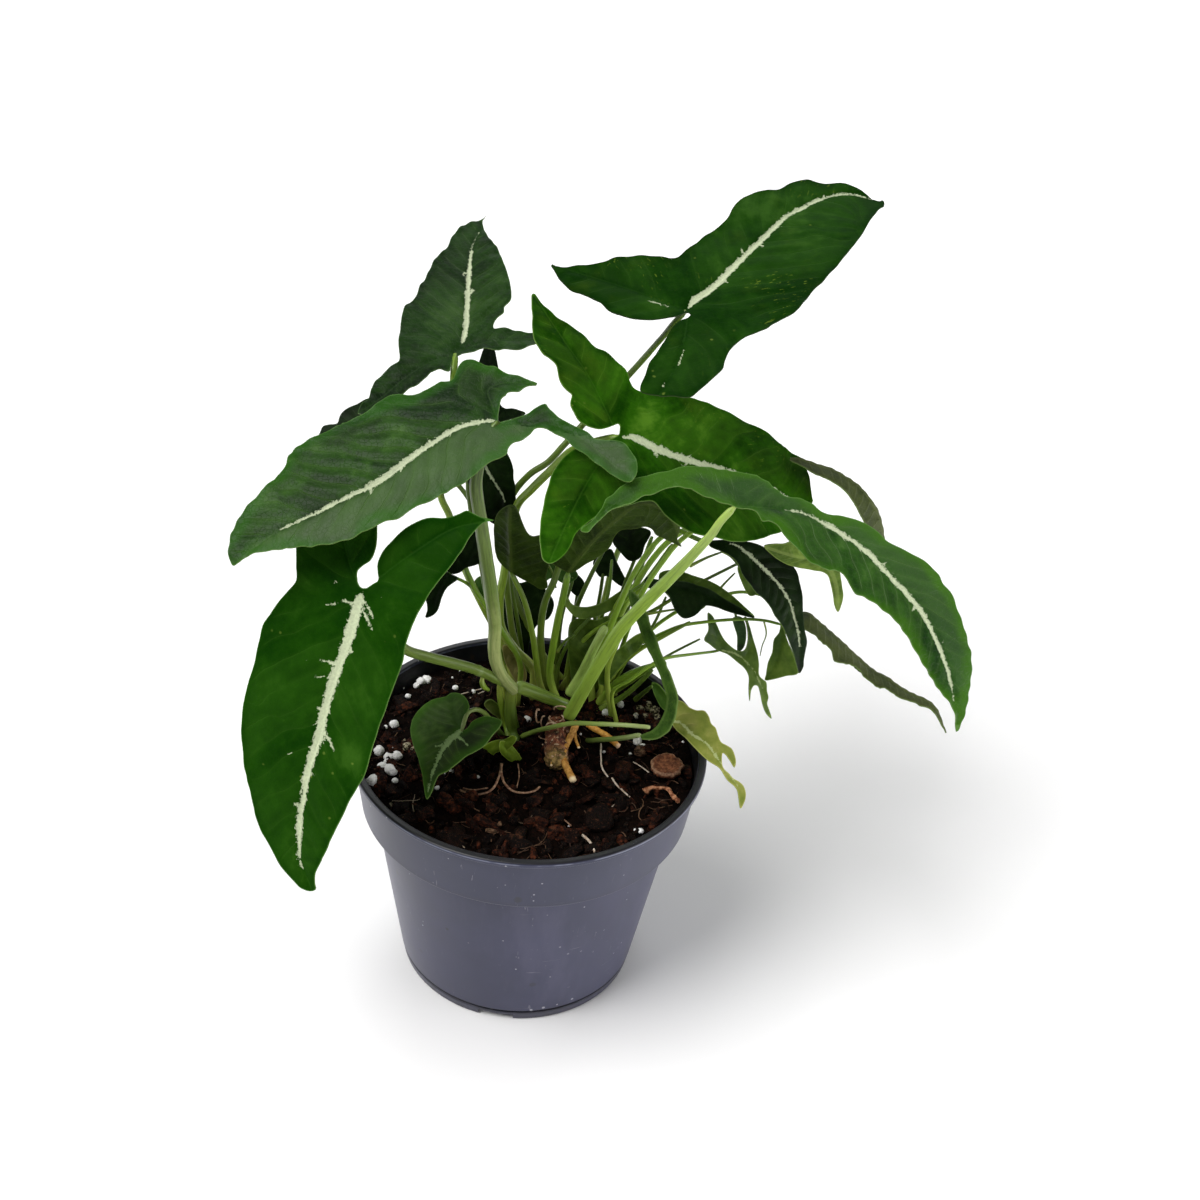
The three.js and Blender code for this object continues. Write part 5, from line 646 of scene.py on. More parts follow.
STALKS = {
    "petiole_01": dict(pts=[[1, 41, 85], [-6.57, 40, 95.85], [-11.69, 38, 120.34], [-13.26, 35, 146.82], [-12.17, 32, 165.4], [-6.39, 31, 175.81], [-0.9, 33, 179.7], [4.38, 36, 185.59], [12.82, 42, 194.87], [22.42, 44, 207.55], [31.32, 37, 225.01], [35.79, 31.5, 235.22], [38.25, 30.47, 237.36]], r=[1.25, 0.95], leaf='leaf_01'),
    "petiole_02": dict(pts=[[-1, 31, 85], [-1.35, 30, 98.25], [-7.52, 29, 106.09], [-12.65, 28, 115.61], [-13.75, 27, 127.86], [-12.82, 26.5, 138.5], [-11.36, 25, 153.61], [-9.56, 22.5, 168.6], [-4.88, 18.5, 178.03], [-0.03, 15.5, 186.32], [7.07, 12, 197.18], [14.27, 10, 202.32], [19.93, 8.68, 204.13]], r=[1.5, 1.3], leaf='leaf_02'),
    "petiole_03": dict(pts=[[-7, 33, 85], [-11.33, 36, 100.49], [-16.2, 35, 111.43], [-20.97, 34, 122.17], [-26.11, 34, 133.2], [-29.37, 33, 144.47], [-32.27, 32, 156.72], [-35.08, 32, 163.45], [-35.76, 33, 173.14], [-34.3, 34, 187.75], [-32.63, 33, 201.33], [-32.18, 31, 210.03], [-32.08, 37.7, 211.92]], r=[1.3, 1.1], leaf='leaf_03'),
    "petiole_04": dict(pts=[[10.09, 19, 92.74], [2.19, 15, 98.24], [-4.6, 12, 103.04], [-8.62, 9, 108.3], [-10.75, 7.5, 114.24], [-12.23, 6.5, 120.21], [-13.62, 5, 133.38], [-15.09, 3, 146.56], [-16.83, 1, 159.38], [-18.52, -1, 171.88], [-20.04, -2, 182.35], [-21.11, -2, 190.6], [-20.24, -1.5, 199.32], [-18.16, -0.5, 205.98], [-15.03, 3.23, 209.03]], r=[1.9, 2.3, 2.3, 1.6], leaf='leaf_04'),
    "petiole_05": dict(pts=[[-12.91, 8, 109.1], [-16.19, 6, 112.49], [-20.34, 3, 116.39], [-27.11, -3, 122.64], [-34.55, -10, 129.71], [-40.28, -16, 136.33], [-44.95, -22, 147.62], [-48.35, -27, 159.19], [-50.41, -28.27, 166.83]], r=[1.35, 1.1], leaf='leaf_05'),
    "petiole_06": dict(pts=[[12.71, 13, 92.53], [16.9, 10, 106.5], [21.96, 6, 123.04], [26.93, 2, 137.87], [34.08, -3, 153.24], [39.92, -7, 164.69], [44.7, -10, 174], [48.78, -13, 182.7], [51.56, -14.5, 188.33], [53.69, -15.5, 193.87], [56.79, -12.94, 196.72]], r=[2.3, 2.2, 1.9, 1.1], leaf='leaf_06'),
    "petiole_07": dict(pts=[[10, 24, 85], [4.96, 23, 99.49], [5.26, 21, 114.66], [6.46, 18, 129.82], [7.76, 16, 140.28], [8.81, 12.03, 149.35]], r=[1.3, 1.1], leaf='leaf_07'),
    "petiole_08": dict(pts=[[20, 31, 85], [18.71, 31, 97.93], [22.54, 30, 112.84], [26.48, 29, 129.05], [30.16, 28, 142.38], [34.05, 28, 151.59], [38.09, 27.5, 158.26], [43.05, 27, 161.45], [47.76, 26, 160.24], [51.38, 24, 160.18], [53.42, 23.19, 159.89]], r=[1.2, 0.8], leaf='leaf_08'),
    "petiole_09": dict(pts=[[27, 25, 85], [24.38, 24, 105.57], [30.15, 22, 128.65], [34.6, 20, 143.93], [39.25, 19.5, 154.67], [43.16, 19.5, 161.72], [49.17, 22.5, 166.18], [56.76, 26.5, 167.84], [65.58, 27, 170.35], [76.92, 25, 170.11], [83.44, 19, 168.15], [86.37, 13.65, 166.66]], r=[1, 0.7], leaf='leaf_09'),
    "petiole_10": dict(pts=[[28, 35, 85], [26.8, 37, 92.93], [34.7, 39, 107.11], [42.51, 40, 116.64], [50.54, 41, 122.7], [59.38, 41, 127], [67.2, 40, 130.61], [76.34, 38, 130.89], [85.57, 36, 127.44]], r=[0.8, 0.5], leaf=None),
    "petiole_11": dict(pts=[[24, 30.5, 85], [22.29, 32, 100.6], [26.36, 33, 119.52], [30.72, 33, 133.29], [35.76, 32.5, 145.55], [40.68, 32, 153.99], [50.11, 32, 162.44], [62.68, 32, 167.63], [82.7, 32, 164.62], [99.78, 31, 159.58], [106.23, 30.5, 155.83]], r=[1.2, 0.8], leaf=None),
    "petiole_12": dict(pts=[[29, 20, 85], [26.74, 19, 99.76], [32.14, 19.5, 104.7], [37.8, 21, 109.72], [42.63, 23, 112.13], [51.87, 29, 110.56], [59.6, 34.5, 108.46], [62.37, 35.22, 109.27]], r=[0.8, 0.45], leaf='leaf_12'),
    "petiole_13": dict(pts=[[23, 37, 85], [22.53, 37, 93.79], [28.84, 36, 103.51], [38.58, 35, 111.75], [47.64, 34.5, 118.18], [54.24, 34, 120.72], [67.89, 33.5, 123.92], [75.97, 33, 124.59], [82.69, 33.36, 123.61]], r=[0.8, 0.5], leaf='leaf_13'),
    "petiole_14": dict(pts=[[18, 40, 85], [17.88, 40, 87.46], [20.86, 37, 107.53], [26.58, 32, 126.11], [31.62, 28.5, 136.51], [35.33, 27.24, 140.08]], r=[0.9, 0.6], leaf='leaf_14'),
    "petiole_15": dict(pts=[[-2.1, 8.2, 85.8], [1.94, 6, 89.99], [6.65, 3, 94.44], [13.6, 0, 99.33], [22.86, -4, 103.34], [33.02, -6.5, 105.83], [39.63, -6, 105.4]], r=[0.8, 0.75], leaf=None),
    "petiole_16": dict(pts=[[-9.56, 8, 85.13], [-12.88, 3, 94.65], [-15.64, -3, 103.37], [-18.1, -6, 106.52], [-20.11, -9, 107.2], [-20.96, -15.38, 103.54]], r=[0.9, 0.75], leaf='leaf_16'),
    "petiole_17": dict(pts=[[20, 9, 85.2], [23.71, 1, 92.55], [30.23, -4, 97.99], [36.56, -8, 103.42]], r=[0.9, 0.9], leaf=None),
    "petiole_18": dict(pts=[[7, 45, 85], [0.09, 46, 94.31], [-9.12, 48, 113.58], [-14.26, 49, 133.37], [-17.83, 49, 153.33], [-20, 47, 170.08], [-19.42, 44.81, 183.26]], r=[1.2, 0.8], leaf='leaf_18'),
    "petiole_19": dict(pts=[[-9, 38, 85], [-13.62, 39.5, 97.65], [-17.68, 38.5, 114.29], [-20.97, 37, 132.51], [-24.22, 36, 151.02], [-26.55, 34, 167.71], [-26.36, 34.53, 186.12]], r=[1.1, 0.8], leaf='leaf_19'),
    "petiole_20": dict(pts=[[5, 27.5, 85], [1.33, 27, 94.3], [-0.41, 26.5, 105.29], [-2.4, 26, 117.31], [-5.81, 25, 130.51], [-10.81, 22.25, 140.97]], r=[1.15, 0.9], leaf='leaf_20'),
    "petiole_21": dict(pts=[[-6, 26.5, 85], [-5.68, 25, 103.28], [-12.24, 22, 118.75], [-18.29, 16, 133.9], [-21.88, 12.5, 142.79], [-23.93, 11.58, 150.57]], r=[1, 0.8], leaf='leaf_21'),
    "petiole_22": dict(pts=[[-10.5, 29, 85], [-13.46, 31.5, 102.74], [-16.24, 29, 117.86], [-20.14, 22, 131.92], [-24.15, 12, 144.08], [-27.9, 6, 150.37], [-29.66, 3.33, 153.99]], r=[0.8, 0.5], leaf='leaf_22'),
    "petiole_23": dict(pts=[[-5, 48, 85], [-12.47, 50, 89.99], [-19.14, 52, 109.71], [-21.66, 54, 125.08], [-24.41, 55, 140.73], [-30.28, 55, 152.3], [-39.6, 54, 161.92], [-46.8, 52.71, 168.16]], r=[1.1, 0.8], leaf='leaf_23'),
    "petiole_24": dict(pts=[[4, 36, 85], [0.85, 34, 103.29], [0.49, 31, 118.63], [1.53, 30, 127.78], [3.82, 29, 136.09], [5.65, 31, 142.62], [11.15, 38, 149.38], [20.86, 53, 153.95], [32.11, 67.81, 157.28]], r=[1.35, 1], leaf='leaf_24'),
    "petiole_25": dict(pts=[[-1, 45.5, 85], [-10.18, 50, 94.66], [-15.75, 54, 108.66], [-20.97, 59, 121.78], [-24.33, 63, 135.58], [-26.98, 63, 151.7], [-32.45, 76.04, 156.56]], r=[1.1, 0.8], leaf='leaf_25'),
    "petiole_26": dict(pts=[[13, 45, 85], [16.96, 50, 93.15], [21.08, 58, 109.73], [23.16, 62, 122.23], [26.64, 68, 133.41], [27.8, 72, 143.47], [27.66, 80, 159.05], [30.94, 86, 175.94], [39.33, 88, 197.11], [44.51, 88.33, 213.55]], r=[1.2, 0.8], leaf='leaf_26'),
    "sheath_06": dict(pts=[[12.55, 17, 99.33], [16.04, 15, 110.2], [19.36, 11.5, 123.2], [22.08, 8.5, 133.44]], r=[1.8, 1.5], leaf=None),
}
RIBBONS = {
    "leaf_10": dict(c=[[87.6, 34, 127], [89.56, 33.5, 127.58], [92.95, 33, 124.95], [96.66, 32, 122.29], [100.64, 30, 119.96], [105, 28, 117.26], [110.15, 26, 113.78], [114.36, 24, 112.13], [118.03, 22, 111.71], [121.81, 20, 110.45], [126.58, 18, 109.3], [130.5, 16, 109.15], [133.84, 14, 108.3], [136.87, 12, 105.28], [139.25, 10, 101.11]], w=[[-0.21, -3, 0.87], [-1.42, -6, 1.93], [-1.93, -7, 3.13], [-1.5, -7.5, 4.52], [-1.87, -8, 4.5], [-2.02, -8, 4.43], [-1.71, -7.5, 4.56], [-1.6, -7, 3.99], [-1.66, -6.5, 3.25], [-1.41, -5.5, 2.92], [-0.89, -4, 2.55], [-0.73, -3, 1.81], [-0.56, -2, 1.3], [-0.35, -1, 0.66], [-0.17, -0.4, 0.26]]),
    "leaf_11": dict(c=[[76.95, 38, 185.65], [81.26, 38, 184.96], [85.96, 37.5, 183.65], [90.65, 37, 182.53], [95.14, 36.5, 180.44], [99.74, 36, 177.78], [103.1, 35, 174.52], [105.89, 34, 170.79], [108.09, 33, 166.6], [109.46, 32, 161.5], [111.79, 31, 154.49], [115.75, 30, 145.55], [121.21, 28, 137.34], [127.19, 26, 130.32]], w=[[-0.09, -0.5, -0.26], [-0.48, -3, 0.68], [-0.77, -4.5, 1.42], [-0.96, -5.5, 2.23], [-1.19, -6, 2.61], [-1.92, -6, 1.84], [-2.53, -6, 1.99], [-3.19, -6, 2.08], [-3.05, -6, 2.91], [-3.45, -6, 3.07], [-4.59, -6, 2.33], [-4.66, -6, 1.63], [-3.42, -5, 1.09], [-0.33, -0.5, 0.09]]),
    "leaf_17": dict(c=[[36.91, -10, 104.03], [40.93, -11, 107.19], [43.81, -10.5, 111.29], [45.18, -9, 115.64], [45.28, -7, 119.44], [43.62, -4, 122.69], [40.93, 0, 126.31], [37.86, 4, 130.32], [35.17, 8, 133.58], [32.8, 12, 136.9], [30.82, 15, 139.8], [29.16, 17, 143.44]], w=[[0.16, -1.5, 0.64], [0.95, -4, 1.39], [1.78, -5, 2.57], [1.68, -5, 3.48], [1.04, -4.5, 3.77], [0.98, -4, 3.72], [1.11, -4, 3.86], [1.27, -4, 3.92], [1.47, -4, 3.9], [1.8, -4, 3.98], [1.87, -3, 3.17], [0.29, -0.5, 0.5]]),
    "shoot_01": dict(c=[[-16.12, -5.5, 86.73], [-13.48, -1.5, 86.55], [-9.7, 1.2, 86.94], [-7.2, 3.8, 86.41], [-5.28, 5.4, 85.97]], w=[[0.2, -0.5, 0.15], [0.74, -2, 0.39], [0.88, -3, 0.53], [0.7, -3, 0.65], [0.35, -2, 0.61]]),
}


# ---- leaf materials -----------------------------------------------------------------
def leaf_top(name, deep, mid, lite, rough=0.42, spec=0.12, sheen=0.0, stripe=(0.57, 0.64, 0.42), speck=0.0, veins=0.15, rag=1.0, yellow=0.0, mottle=0.5, relief=1.0, glow=None, rim=0.4, rim_color=None, palm=0.0, streaks=0.0, half=None, lift=0.7, flecks=0.0, cloud=0.8, run_scale=2.3):
    """upper side: deep and mid green clouds, faint paler veins, a ragged pale midrib stripe, a thin margin"""
    m = Mat(name, rough=rough, spec=spec)
    m.b.inputs["Sheen Weight"].default_value = sheen
    m.b.inputs["Sheen Roughness"].default_value = 0.45
    m.b.inputs["Sheen Tint"].default_value = (0.85, 0.95, 0.85, 1)
    st, ph, vf, ed, sp, rb = (m.attr(k) for k in ("st", "ph", "vf", "ed", "sp", "rb"))
    big = m.noise(38.0, 3.0, 0.55)
    mid_n = m.noise(240.0, 4.0, 0.6)
    fine = m.noise(1500.0, 2.0, 0.6)
    # distance in mm from the nearest side vein; each vein comes and goes along its run
    frac = m.math("PINGPONG", ph, 0.5)
    dv = m.mul(frac, sp)
    here = m.span(m.noise(70.0, 2.0, 0.5), 0.38, 0.62)
    vline = m.mul(m.mul(m.span(m.add(dv, m.mul(m.add(mid_n, -0.5), 0.5)), 0.42, 0.03), vf), m.add(m.mul(here, 0.8), 0.2))
    vsoft = m.mul(m.span(dv, 1.9, 0.1), vf)
    # the tone takes in broad painted light and painted shade from a per-vertex attribute
    tone = m.add(m.add(m.mul(m.add(big, -0.5), cloud), m.add(m.attr("lit_shade"), 0.5)), m.mul(m.add(mid_n, -0.5), mottle))
    # streaks that run with the side veins
    run = m.noise(1.0, 3.0, 0.55, vec=m.xyz(m.mul(ph, run_scale), m.mul(rb, 0.12), m.mul(m.attr("sd"), 0.02)))
    if streaks:
        tone = m.add(tone, m.mul(m.add(run, -0.5), streaks))
    col = m.mix(m.span(tone, 0.36, 0.62), deep, mid)
    col = m.mix(m.mul(m.span(tone, 0.55, 0.76), lift), col, lite)
    if half:
        # one half of the blade is painted another colour for the light on it: a greyer painted sheen on leaf_04 and
        # leaf_06, a darker painted shade on leaf_16
        hc, amount, sign = half
        col = m.mix(m.mul(m.span(m.add(m.mul(m.attr("sd"), sign), m.mul(m.add(mid_n, -0.5), 5.0)), -1.5, 3.5), amount), col, hc)
    # panels between the side veins differ a little in tone
    cell = m.math("FLOOR", ph)
    odd = m.math("FRACT", m.mul(m.math("SINE", m.mul(cell, 12.99)), 437.5))
    col = m.mix(m.mul(m.mul(odd, vf), 0.14), col, lite)
    col = m.mix(m.mul(vsoft, veins * 0.5), col, lite)
    col = m.mix(m.mul(vline, veins), col, lite)
    net = m.voro(620.0, "DISTANCE_TO_EDGE", rand=0.9)
    netl = m.span(net.outputs["Distance"], 0.07, 0.0)
    col = m.mix(m.mul(netl, 0.12 * veins + 0.02), col, lite)
    if palm:
        # fainter main veins of the back lobes
        line = m.mul(m.span(m.add(rb, m.mul(m.add(mid_n, -0.5), 0.5)), 0.45, 0.05), m.span(st, 1.5, 4.0))
        col = m.mix(m.mul(line, palm), col, tuple(min(1, 1.7 * c + 0.02) for c in lite))
    # painted glow: a brighter green band along the margin, light coming through the thin edge painted into the colour
    if glow:
        edge_n = m.add(ed, m.mul(m.add(m.noise(60.0, 3.0), -0.5), 14.0))
        col = m.mix(m.mul(m.span(edge_n, 4.5, 0.0), 0.55), col, glow)
    if yellow:
        yn = m.span(m.noise(70.0, 3.0, 0.6), 0.54, 0.78)
        col = m.mix(m.mul(yn, yellow), col, (0.12, 0.22, 0.012))
    if flecks:
        # short yellow-green streaks that run with the side veins, in patches
        fl = m.noise(1.0, 2.0, 0.6, vec=m.xyz(m.mul(ph, 7.5), m.mul(rb, 0.55), m.mul(m.attr("sd"), 0.05)))
        patch = m.span(m.noise(34.0, 2.0), 0.52, 0.66)
        col = m.mix(m.mul(m.mul(m.span(fl, 0.62, 0.72), patch), flecks), col, (0.20, 0.30, 0.03))
    if speck:
        v = m.voro(300.0, vec=m.scaled(1.0, 1.0, 1.0))
        sep = m.node("SeparateColor")
        m.put(sep.inputs[0], v.outputs["Color"])
        crowd = m.span(m.noise(45.0, 2.0), 0.50, 0.66)
        on = m.mul(m.mul(m.span(sep.outputs[0], 0.72, 0.78), crowd), m.span(m.add(v.outputs["Distance"], m.mul(m.add(m.noise(900.0), -0.5), 0.2)), 0.20, 0.07))
        col = m.mix(m.mul(on, speck), col, (0.26, 0.36, 0.06))
    # stripe: short teeth run out along its edge
    teeth = m.noise(2200.0, 2.0, 0.6)
    edge = m.add(m.mul(m.add(m.noise(1150.0, 4.0, 0.7), -0.5), 1.9 * rag), m.mul(m.add(m.noise(400.0, 1.0), -0.5), 1.1 * rag))
    edge = m.add(edge, m.mul(m.add(teeth, -0.5), 0.8 * rag))
    edge = m.add(edge, m.mul(vline, -0.5 * rag))
    inside_stripe = m.span(m.add(st, edge), 0.14, -0.14)
    core = m.span(m.add(st, m.mul(edge, 0.5)), -0.10, -0.65)
    scol = m.mix(m.mul(m.span(m.noise(1500.0, 3.0, 0.6), 0.30, 0.62), 0.5), stripe, tuple(0.66 * c for c in stripe))
    scol = m.mix(core, tuple(0.70 * a + 0.30 * b for a, b in zip(stripe, mid)), scol)
    col = m.mix(inside_stripe, col, scol)
    # thin margin
    col = m.mix(m.mul(m.span(ed, 0.40, 0.05), rim), col, rim_color or tuple(min(1, 1.7 * c + 0.02) for c in lite))
    r = m.add(m.mul(m.add(mid_n, -0.5), 0.16), rough)
    r = m.mix(inside_stripe, m.xyz(r, r, r), (rough + 0.12,) * 3)
    h = m.add(m.mul(vline, -0.8), m.mul(netl, -0.20))
    h = m.add(h, m.mul(fine, 0.10))
    h = m.add(h, m.mul(mid_n, 0.6))
    h = m.add(h, m.mul(inside_stripe, 0.25))
    h = m.add(h, m.mul(run, 1.3 * min(1.0, 2.5 * streaks)))
    n = m.bump(h, 0.42 * relief, 0.30)
    sep = m.node("SeparateXYZ")
    m.put(sep.inputs[0], r)
    return m.done(col, sep.outputs[0], n)


def leaf_under(name, deep, mid, vein, rough=0.52, sheen=0.0, spec=0.12, lines=0.28, rib_mix=0.6):
    """lower side: duller and paler, with a raised pale midrib and side veins"""
    m = Mat(name, rough=rough, spec=spec)
    m.b.inputs["Sheen Weight"].default_value = sheen
    rb, ph, vf, ed, sp = (m.attr(k) for k in ("rb", "ph", "vf", "ed", "sp"))
    big = m.noise(70.0, 3.0, 0.55)
    mid_n = m.noise(300.0, 4.0, 0.6)
    dv = m.mul(m.math("PINGPONG", ph, 0.5), sp)
    vline = m.mul(m.span(m.add(dv, m.mul(m.add(mid_n, -0.5), 0.3)), 0.5, 0.08), vf)
    net = m.span(m.voro(620.0, "DISTANCE_TO_EDGE", rand=0.9).outputs["Distance"], 0.08, 0.0)
    col = m.mix(m.span(m.add(big, m.mul(m.add(mid_n, -0.5), 0.5)), 0.35, 0.66), deep, mid)
    col = m.mix(m.mul(net, 0.12), col, vein)
    col = m.mix(m.mul(vline, lines), col, vein)
    rib = m.span(m.add(rb, m.mul(m.add(mid_n, -0.5), 0.3)), 1.0, 0.35)
    col = m.mix(m.mul(rib, rib_mix), col, vein)
    col = m.mix(m.mul(m.span(ed, 0.5, 0.05), 0.5), col, vein)
    h = m.add(m.add(m.mul(vline, 0.9), m.mul(net, 0.3)), m.add(m.mul(mid_n, 0.4), m.mul(m.noise(1500.0, 2.0), 0.15)))
    return m.done(col, m.add(m.mul(m.add(mid_n, -0.5), 0.15), rough), m.bump(h, 0.4, 0.30))


def leaf_rim(name, color):
    m = Mat(name, rough=0.5, spec=0.12)
    return m.done(m.mix(m.noise(400.0, 3.0), tuple(0.7 * c for c in color), color), normal=m.bump(m.noise(900.0), 0.2, 0.1))


# ---- leaf blades --------------------------------------------------------------------
def poly3(B, u, v):
    a, b = u / 30.0, v / 30.0
    deg = B["deg"]
    P = np.zeros((len(u), 3))
    Du, Dv = np.zeros_like(P), np.zeros_like(P)
    C = np.array(B["co"])
    k = 0
    for t in range(deg + 1):
        for q in range(t + 1):
            i, j = t - q, q
            c = C[:, k]
            P += np.outer(a ** i * b ** j, c)
            if i:
                Du += np.outer(i * a ** (i - 1) * b ** j, c)
            if j:
                Dv += np.outer(j * a ** i * b ** (j - 1), c)
            k += 1
    return P, unit(np.cross(Du, Dv))


def px_uv(B, pts):
    p = np.asarray(pts, float)
    return np.stack([(p[:, 0] - B["px"][0]) / 2.9, (B["px"][1] - p[:, 1]) / 2.9], 1)


def build_blade(name, B, mats, h=1.0, thick=0.34, spacing=6.0, quilt=0.35, groove=0.35, fold=0.5, wob=0.5, ripple=0.5, seed=1, keel=0.9, stripes=(), slot="leaf", lean=0.85, curl=0.0, frill=0.0, outline=None, tones=()):
    out = catmull(np.array(B["out"]) if outline is None else px_uv(B, outline), 0.75 * h, closed=True)
    mid = catmull(np.array(B["mid"]), 0.8 * h)
    ribs = [catmull(np.array(r), 1.0 * h) for r in B["ribs"]]
    strokes = [(catmull(px_uv(B, [(p[0], p[1]) for p in s]), 0.5), s) for s in stripes]
    lo, hi = out.min(0), out.max(0)
    gx, gy = np.meshgrid(np.arange(lo[0], hi[0] + h, h), np.arange(lo[1], hi[1] + h, h * 0.866), indexing="xy")
    gx[1::2] += h / 2
    G = np.stack([gx.ravel(), gy.ravel()], 1)
    rng = np.random.default_rng(seed)
    G += rng.uniform(-0.12, 0.12, G.shape) * h
    G = G[inside(G, out)]
    G = G[to_line(G, out, True)[0] > 0.5 * h]
    lines = []
    for L in [mid] + ribs + [s[0] for s in strokes]:
        L = L[inside(L, out)]
        if len(L) > 1:
            L = L[to_line(L, out, True)[0] > 0.35 * h]
        if len(L) > 2:
            lines.append(L)
            G = G[to_line(G, L)[0] > 0.45 * h]
    verts, edges = list(map(tuple, out)), [(i, (i + 1) % len(out)) for i in range(len(out))]
    for L in lines:
        k = len(verts)
        verts += list(map(tuple, L))
        edges += [(k + i, k + i + 1) for i in range(len(L) - 1) if np.linalg.norm(L[i + 1] - L[i]) < 3 * h]
    verts += list(map(tuple, G))
    V2, _, F, *_ = delaunay_2d_cdt([Vector(v) for v in verts], edges, [list(range(len(out)))], 1, 1e-4)
    uv = np.array([v[:] for v in V2])
    F = np.array([f for f in F if len(f) == 3])
    F = F[inside(uv[F].mean(1), out)]
    a, b, c = uv[F[:, 0]], uv[F[:, 1]], uv[F[:, 2]]
    area2 = (b[:, 0] - a[:, 0]) * (c[:, 1] - a[:, 1]) - (b[:, 1] - a[:, 1]) * (c[:, 0] - a[:, 0])
    F = F[np.abs(area2) > 1e-7]
    area2 = area2[np.abs(area2) > 1e-7]
    F[area2 < 0] = F[area2 < 0][:, ::-1]
    used = np.unique(F)
    remap = np.full(len(uv), -1)
    remap[used] = np.arange(len(used))
    uv, F = uv[used], remap[F]
    P, Nc = poly3(B, uv[:, 0], uv[:, 1])
    up = -Nc if B["under"] else Nc
    # flat leaf coordinates
    J = np.array(B["J"])
    tip = poly3(B, mid[-1:, 0], mid[-1:, 1])[0][0]
    nrm = unit(np.array(B["n"]))
    t = unit((tip - J) - ((tip - J) @ nrm) * nrm)
    w = np.cross(nrm, t)

    def local(q):
        p = poly3(B, q[:, 0], q[:, 1])[0] - J
        return np.stack([p @ t, p @ w], 1)

    Q = local(uv)
    rails = [local(mid)] + [local(r) for r in ribs]
    dists = [to_line(Q, r) for r in rails]
    D = np.stack([d[0] for d in dists])
    k = D.argmin(0)
    near = D[k, np.arange(len(Q))]
    sd = dists[0][0] * dists[0][2]
    other = np.partition(D, 1, axis=0)[1] if len(rails) > 1 else near + 99
    S = np.stack([d[1] for d in dists])[k, np.arange(len(Q))]
    side = np.stack([d[2] for d in dists])[k, np.arange(len(Q))]
    ph = (S - lean * near - 0.006 * near ** 2) / spacing + 0.25 * side + 0.37 * k + 0.22 * vnoise(P / 17.0, seed) + 0.08 * vnoise(P / 6.0, seed + 2)
    E = to_line(Q, local(out), True)[0]
    sector = smooth(other - near, 0.6, 3.0)
    vf = sector * smooth(E, 0.6, 3.0) * smooth(near, 0.3, 1.6)
    # relief along the upper normal
    amp = np.abs(((ph + 0.5) % 1.0) - 0.5) * 2
    bulge = np.clip(amp, 0, 1) ** 0.75
    z = quilt * (bulge - 0.6) * vf * (0.65 + 0.6 * vnoise(P / 13.0, seed + 3))
    z = z - groove * np.exp(-(near / 0.95) ** 2) * np.where(k == 0, 1, 0.7) * smooth(E, 0, 2.5)
    z = z + fold * (1 - np.exp(-near / 5.0))
    z = z + wob * fbm(P, 16.0, 3, seed + 5) * smooth(near, 0, 8)
    z = z + ripple * fbm(P, 7.5, 2, seed + 9) * np.exp(-E / 4.0)
    z = z + frill * np.sin(ph * 2 * math.pi + 1.0) * np.exp(-E / 2.2) * sector
    if curl:
        z = z - curl * np.exp(-E / 3.0)
    st = np.full(len(uv), 12.0)
    for L, s in strokes:
        d, al, _ = to_line(uv, L)
        knots = to_line(px_uv(B, [(p[0], p[1]) for p in s]), L)[1]
        hw = np.interp(al, knots, [p[2] / 2.9 / 2 for p in s])
        st = np.minimum(st, d - 0.86 * hw)
    # soft lighter and darker spots: painted light and painted shade
    lit_shade = np.zeros(len(uv))
    for x, y, rr, amount in tones:
        lit_shade += amount * np.exp(-((uv - px_uv(B, [(x, y)])[0]) ** 2).sum(1) / (rr / 2.9) ** 2)
    top = P + up * (z + thick / 2)[:, None]
    kz = keel * np.exp(-(near / 0.85) ** 2) * np.where(k == 0, 1, 0.7) * smooth(E, 0, 6) * np.exp(-S / 90.0)
    side_keel = 0.16 * np.exp(-((0.5 - np.abs(((ph + 0.5) % 1.0) - 0.5) - 0.5) * spacing / 0.6) ** 2) * vf
    bot = P + up * (z - thick / 2 - kz - side_keel)[:, None]
    n = len(uv)
    if B["under"]:
        Ft, Fb = F[:, ::-1], F + n
    else:
        Ft, Fb = F, F[:, ::-1] + n
    # rim
    und = {}
    for tri in Ft:
        for x, y in ((tri[0], tri[1]), (tri[1], tri[2]), (tri[2], tri[0])):
            if (y, x) in und:
                del und[(y, x)]
            else:
                und[(x, y)] = 1
    rim = []
    for x, y in und:
        rim.append([y, x, x + n])
        rim.append([y, x + n, y + n])
    rim = np.array(rim)
    Vv = np.vstack([top, bot])
    Fa = np.vstack([Ft, Fb, rim])
    slots = np.concatenate([np.zeros(len(Ft)), np.ones(len(Fb)), np.full(len(rim), 2)])
    two = lambda q: np.concatenate([q, q])
    attrs = dict(st=two(st), ph=two(ph), vf=two(vf), ed=two(E), sp=np.full(2 * n, spacing), rb=two(near), sd=two(sd), lit_shade=two(lit_shade))
    return make(name, Vv, Fa, mats, slots=slots, attrs=attrs, sharp=55, slot=slot), top, bot


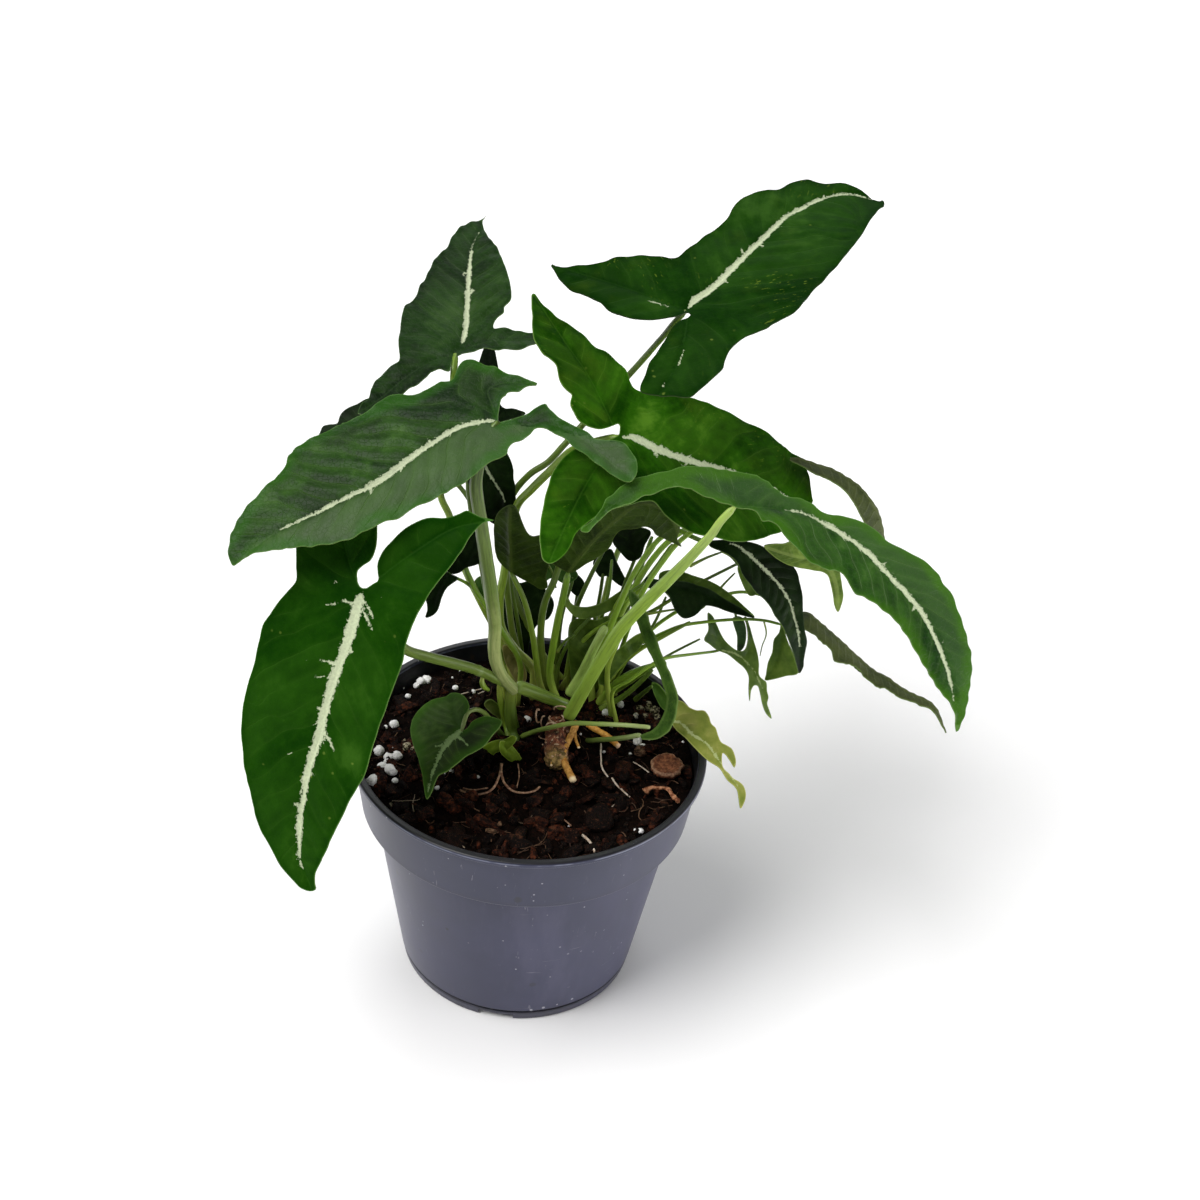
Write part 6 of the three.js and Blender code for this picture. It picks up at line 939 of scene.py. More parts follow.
# ---- stalks -------------------------------------------------------------------------
def stalk_mat(name, base, mid, top, rough=0.37, streak=0.42, brown=0.5, spec=0.34, turn=(0.02, 0.42)):
    m = Mat(name, rough=rough, spec=spec)
    ts, al, ca, sa = (m.attr(k) for k in ("ts", "al", "ca", "sa"))
    v = m.xyz(m.mul(ca, 1.7), m.mul(sa, 1.7), m.mul(al, 0.10))
    s1 = m.noise(1.0, 4.0, 0.6, vec=v)
    cloud = m.noise(120.0, 3.0, 0.6)
    fine = m.noise(1400.0, 2.0)
    # a paler line along one side: the pale edge of the stalk together with painted highlight, and pale rings at joints
    pale_edge_highlight_and_ring = m.span(m.attr("hi"), 0.2, 0.9)
    a = m.mix(m.span(m.add(ts, m.mul(m.add(cloud, -0.5), 0.25)), turn[0], turn[1]), base, mid)
    a = m.mix(m.span(ts, 0.55, 1.0), a, top)
    a = m.mix(m.mul(m.span(s1, 0.42, 0.62), streak), a, tuple(1.45 * c for c in mid))
    a = m.mix(m.mul(m.span(s1, 0.50, 0.34), streak), a, tuple(0.5 * c for c in mid))
    a = m.mix(m.mul(pale_edge_highlight_and_ring, 0.6), a, tuple(min(1, 1.6 * c + 0.06) for c in mid))
    br = m.mul(m.span(ts, 0.09, 0.0), m.span(cloud, 0.40, 0.6))
    a = m.mix(m.mul(br, brown), a, (0.16, 0.075, 0.03))
    sp = m.voro(520.0)
    a = m.mix(m.mul(m.span(sp.outputs["Distance"], 0.16, 0.06), 0.35), a, tuple(0.45 * c for c in mid))
    h = m.add(m.mul(s1, 1.0), m.mul(fine, 0.15))
    return m.done(a, m.add(m.mul(m.add(cloud, -0.5), 0.2), rough), m.bump(h, 0.35, 0.25))


def build_stalk(name, path, radii, mat, tip=None, sides=14, root=3.0, seed=3, rings=(), slot="stalk", flare=0.22, wing=0.0, bands=(), pale_edge_highlight_amount=0.45, pale_edge_highlight_at=0.62, pale_edge_highlight_w=0.22, face=None):
    pts = [np.array(p, float) for p in path]
    d0 = unit(pts[1] - pts[0])
    if root:
        pts = [pts[0] - d0 * root] + pts
    if tip is not None:
        pts = pts[:-1] + [np.array(tip, float)]
    L = catmull(pts, 0.9)
    L = L + fbm(L, 11.0, 2, seed)[:, None] * np.array([0.16, 0.1, 0.0]) * smooth(np.linspace(0, 1, len(L)), 0, 0.2)[:, None] * (1 - smooth(np.linspace(0, 1, len(L)), 0.85, 1.0))[:, None]
    s = np.linspace(0, 1, len(L))
    r = np.interp(s, np.linspace(0, 1, len(radii)), radii)
    al = s * np.linalg.norm(np.diff(L, axis=0), axis=1).sum()
    r = r * (1 + flare * np.exp(-al / 5.0)) * (1 + 0.035 * fbm(np.stack([al, al * 0, al * 0], 1), 6.0, 2, seed + 1))
    for at, size in rings:
        r = r * (1 + size * np.exp(-((al - at * al[-1]) / 0.9) ** 2))
    if tip is not None:
        r = r * (1 - 0.42 * smooth(al, al[-1] - 2.2, al[-1]))
    else:
        r = r * (1 - 0.25 * smooth(al, al[-1] - 1.5, al[-1]))
    ph = seed * 0.7 if face is None else face

    def prof(a, t):
        return 1 - 0.12 * np.exp(-((np.mod(a - ph + math.pi, 2 * math.pi) - math.pi) / 0.45) ** 2) + 0.03 * np.sin(3 * a + 5 * t + seed) + wing * np.exp(-((np.mod(a - ph - 0.6 + math.pi, 2 * math.pi) - math.pi) / 0.25) ** 2) * np.exp(-t * 4)
    V, F, A = tube_mesh(L, r, sides, prof)
    ang = np.concatenate([np.tile(np.linspace(0, 2 * math.pi, sides, endpoint=False), len(L)), [0, 0]])
    off = np.abs(np.mod(ang - ph + math.pi, 2 * math.pi) - math.pi)
    # paler line at a fixed angle round the stalk: pale edge and painted highlight; bands add pale rings at joints
    A["hi"] = np.exp(-((off - pale_edge_highlight_at) / pale_edge_highlight_w) ** 2) * pale_edge_highlight_amount
    for at, width, amount in bands:
        A["hi"] = np.maximum(A["hi"], amount * np.exp(-((A["al"] - at * al[-1]) / width) ** 2))
    return make(name, V, F, [mat], attrs=A, slot=slot)


# ---- ribbon leaves ------------------------------------------------------------------
def build_ribbon(name, R, mats, cols=11, curl=0.25, thick=0.32, spacing=3.5, seed=1, rag=0.12, slot="leaf", stripe=-1.0, quilt=0.25, fold=0.0, flip=1, narrow=1.0):
    C = np.array(R["c"], float)
    W = np.array(R["w"], float) * narrow
    cw = catmull(np.hstack([C, W]), 0.75)
    c, w = cw[:, :3], cw[:, 3:]
    m = len(c)
    T = unit(np.gradient(c, axis=0))
    width = np.linalg.norm(w, axis=1)
    wd = unit(w - (w * T).sum(1)[:, None] * T)
    N = np.cross(T, wd) * flip
    al = np.concatenate([[0], np.cumsum(np.linalg.norm(np.diff(c, axis=0), axis=1))])
    x = np.linspace(-1, 1, cols)
    e1 = 1 + rag * fbm(np.stack([al, al * 0 + 3, al * 0], 1), 4.0, 3, seed)
    e2 = 1 + rag * fbm(np.stack([al, al * 0 + 9, al * 0], 1), 4.0, 3, seed + 4)
    X = np.where(x[None] < 0, x[None] * e1[:, None], x[None] * e2[:, None])
    ph = (al[:, None] - 0.55 * np.abs(X) * width[:, None]) / spacing + 0.25 * np.sign(X)
    bul = (np.abs(((ph + 0.5) % 1.0) - 0.5) * 2) ** 0.75
    near = np.abs(X) * width[:, None]
    E = (1 - np.abs(x[None])) * width[:, None] + 0 * X
    z = curl * width[:, None] * (X ** 2 - 0.3) + quilt * (bul - 0.6) * smooth(E, 0, 1.5) - 0.25 * np.exp(-(near / 0.6) ** 2) + fold * np.abs(X) * width[:, None]
    P = c[:, None] + X[..., None] * w[:, None]
    P = P + 0.35 * fbm(P.reshape(-1, 3), 6.0, 3, seed + 2).reshape(P.shape[:2])[..., None] * N[:, None] * smooth(np.minimum(al, al[-1] - al), 0, 4)[:, None, None]
    th = thick * (0.35 + 0.65 * smooth(width, 0, 1.5))
    top = P + N[:, None] * (z + th[:, None] / 2)[..., None]
    bot = P + N[:, None] * (z - th[:, None] / 2 - 0.45 * np.exp(-(near / 0.6) ** 2) * smooth(width, 0.3, 2)[:, None])[..., None]
    n = m * cols
    i, j = np.meshgrid(np.arange(m - 1), np.arange(cols - 1), indexing="ij")
    a = (i * cols + j).ravel()
    b, d, e = a + 1, a + cols, a + cols + 1
    Ft = np.vstack([np.stack([a, d, b], 1), np.stack([b, d, e], 1)])
    if flip < 0:
        Ft = Ft[:, ::-1]
    loop = list(range(cols)) + [k * cols + cols - 1 for k in range(1, m)] + list(range(n - 2, n - cols - 1, -1)) + [k * cols for k in range(m - 2, 0, -1)]
    loop = np.array(loop)
    nx = np.roll(loop, -1)
    rim = np.vstack([np.stack([loop, nx, nx + n], 1), np.stack([loop, nx + n, loop + n], 1)])
    if flip < 0:
        rim = rim[:, ::-1]
    V = np.vstack([top.reshape(-1, 3), bot.reshape(-1, 3)])
    F = np.vstack([Ft, Ft[:, ::-1] + n, rim])
    slots = np.concatenate([np.zeros(len(Ft)), np.ones(len(Ft)), np.full(len(rim), 2)])
    two = lambda q: np.concatenate([q.ravel(), q.ravel()])
    st = near - stripe if stripe > 0 else near * 0 + 12
    attrs = dict(st=two(st), ph=two(ph), vf=two(smooth(E, 0.2, 1.5) * smooth(near, 0.2, 0.8)), ed=two(E), sp=np.full(2 * n, spacing), rb=two(near), sd=two(near * np.sign(X)))
    return make(name, V, F, mats, slots=slots, attrs=attrs, sharp=60, slot=slot)


# ---- pot ----------------------------------------------------------------------------
def lathe_mesh(profile, segs):
    P = np.array(profile, float)
    n = len(P)
    ang = np.linspace(0, 2 * math.pi, segs, endpoint=False)
    V = np.stack([P[:, 0][None] * np.cos(ang)[:, None], P[:, 0][None] * np.sin(ang)[:, None], np.broadcast_to(P[:, 1], (segs, n))], -1).reshape(-1, 3)
    F = []
    for s in range(segs):
        t = (s + 1) % segs
        for k in range(n - 1):
            a, b, c, d = s * n + k, t * n + k, t * n + k + 1, s * n + k + 1
            F.append([a, b, c, d])
    # poles: merge the axis points
    V = V.tolist()
    for end in (0, n - 1):
        if P[end, 0] == 0:
            keep = end
            for f in F:
                for q in range(4):
                    if f[q] % n == end:
                        f[q] = keep
    F = [list(dict.fromkeys(f)) for f in F]
    F = [f for f in F if len(f) > 2]
    used = sorted({v for f in F for v in f})
    ix = {v: i for i, v in enumerate(used)}
    return [V[v] for v in used], [[ix[v] for v in f] for f in F]


def on_pot(px, py):
    """point of the outer wall seen at a place in the picture, in millimetres"""
    d = ray(px, py)
    for t in np.arange(480.0, 860.0, 0.2):
        p = CAM + d * t
        if 0 < p[2] < 66 and math.hypot(p[0], p[1]) < 41.45 + (p[2] - 4.9) * 0.1626:
            return p
    return CAM + d * 800.0


def pot_material():
    m = Mat("pot_plastic", rough=0.44, spec=0.30)
    m.b.inputs["Sheen Weight"].default_value = 0.08
    m.b.inputs["Sheen Roughness"].default_value = 0.4
    m.b.inputs["Sheen Tint"].default_value = (0.84, 0.80, 1.0, 1)
    m.b.inputs["Coat Weight"].default_value = 0.22
    m.b.inputs["Coat Roughness"].default_value = 0.32
    z = m.node("SeparateXYZ")
    m.put(z.inputs[0], m.obj)
    cloud = m.noise(38.0, 4.0, 0.6)
    smear = m.noise(1.0, 4.0, 0.65, vec=m.scaled(60, 60, 14))
    base = m.mix(m.span(cloud, 0.35, 0.68), (0.026, 0.028, 0.063), (0.036, 0.038, 0.080))
    base = m.mix(m.mul(m.span(smear, 0.48, 0.72), 0.42), base, (0.074, 0.073, 0.130))
    # the collar a little darker; the top of the lip near black, painted shade of the dark inner edge
    coll = m.span(z.outputs[2], 0.0674, 0.0684)
    base = m.mix(m.mul(coll, 0.35), base, (0.026, 0.031, 0.054))
    lip_shade = m.span(z.outputs[2], 0.08945, 0.08985)
    base = m.mix(lip_shade, base, (0.008, 0.008, 0.011))
    # painted highlight: a thin pale line, broken by noise, along the outer edge of the lip
    line = m.mul(m.span(m.math("ABSOLUTE", m.add(z.outputs[2], -0.08925)), 0.00030, 0.00010), m.span(m.noise(110.0, 3.0, 0.6), 0.36, 0.56))
    base = m.mix(m.mul(line, 0.55), base, (0.26, 0.28, 0.36))
    # soft shade where the collar turns under
    under = m.mul(m.span(z.outputs[2], 0.0700, 0.0676), m.span(z.outputs[2], 0.0655, 0.0668))
    base = m.mix(m.mul(under, 0.35), base, (0.028, 0.029, 0.048))
    # distance from the axis, not used; the near-black inside wall is painted shade from the inner material
    rad = m.math("SQRT", m.add(m.math("POWER", z.outputs[0], 2.0), m.math("POWER", z.outputs[1], 2.0)))
    # fine pale scratches and rubbed marks
    scr = m.noise(1.0, 2.0, 0.5, vec=m.scaled(900, 900, 60), distort=1.2)
    scr2 = m.noise(1.0, 2.0, 0.5, vec=m.scaled(120, 120, 1500), distort=0.8)
    where = m.span(m.noise(26.0, 2.0), 0.46, 0.64)
    lines = m.mul(m.add(m.span(scr, 0.70, 0.76), m.span(scr2, 0.72, 0.77)), where)
    base = m.mix(m.mul(lines, 0.45), base, (0.30, 0.30, 0.35))
    # dust specks
    v = m.voro(430.0)
    sep = m.node("SeparateColor")
    m.put(sep.inputs[0], v.outputs["Color"])
    dust = m.mul(m.span(sep.outputs[0], 0.915, 0.93), m.span(m.add(v.outputs["Distance"], m.mul(m.add(m.noise(2600.0), -0.5), 0.12)), 0.17, 0.08))
    base = m.mix(m.mul(dust, 0.75), base, (0.42, 0.42, 0.46))
    # soil smudges and dark spots
    v2 = m.voro(72.0)
    sep2 = m.node("SeparateColor")
    m.put(sep2.inputs[0], v2.outputs["Color"])
    spot = m.mul(m.span(sep2.outputs[1], 0.80, 0.84), m.span(m.add(v2.outputs["Distance"], m.mul(m.add(m.noise(700.0), -0.5), 0.10)), 0.125, 0.07))
    base = m.mix(m.mul(spot, 0.7), base, (0.022, 0.022, 0.030))
    # painted shade: the groove above the foot is coloured near black
    groove = m.mul(m.span(m.math("ABSOLUTE", m.add(z.outputs[2], -0.0039)), 0.0012, 0.0006), 1.0)
    base = m.mix(m.mul(groove, 0.85), base, (0.012, 0.012, 0.016))
    foot = m.span(z.outputs[2], 0.0037, 0.0033)
    base = m.mix(m.mul(foot, 0.5), base, (0.040, 0.040, 0.058))
    # single marks: dark spots, pale scratches, and painted glints (painted highlight) on the foot edge
    blur = m.mul(m.add(m.noise(900.0, 2.0), -0.5), 0.0005)
    for px, py, r, amount, tint in [(447, 929, 0.75, 0.8, (0.016, 0.016, 0.022)), (421, 950.5, 0.95, 0.7, (0.022, 0.022, 0.034)), (532.5, 984.5, 1.35, 0.7, (0.024, 0.024, 0.038)),
                                    (546, 873.5, 0.5, 0.6, (0.30, 0.30, 0.36)), (550, 901, 0.45, 0.6, (0.28, 0.28, 0.34)), (529, 904.5, 0.4, 0.6, (0.30, 0.30, 0.36)), (560, 947, 0.5, 0.6, (0.28, 0.28, 0.33)),
                                    (581, 951, 0.45, 0.5, (0.28, 0.28, 0.33)), (568, 953.5, 0.5, 0.5, (0.30, 0.30, 0.36)), (496, 870, 0.35, 0.5, (0.28, 0.28, 0.33)), (604, 930, 0.4, 0.5, (0.28, 0.28, 0.33)),
                                    # painted glints along the foot edge
                                    (520, 1012, 0.5, 0.8, (0.40, 0.40, 0.46)), (531, 1010, 0.6, 0.8, (0.42, 0.42, 0.48)), (543.5, 1007.5, 0.6, 0.8, (0.42, 0.42, 0.48)), (557, 1004.5, 0.45, 0.8, (0.40, 0.40, 0.46)), (572, 999, 0.5, 0.8, (0.42, 0.42, 0.48))]:
        vd = m.node("VectorMath", operation="DISTANCE")
        m.put(vd.inputs[0], m.obj)
        vd.inputs[1].default_value = tuple(float(q) * MM for q in on_pot(px, py))
        base = m.mix(m.mul(m.span(m.add(vd.outputs["Value"], blur), 1.1 * r * MM, 0.6 * r * MM), amount), base, tint)
    low = m.mul(m.span(z.outputs[2], 0.006, 0.0005), m.span(m.noise(140.0, 3.0), 0.38, 0.60))
    base = m.mix(m.mul(low, 0.5), base, (0.035, 0.033, 0.036))
    # paler along the sharp edges of the lip and the foot: painted highlight, partly rubbed wear
    geo = m.node("NewGeometry")
    edge_highlight_and_wear = m.mul(m.span(geo.outputs["Pointiness"], 0.53, 0.60), m.span(m.noise(300.0, 3.0, 0.7), 0.48, 0.62))
    high = m.add(m.span(z.outputs[2], 0.0870, 0.0885), m.span(z.outputs[2], 0.0060, 0.0040))
    base = m.mix(m.mul(m.mul(edge_highlight_and_wear, high), 0.70), base, (0.42, 0.42, 0.47))
    rough = m.add(m.mul(m.add(cloud, -0.5), 0.22), m.add(m.mul(smear, 0.10), 0.36))
    grain = m.noise(2600.0, 2.0, 0.5)
    h = m.add(m.mul(grain, 0.25), m.mul(lines, -0.5))
    h = m.add(h, m.mul(m.noise(45.0, 2.0), 2.2))
    return m.done(base, rough, m.bump(h, 0.22, 0.15))


def inner_shade_material():
    # inside of the pot: painted shade, near black, with brownish soil smudges
    m = Mat("pot_inside_shade", rough=0.5, spec=0.2)
    cloud = m.noise(90.0, 4.0, 0.6)
    c = m.mix(m.span(cloud, 0.35, 0.7), (0.006, 0.006, 0.008), (0.016, 0.016, 0.019))
    c = m.mix(m.mul(m.span(m.noise(420.0, 4.0, 0.7), 0.55, 0.68), 0.6), c, (0.035, 0.020, 0.012))
    return m.done(c, m.add(m.mul(cloud, 0.2), 0.42), m.bump(m.noise(900.0, 3.0), 0.3, 0.2))


def arc(cx, cz, r, a0, a1, n):
    return [(cx + r * math.cos(math.radians(a0 + (a1 - a0) * k / n)), cz + r * math.sin(math.radians(a0 + (a1 - a0) * k / n))) for k in range(n + 1)]


def build_pot():
    body = [(41.45 + (51.45 - 41.45) * k / 22, 4.9 + (66.4 - 4.9) * k / 22) for k in range(23)]
    collar = [(55.85 + (58.45 - 55.85) * k / 7, 68.9 + (87.6 - 68.9) * k / 7) for k in range(8)]
    wall_in = [(57.2 - 2.8 * k / 6, 88.9 - 19.6 * k / 6) for k in range(7)]
    low_in = [(50.2 - 9.6 * k / 8, 66.3 - 61.0 * k / 8) for k in range(9)]
    profile = ([(0, 0.0), (4, 0.0), (8, 0.0), (11.6, 0.0), (12.1, 0.15), (12.5, 1.4), (12.9, 2.05), (13.6, 2.2), (20, 2.2), (28, 2.2), (35.2, 2.2), (37.6, 2.2), (38.2, 2.0), (38.5, 1.4), (38.7, 0.4), (39.0, 0.05), (39.4, 0.0), (40.1, 0.0)]
               + arc(40.1, 0.5, 0.5, -60, 0, 3)
               + [(40.75, 1.5), (41.0, 2.6), (41.05, 3.1), (40.95, 3.35), (40.65, 3.5), (40.35, 3.62), (40.25, 3.85), (40.35, 4.1), (40.8, 4.25), (41.2, 4.4), (41.42, 4.65)]
               + body
               + [(51.52, 66.85), (51.65, 67.1), (52.1, 67.2), (53.4, 67.25), (54.6, 67.3)] + arc(55.0, 68.0, 0.75, -85, 0, 5)
               + collar
               + [(58.5, 87.9), (58.75, 88.05)] + arc(59.55, 88.5, 0.45, -90, 0, 4) + arc(59.2, 89.2, 0.8, 0, 90, 6)
               + [(58.6, 90.0), (58.2, 90.0)] + arc(58.0, 89.3, 0.7, 95, 180, 5)
               + wall_in + [(54.2, 68.8), (54.0, 68.3), (53.3, 67.9), (51.7, 67.6), (50.6, 67.2)] + low_in
               + [(40.3, 4.6), (39.6, 4.0), (38.6, 3.8), (28, 3.8), (20, 3.8), (10, 3.8), (0, 3.8)])
    V, F = lathe_mesh(profile, 288)
    pot_m, in_shade_m = pot_material(), inner_shade_material()
    me = bpy.data.meshes.new("pot_body")
    me.from_pydata((np.array(V) * MM).tolist(), [], F)
    me.materials.append(pot_m)
    me.materials.append(in_shade_m)
    o = bpy.data.objects.new("pot_body", me)
    bpy.context.scene.collection.objects.link(o)
    # foot notches and drain holes
    CV, CF = [], []

    def add_prism(outline, z0, z1):
        k, n = len(CV), len(outline)
        CV.extend([(x * MM, y * MM, z0 * MM) for x, y in outline] + [(x * MM, y * MM, z1 * MM) for x, y in outline])
        CF.append([k + n - 1 - q for q in range(n)])
        CF.append([k + n + q for q in range(n)])
        for q in range(n):
            r = (q + 1) % n
            CF.append([k + q, k + r, k + n + r, k + n + q])
    for i in range(3):
        a = math.radians(-95.6 + 120 * i)
        u, v = np.array([math.cos(a), math.sin(a)]), np.array([-math.sin(a), math.cos(a)])
        q = [u * (36.9) - v * 6, u * 44 - v * 6, u * 44 + v * 6, u * 36.9 + v * 6]
        add_prism([tuple(p) for p in q], -1.0, 2.4)
    for i in range(6):
        a = math.pi * 2 * (i + 0.5) / 6
        cx, cy = 27 * math.cos(a), 27 * math.sin(a)
        add_prism([(cx + 4 * math.cos(t), cy + 4 * math.sin(t)) for t in np.linspace(0, 2 * math.pi, 40, endpoint=False)], -1.0, 7.0)
    cm = bpy.data.meshes.new("cutter")
    cm.from_pydata(CV, [], CF)
    c = bpy.data.objects.new("cutter", cm)
    bpy.context.scene.collection.objects.link(c)
    mod = o.modifiers.new("cut", "BOOLEAN")
    mod.operation, mod.object, mod.solver = "DIFFERENCE", c, "EXACT"
    dg = bpy.context.evaluated_depsgraph_get()
    cut = bpy.data.meshes.new_from_object(o.evaluated_get(dg))
    o.modifiers.clear()
    o.data = cut
    bpy.data.objects.remove(c)
    # inside faces get the inner material, near black: painted shade
    co = np.array([p.center[:] for p in cut.polygons]) / MM
    nr = np.array([p.normal[:] for p in cut.polygons])
    r = np.hypot(co[:, 0], co[:, 1])
    radial = (nr[:, 0] * co[:, 0] + nr[:, 1] * co[:, 1]) / np.maximum(r, 1e-6)
    ins = ((co[:, 2] < 88.6) & (co[:, 2] > 3.0) & (radial < -0.3)) | ((np.abs(co[:, 2] - 3.8) < 0.5) & (nr[:, 2] > 0.5) & (r < 40))
    cut.polygons.foreach_set("material_index", ins.astype(np.int32))
    if len(cut.materials) < 2:
        cut.materials.clear()
        cut.materials.append(pot_m)
        cut.materials.append(in_shade_m)
    cut.polygons.foreach_set("use_smooth", np.ones(len(cut.polygons), bool))
    cut.update()
    cut.set_sharp_from_angle(angle=math.radians(32))
    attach(o, "root")
    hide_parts("pot")
    return o


build_pot()


# ---- soil ---------------------------------------------------------------------------
def soil_h(x, y):
    x, y = np.asarray(x, float), np.asarray(y, float)
    shape = x.shape
    p = np.stack([x.ravel(), y.ravel(), np.zeros(x.size)], 1)
    r = np.hypot(p[:, 0], p[:, 1])
    h = 84.2 - 1.3 * (r / 55) ** 2 + 1.5 * fbm(p, 17.0, 2, 11) + 0.9 * fbm(p, 5.0, 2, 21)
    h = h + 2.0 * np.exp(-((p[:, 0] - 8) ** 2 + (p[:, 1] - 14) ** 2) / 160.0)
    rough = 0.55 * np.abs(fbm(p, 1.7, 3, 31)) + 0.30 * fbm(p, 0.8, 2, 41)
    return (h + rough).reshape(shape)


def soil_material():
    m = Mat("soil_mix", rough=0.8, spec=0.04)
    a = m.noise(320.0, 5.0, 0.7)
    b = m.noise(1100.0, 4.0, 0.7)
    v = m.voro(520.0)
    c = m.mix(m.span(a, 0.38, 0.66), (0.0018, 0.0011, 0.0008), (0.0075, 0.0036, 0.0024))
    c = m.mix(m.mul(m.span(b, 0.56, 0.72), 0.65), c, (0.036, 0.012, 0.007))
    c = m.mix(m.mul(m.span(v.outputs["Distance"], 0.22, 0.05), 0.25), c, (0.022, 0.008, 0.005))
    sep = m.node("SeparateColor")
    m.put(sep.inputs[0], v.outputs["Color"])
    c = m.mix(m.mul(m.mul(m.span(sep.outputs[0], 0.93, 0.97), m.span(v.outputs["Distance"], 0.25, 0.1)), 0.6), c, (0.16, 0.085, 0.05))
    h = m.add(m.add(m.mul(a, 1.2), m.mul(b, 0.8)), m.mul(v.outputs["Distance"], 0.7))
    return m.done(c, m.add(m.mul(b, 0.2), 0.72), m.bump(h, 0.9, 0.8))


SOIL_M = soil_material()


def build_soil():
    rings, segs = 112, 420
    rad = np.linspace(0, 1, rings + 1)[1:] ** 0.92 * 55.75
    ang = np.linspace(0, 2 * math.pi, segs, endpoint=False)
    X = rad[:, None] * np.cos(ang)
    Y = rad[:, None] * np.sin(ang)
    Z = soil_h(X, Y)
    Z[-1] = np.minimum(Z[-1], 83.4)
    V = [np.array([[0, 0, float(soil_h(np.array([0.0]), np.array([0.0]))[0])]]), np.stack([X, Y, Z], -1).reshape(-1, 3)]
    F = [[0, 1 + j, 1 + (j + 1) % segs] for j in range(segs)]
    for i in range(rings - 1):
        a, b = 1 + i * segs, 1 + (i + 1) * segs
        for j in range(segs):
            k = (j + 1) % segs
            F.append([a + j, b + j, b + k])
            F.append([a + j, b + k, a + k])
    last = 1 + (rings - 1) * segs
    n = 1 + rings * segs
    for r, z in [(55.2, 80.0), (53.8, 69.2), (49.7, 66.4), (40.1, 6.0), (38.4, 4.2)]:
        V.append(np.stack([r * np.cos(ang), r * np.sin(ang), np.full(segs, z)], -1))
        for j in range(segs):
            k = (j + 1) % segs
            F.append([last + j, n + j, n + k])
            F.append([last + j, n + k, last + k])
        last, n = n, n + segs
    V.append(np.array([[0, 0, 4.2]]))
    for j in range(segs):
        F.append([last + j, n, last + (j + 1) % segs])
    make("soil_bed", np.vstack(V), np.array(F), [SOIL_M], slot="soil", replaces=["soil"])


build_soil()


def on_soil(px, py, lift=0.0):
    z = 84.0
    for _ in range(5):
        p = at_z(px, py, z + lift)
        z = float(soil_h(np.array([p[0]]), np.array([p[1]]))[0])
    return at_z(px, py, z + lift)


# bark chips
def bark_material():
    m = Mat("bark_chips", rough=0.60, spec=0.10)
    tone = m.attr("tone")
    gr = m.noise(1.0, 4.0, 0.7, vec=m.scaled(500, 500, 1600))
    n = m.noise(700.0, 5.0, 0.7)
    dark = m.mix(m.span(n, 0.40, 0.68), (0.0022, 0.0011, 0.0008), (0.0125, 0.0042, 0.0026))
    red = m.mix(m.span(n, 0.40, 0.70), (0.014, 0.0040, 0.0024), (0.150, 0.038, 0.015))
    tan = m.mix(m.span(n, 0.36, 0.66), (0.17, 0.085, 0.045), (0.33, 0.20, 0.12))
    c = m.mix(m.span(tone, 0.38, 0.60), dark, red)
    c = m.mix(m.span(tone, 0.86, 0.94), c, tan)
    c = m.mix(m.mul(m.span(gr, 0.58, 0.42), 0.85), c, (0.003, 0.0014, 0.0010))
    c = m.mix(m.mul(m.span(m.noise(2400.0, 2.0, 0.6), 0.62, 0.72), 0.5), c, (0.26, 0.105, 0.055))
    c = m.mix(m.mul(m.span(m.noise(230.0, 3.0, 0.6), 0.60, 0.72), 0.5), c, (0.16, 0.060, 0.030))
    return m.done(c, m.add(m.mul(n, 0.3), 0.42), m.bump(m.add(n, m.mul(gr, 1.5)), 1.0, 0.8))


def lump(center, size, seed, tone, axes=(1, 1, 1), level=3, rough=0.28, turn=None, boxy=0.62, warp=0.22):
    V, F = ico(level)
    rng = np.random.default_rng(seed)
    d = V * np.array(axes)
    # squared-off body with uneven faces
    q = np.sign(V) * np.abs(V) ** boxy
    d = q * np.array(axes)
    n1 = fbm(V * 1.0 + seed * 3.1, 0.9, 3, seed)
    n2 = fbm(V * 1.0 + seed * 1.7, 0.35, 2, seed + 3)
    d = d * (1 + rough * n1 + rough * 0.5 * n2)[:, None] + np.stack([fbm(V * 1.0 + 9, 0.8, 2, seed + 7), fbm(V * 1.0 + 19, 0.8, 2, seed + 8), fbm(V + 29, 0.8, 2, seed + 9)], 1) * warp
    if turn is None:
        A = rng.normal(size=(3, 3))
        turn, _ = np.linalg.qr(A)
        if np.linalg.det(turn) < 0:
            turn[:, 0] *= -1
    return d @ np.asarray(turn).T * size + center, F, dict(tone=tone)


def flat_turn(rng, tilt=0.45):
    a = rng.uniform(0, 2 * math.pi)
    tx, ty = rng.normal(0, tilt, 2)
    ca, sa = math.cos(a), math.sin(a)
    Rz = np.array([[ca, -sa, 0], [sa, ca, 0], [0, 0, 1]])
    Rx = np.array([[1, 0, 0], [0, math.cos(tx), -math.sin(tx)], [0, math.sin(tx), math.cos(tx)]])
    Ry = np.array([[math.cos(ty), 0, math.sin(ty)], [0, 1, 0], [-math.sin(ty), 0, math.cos(ty)]])
    return Rx @ Ry @ Rz


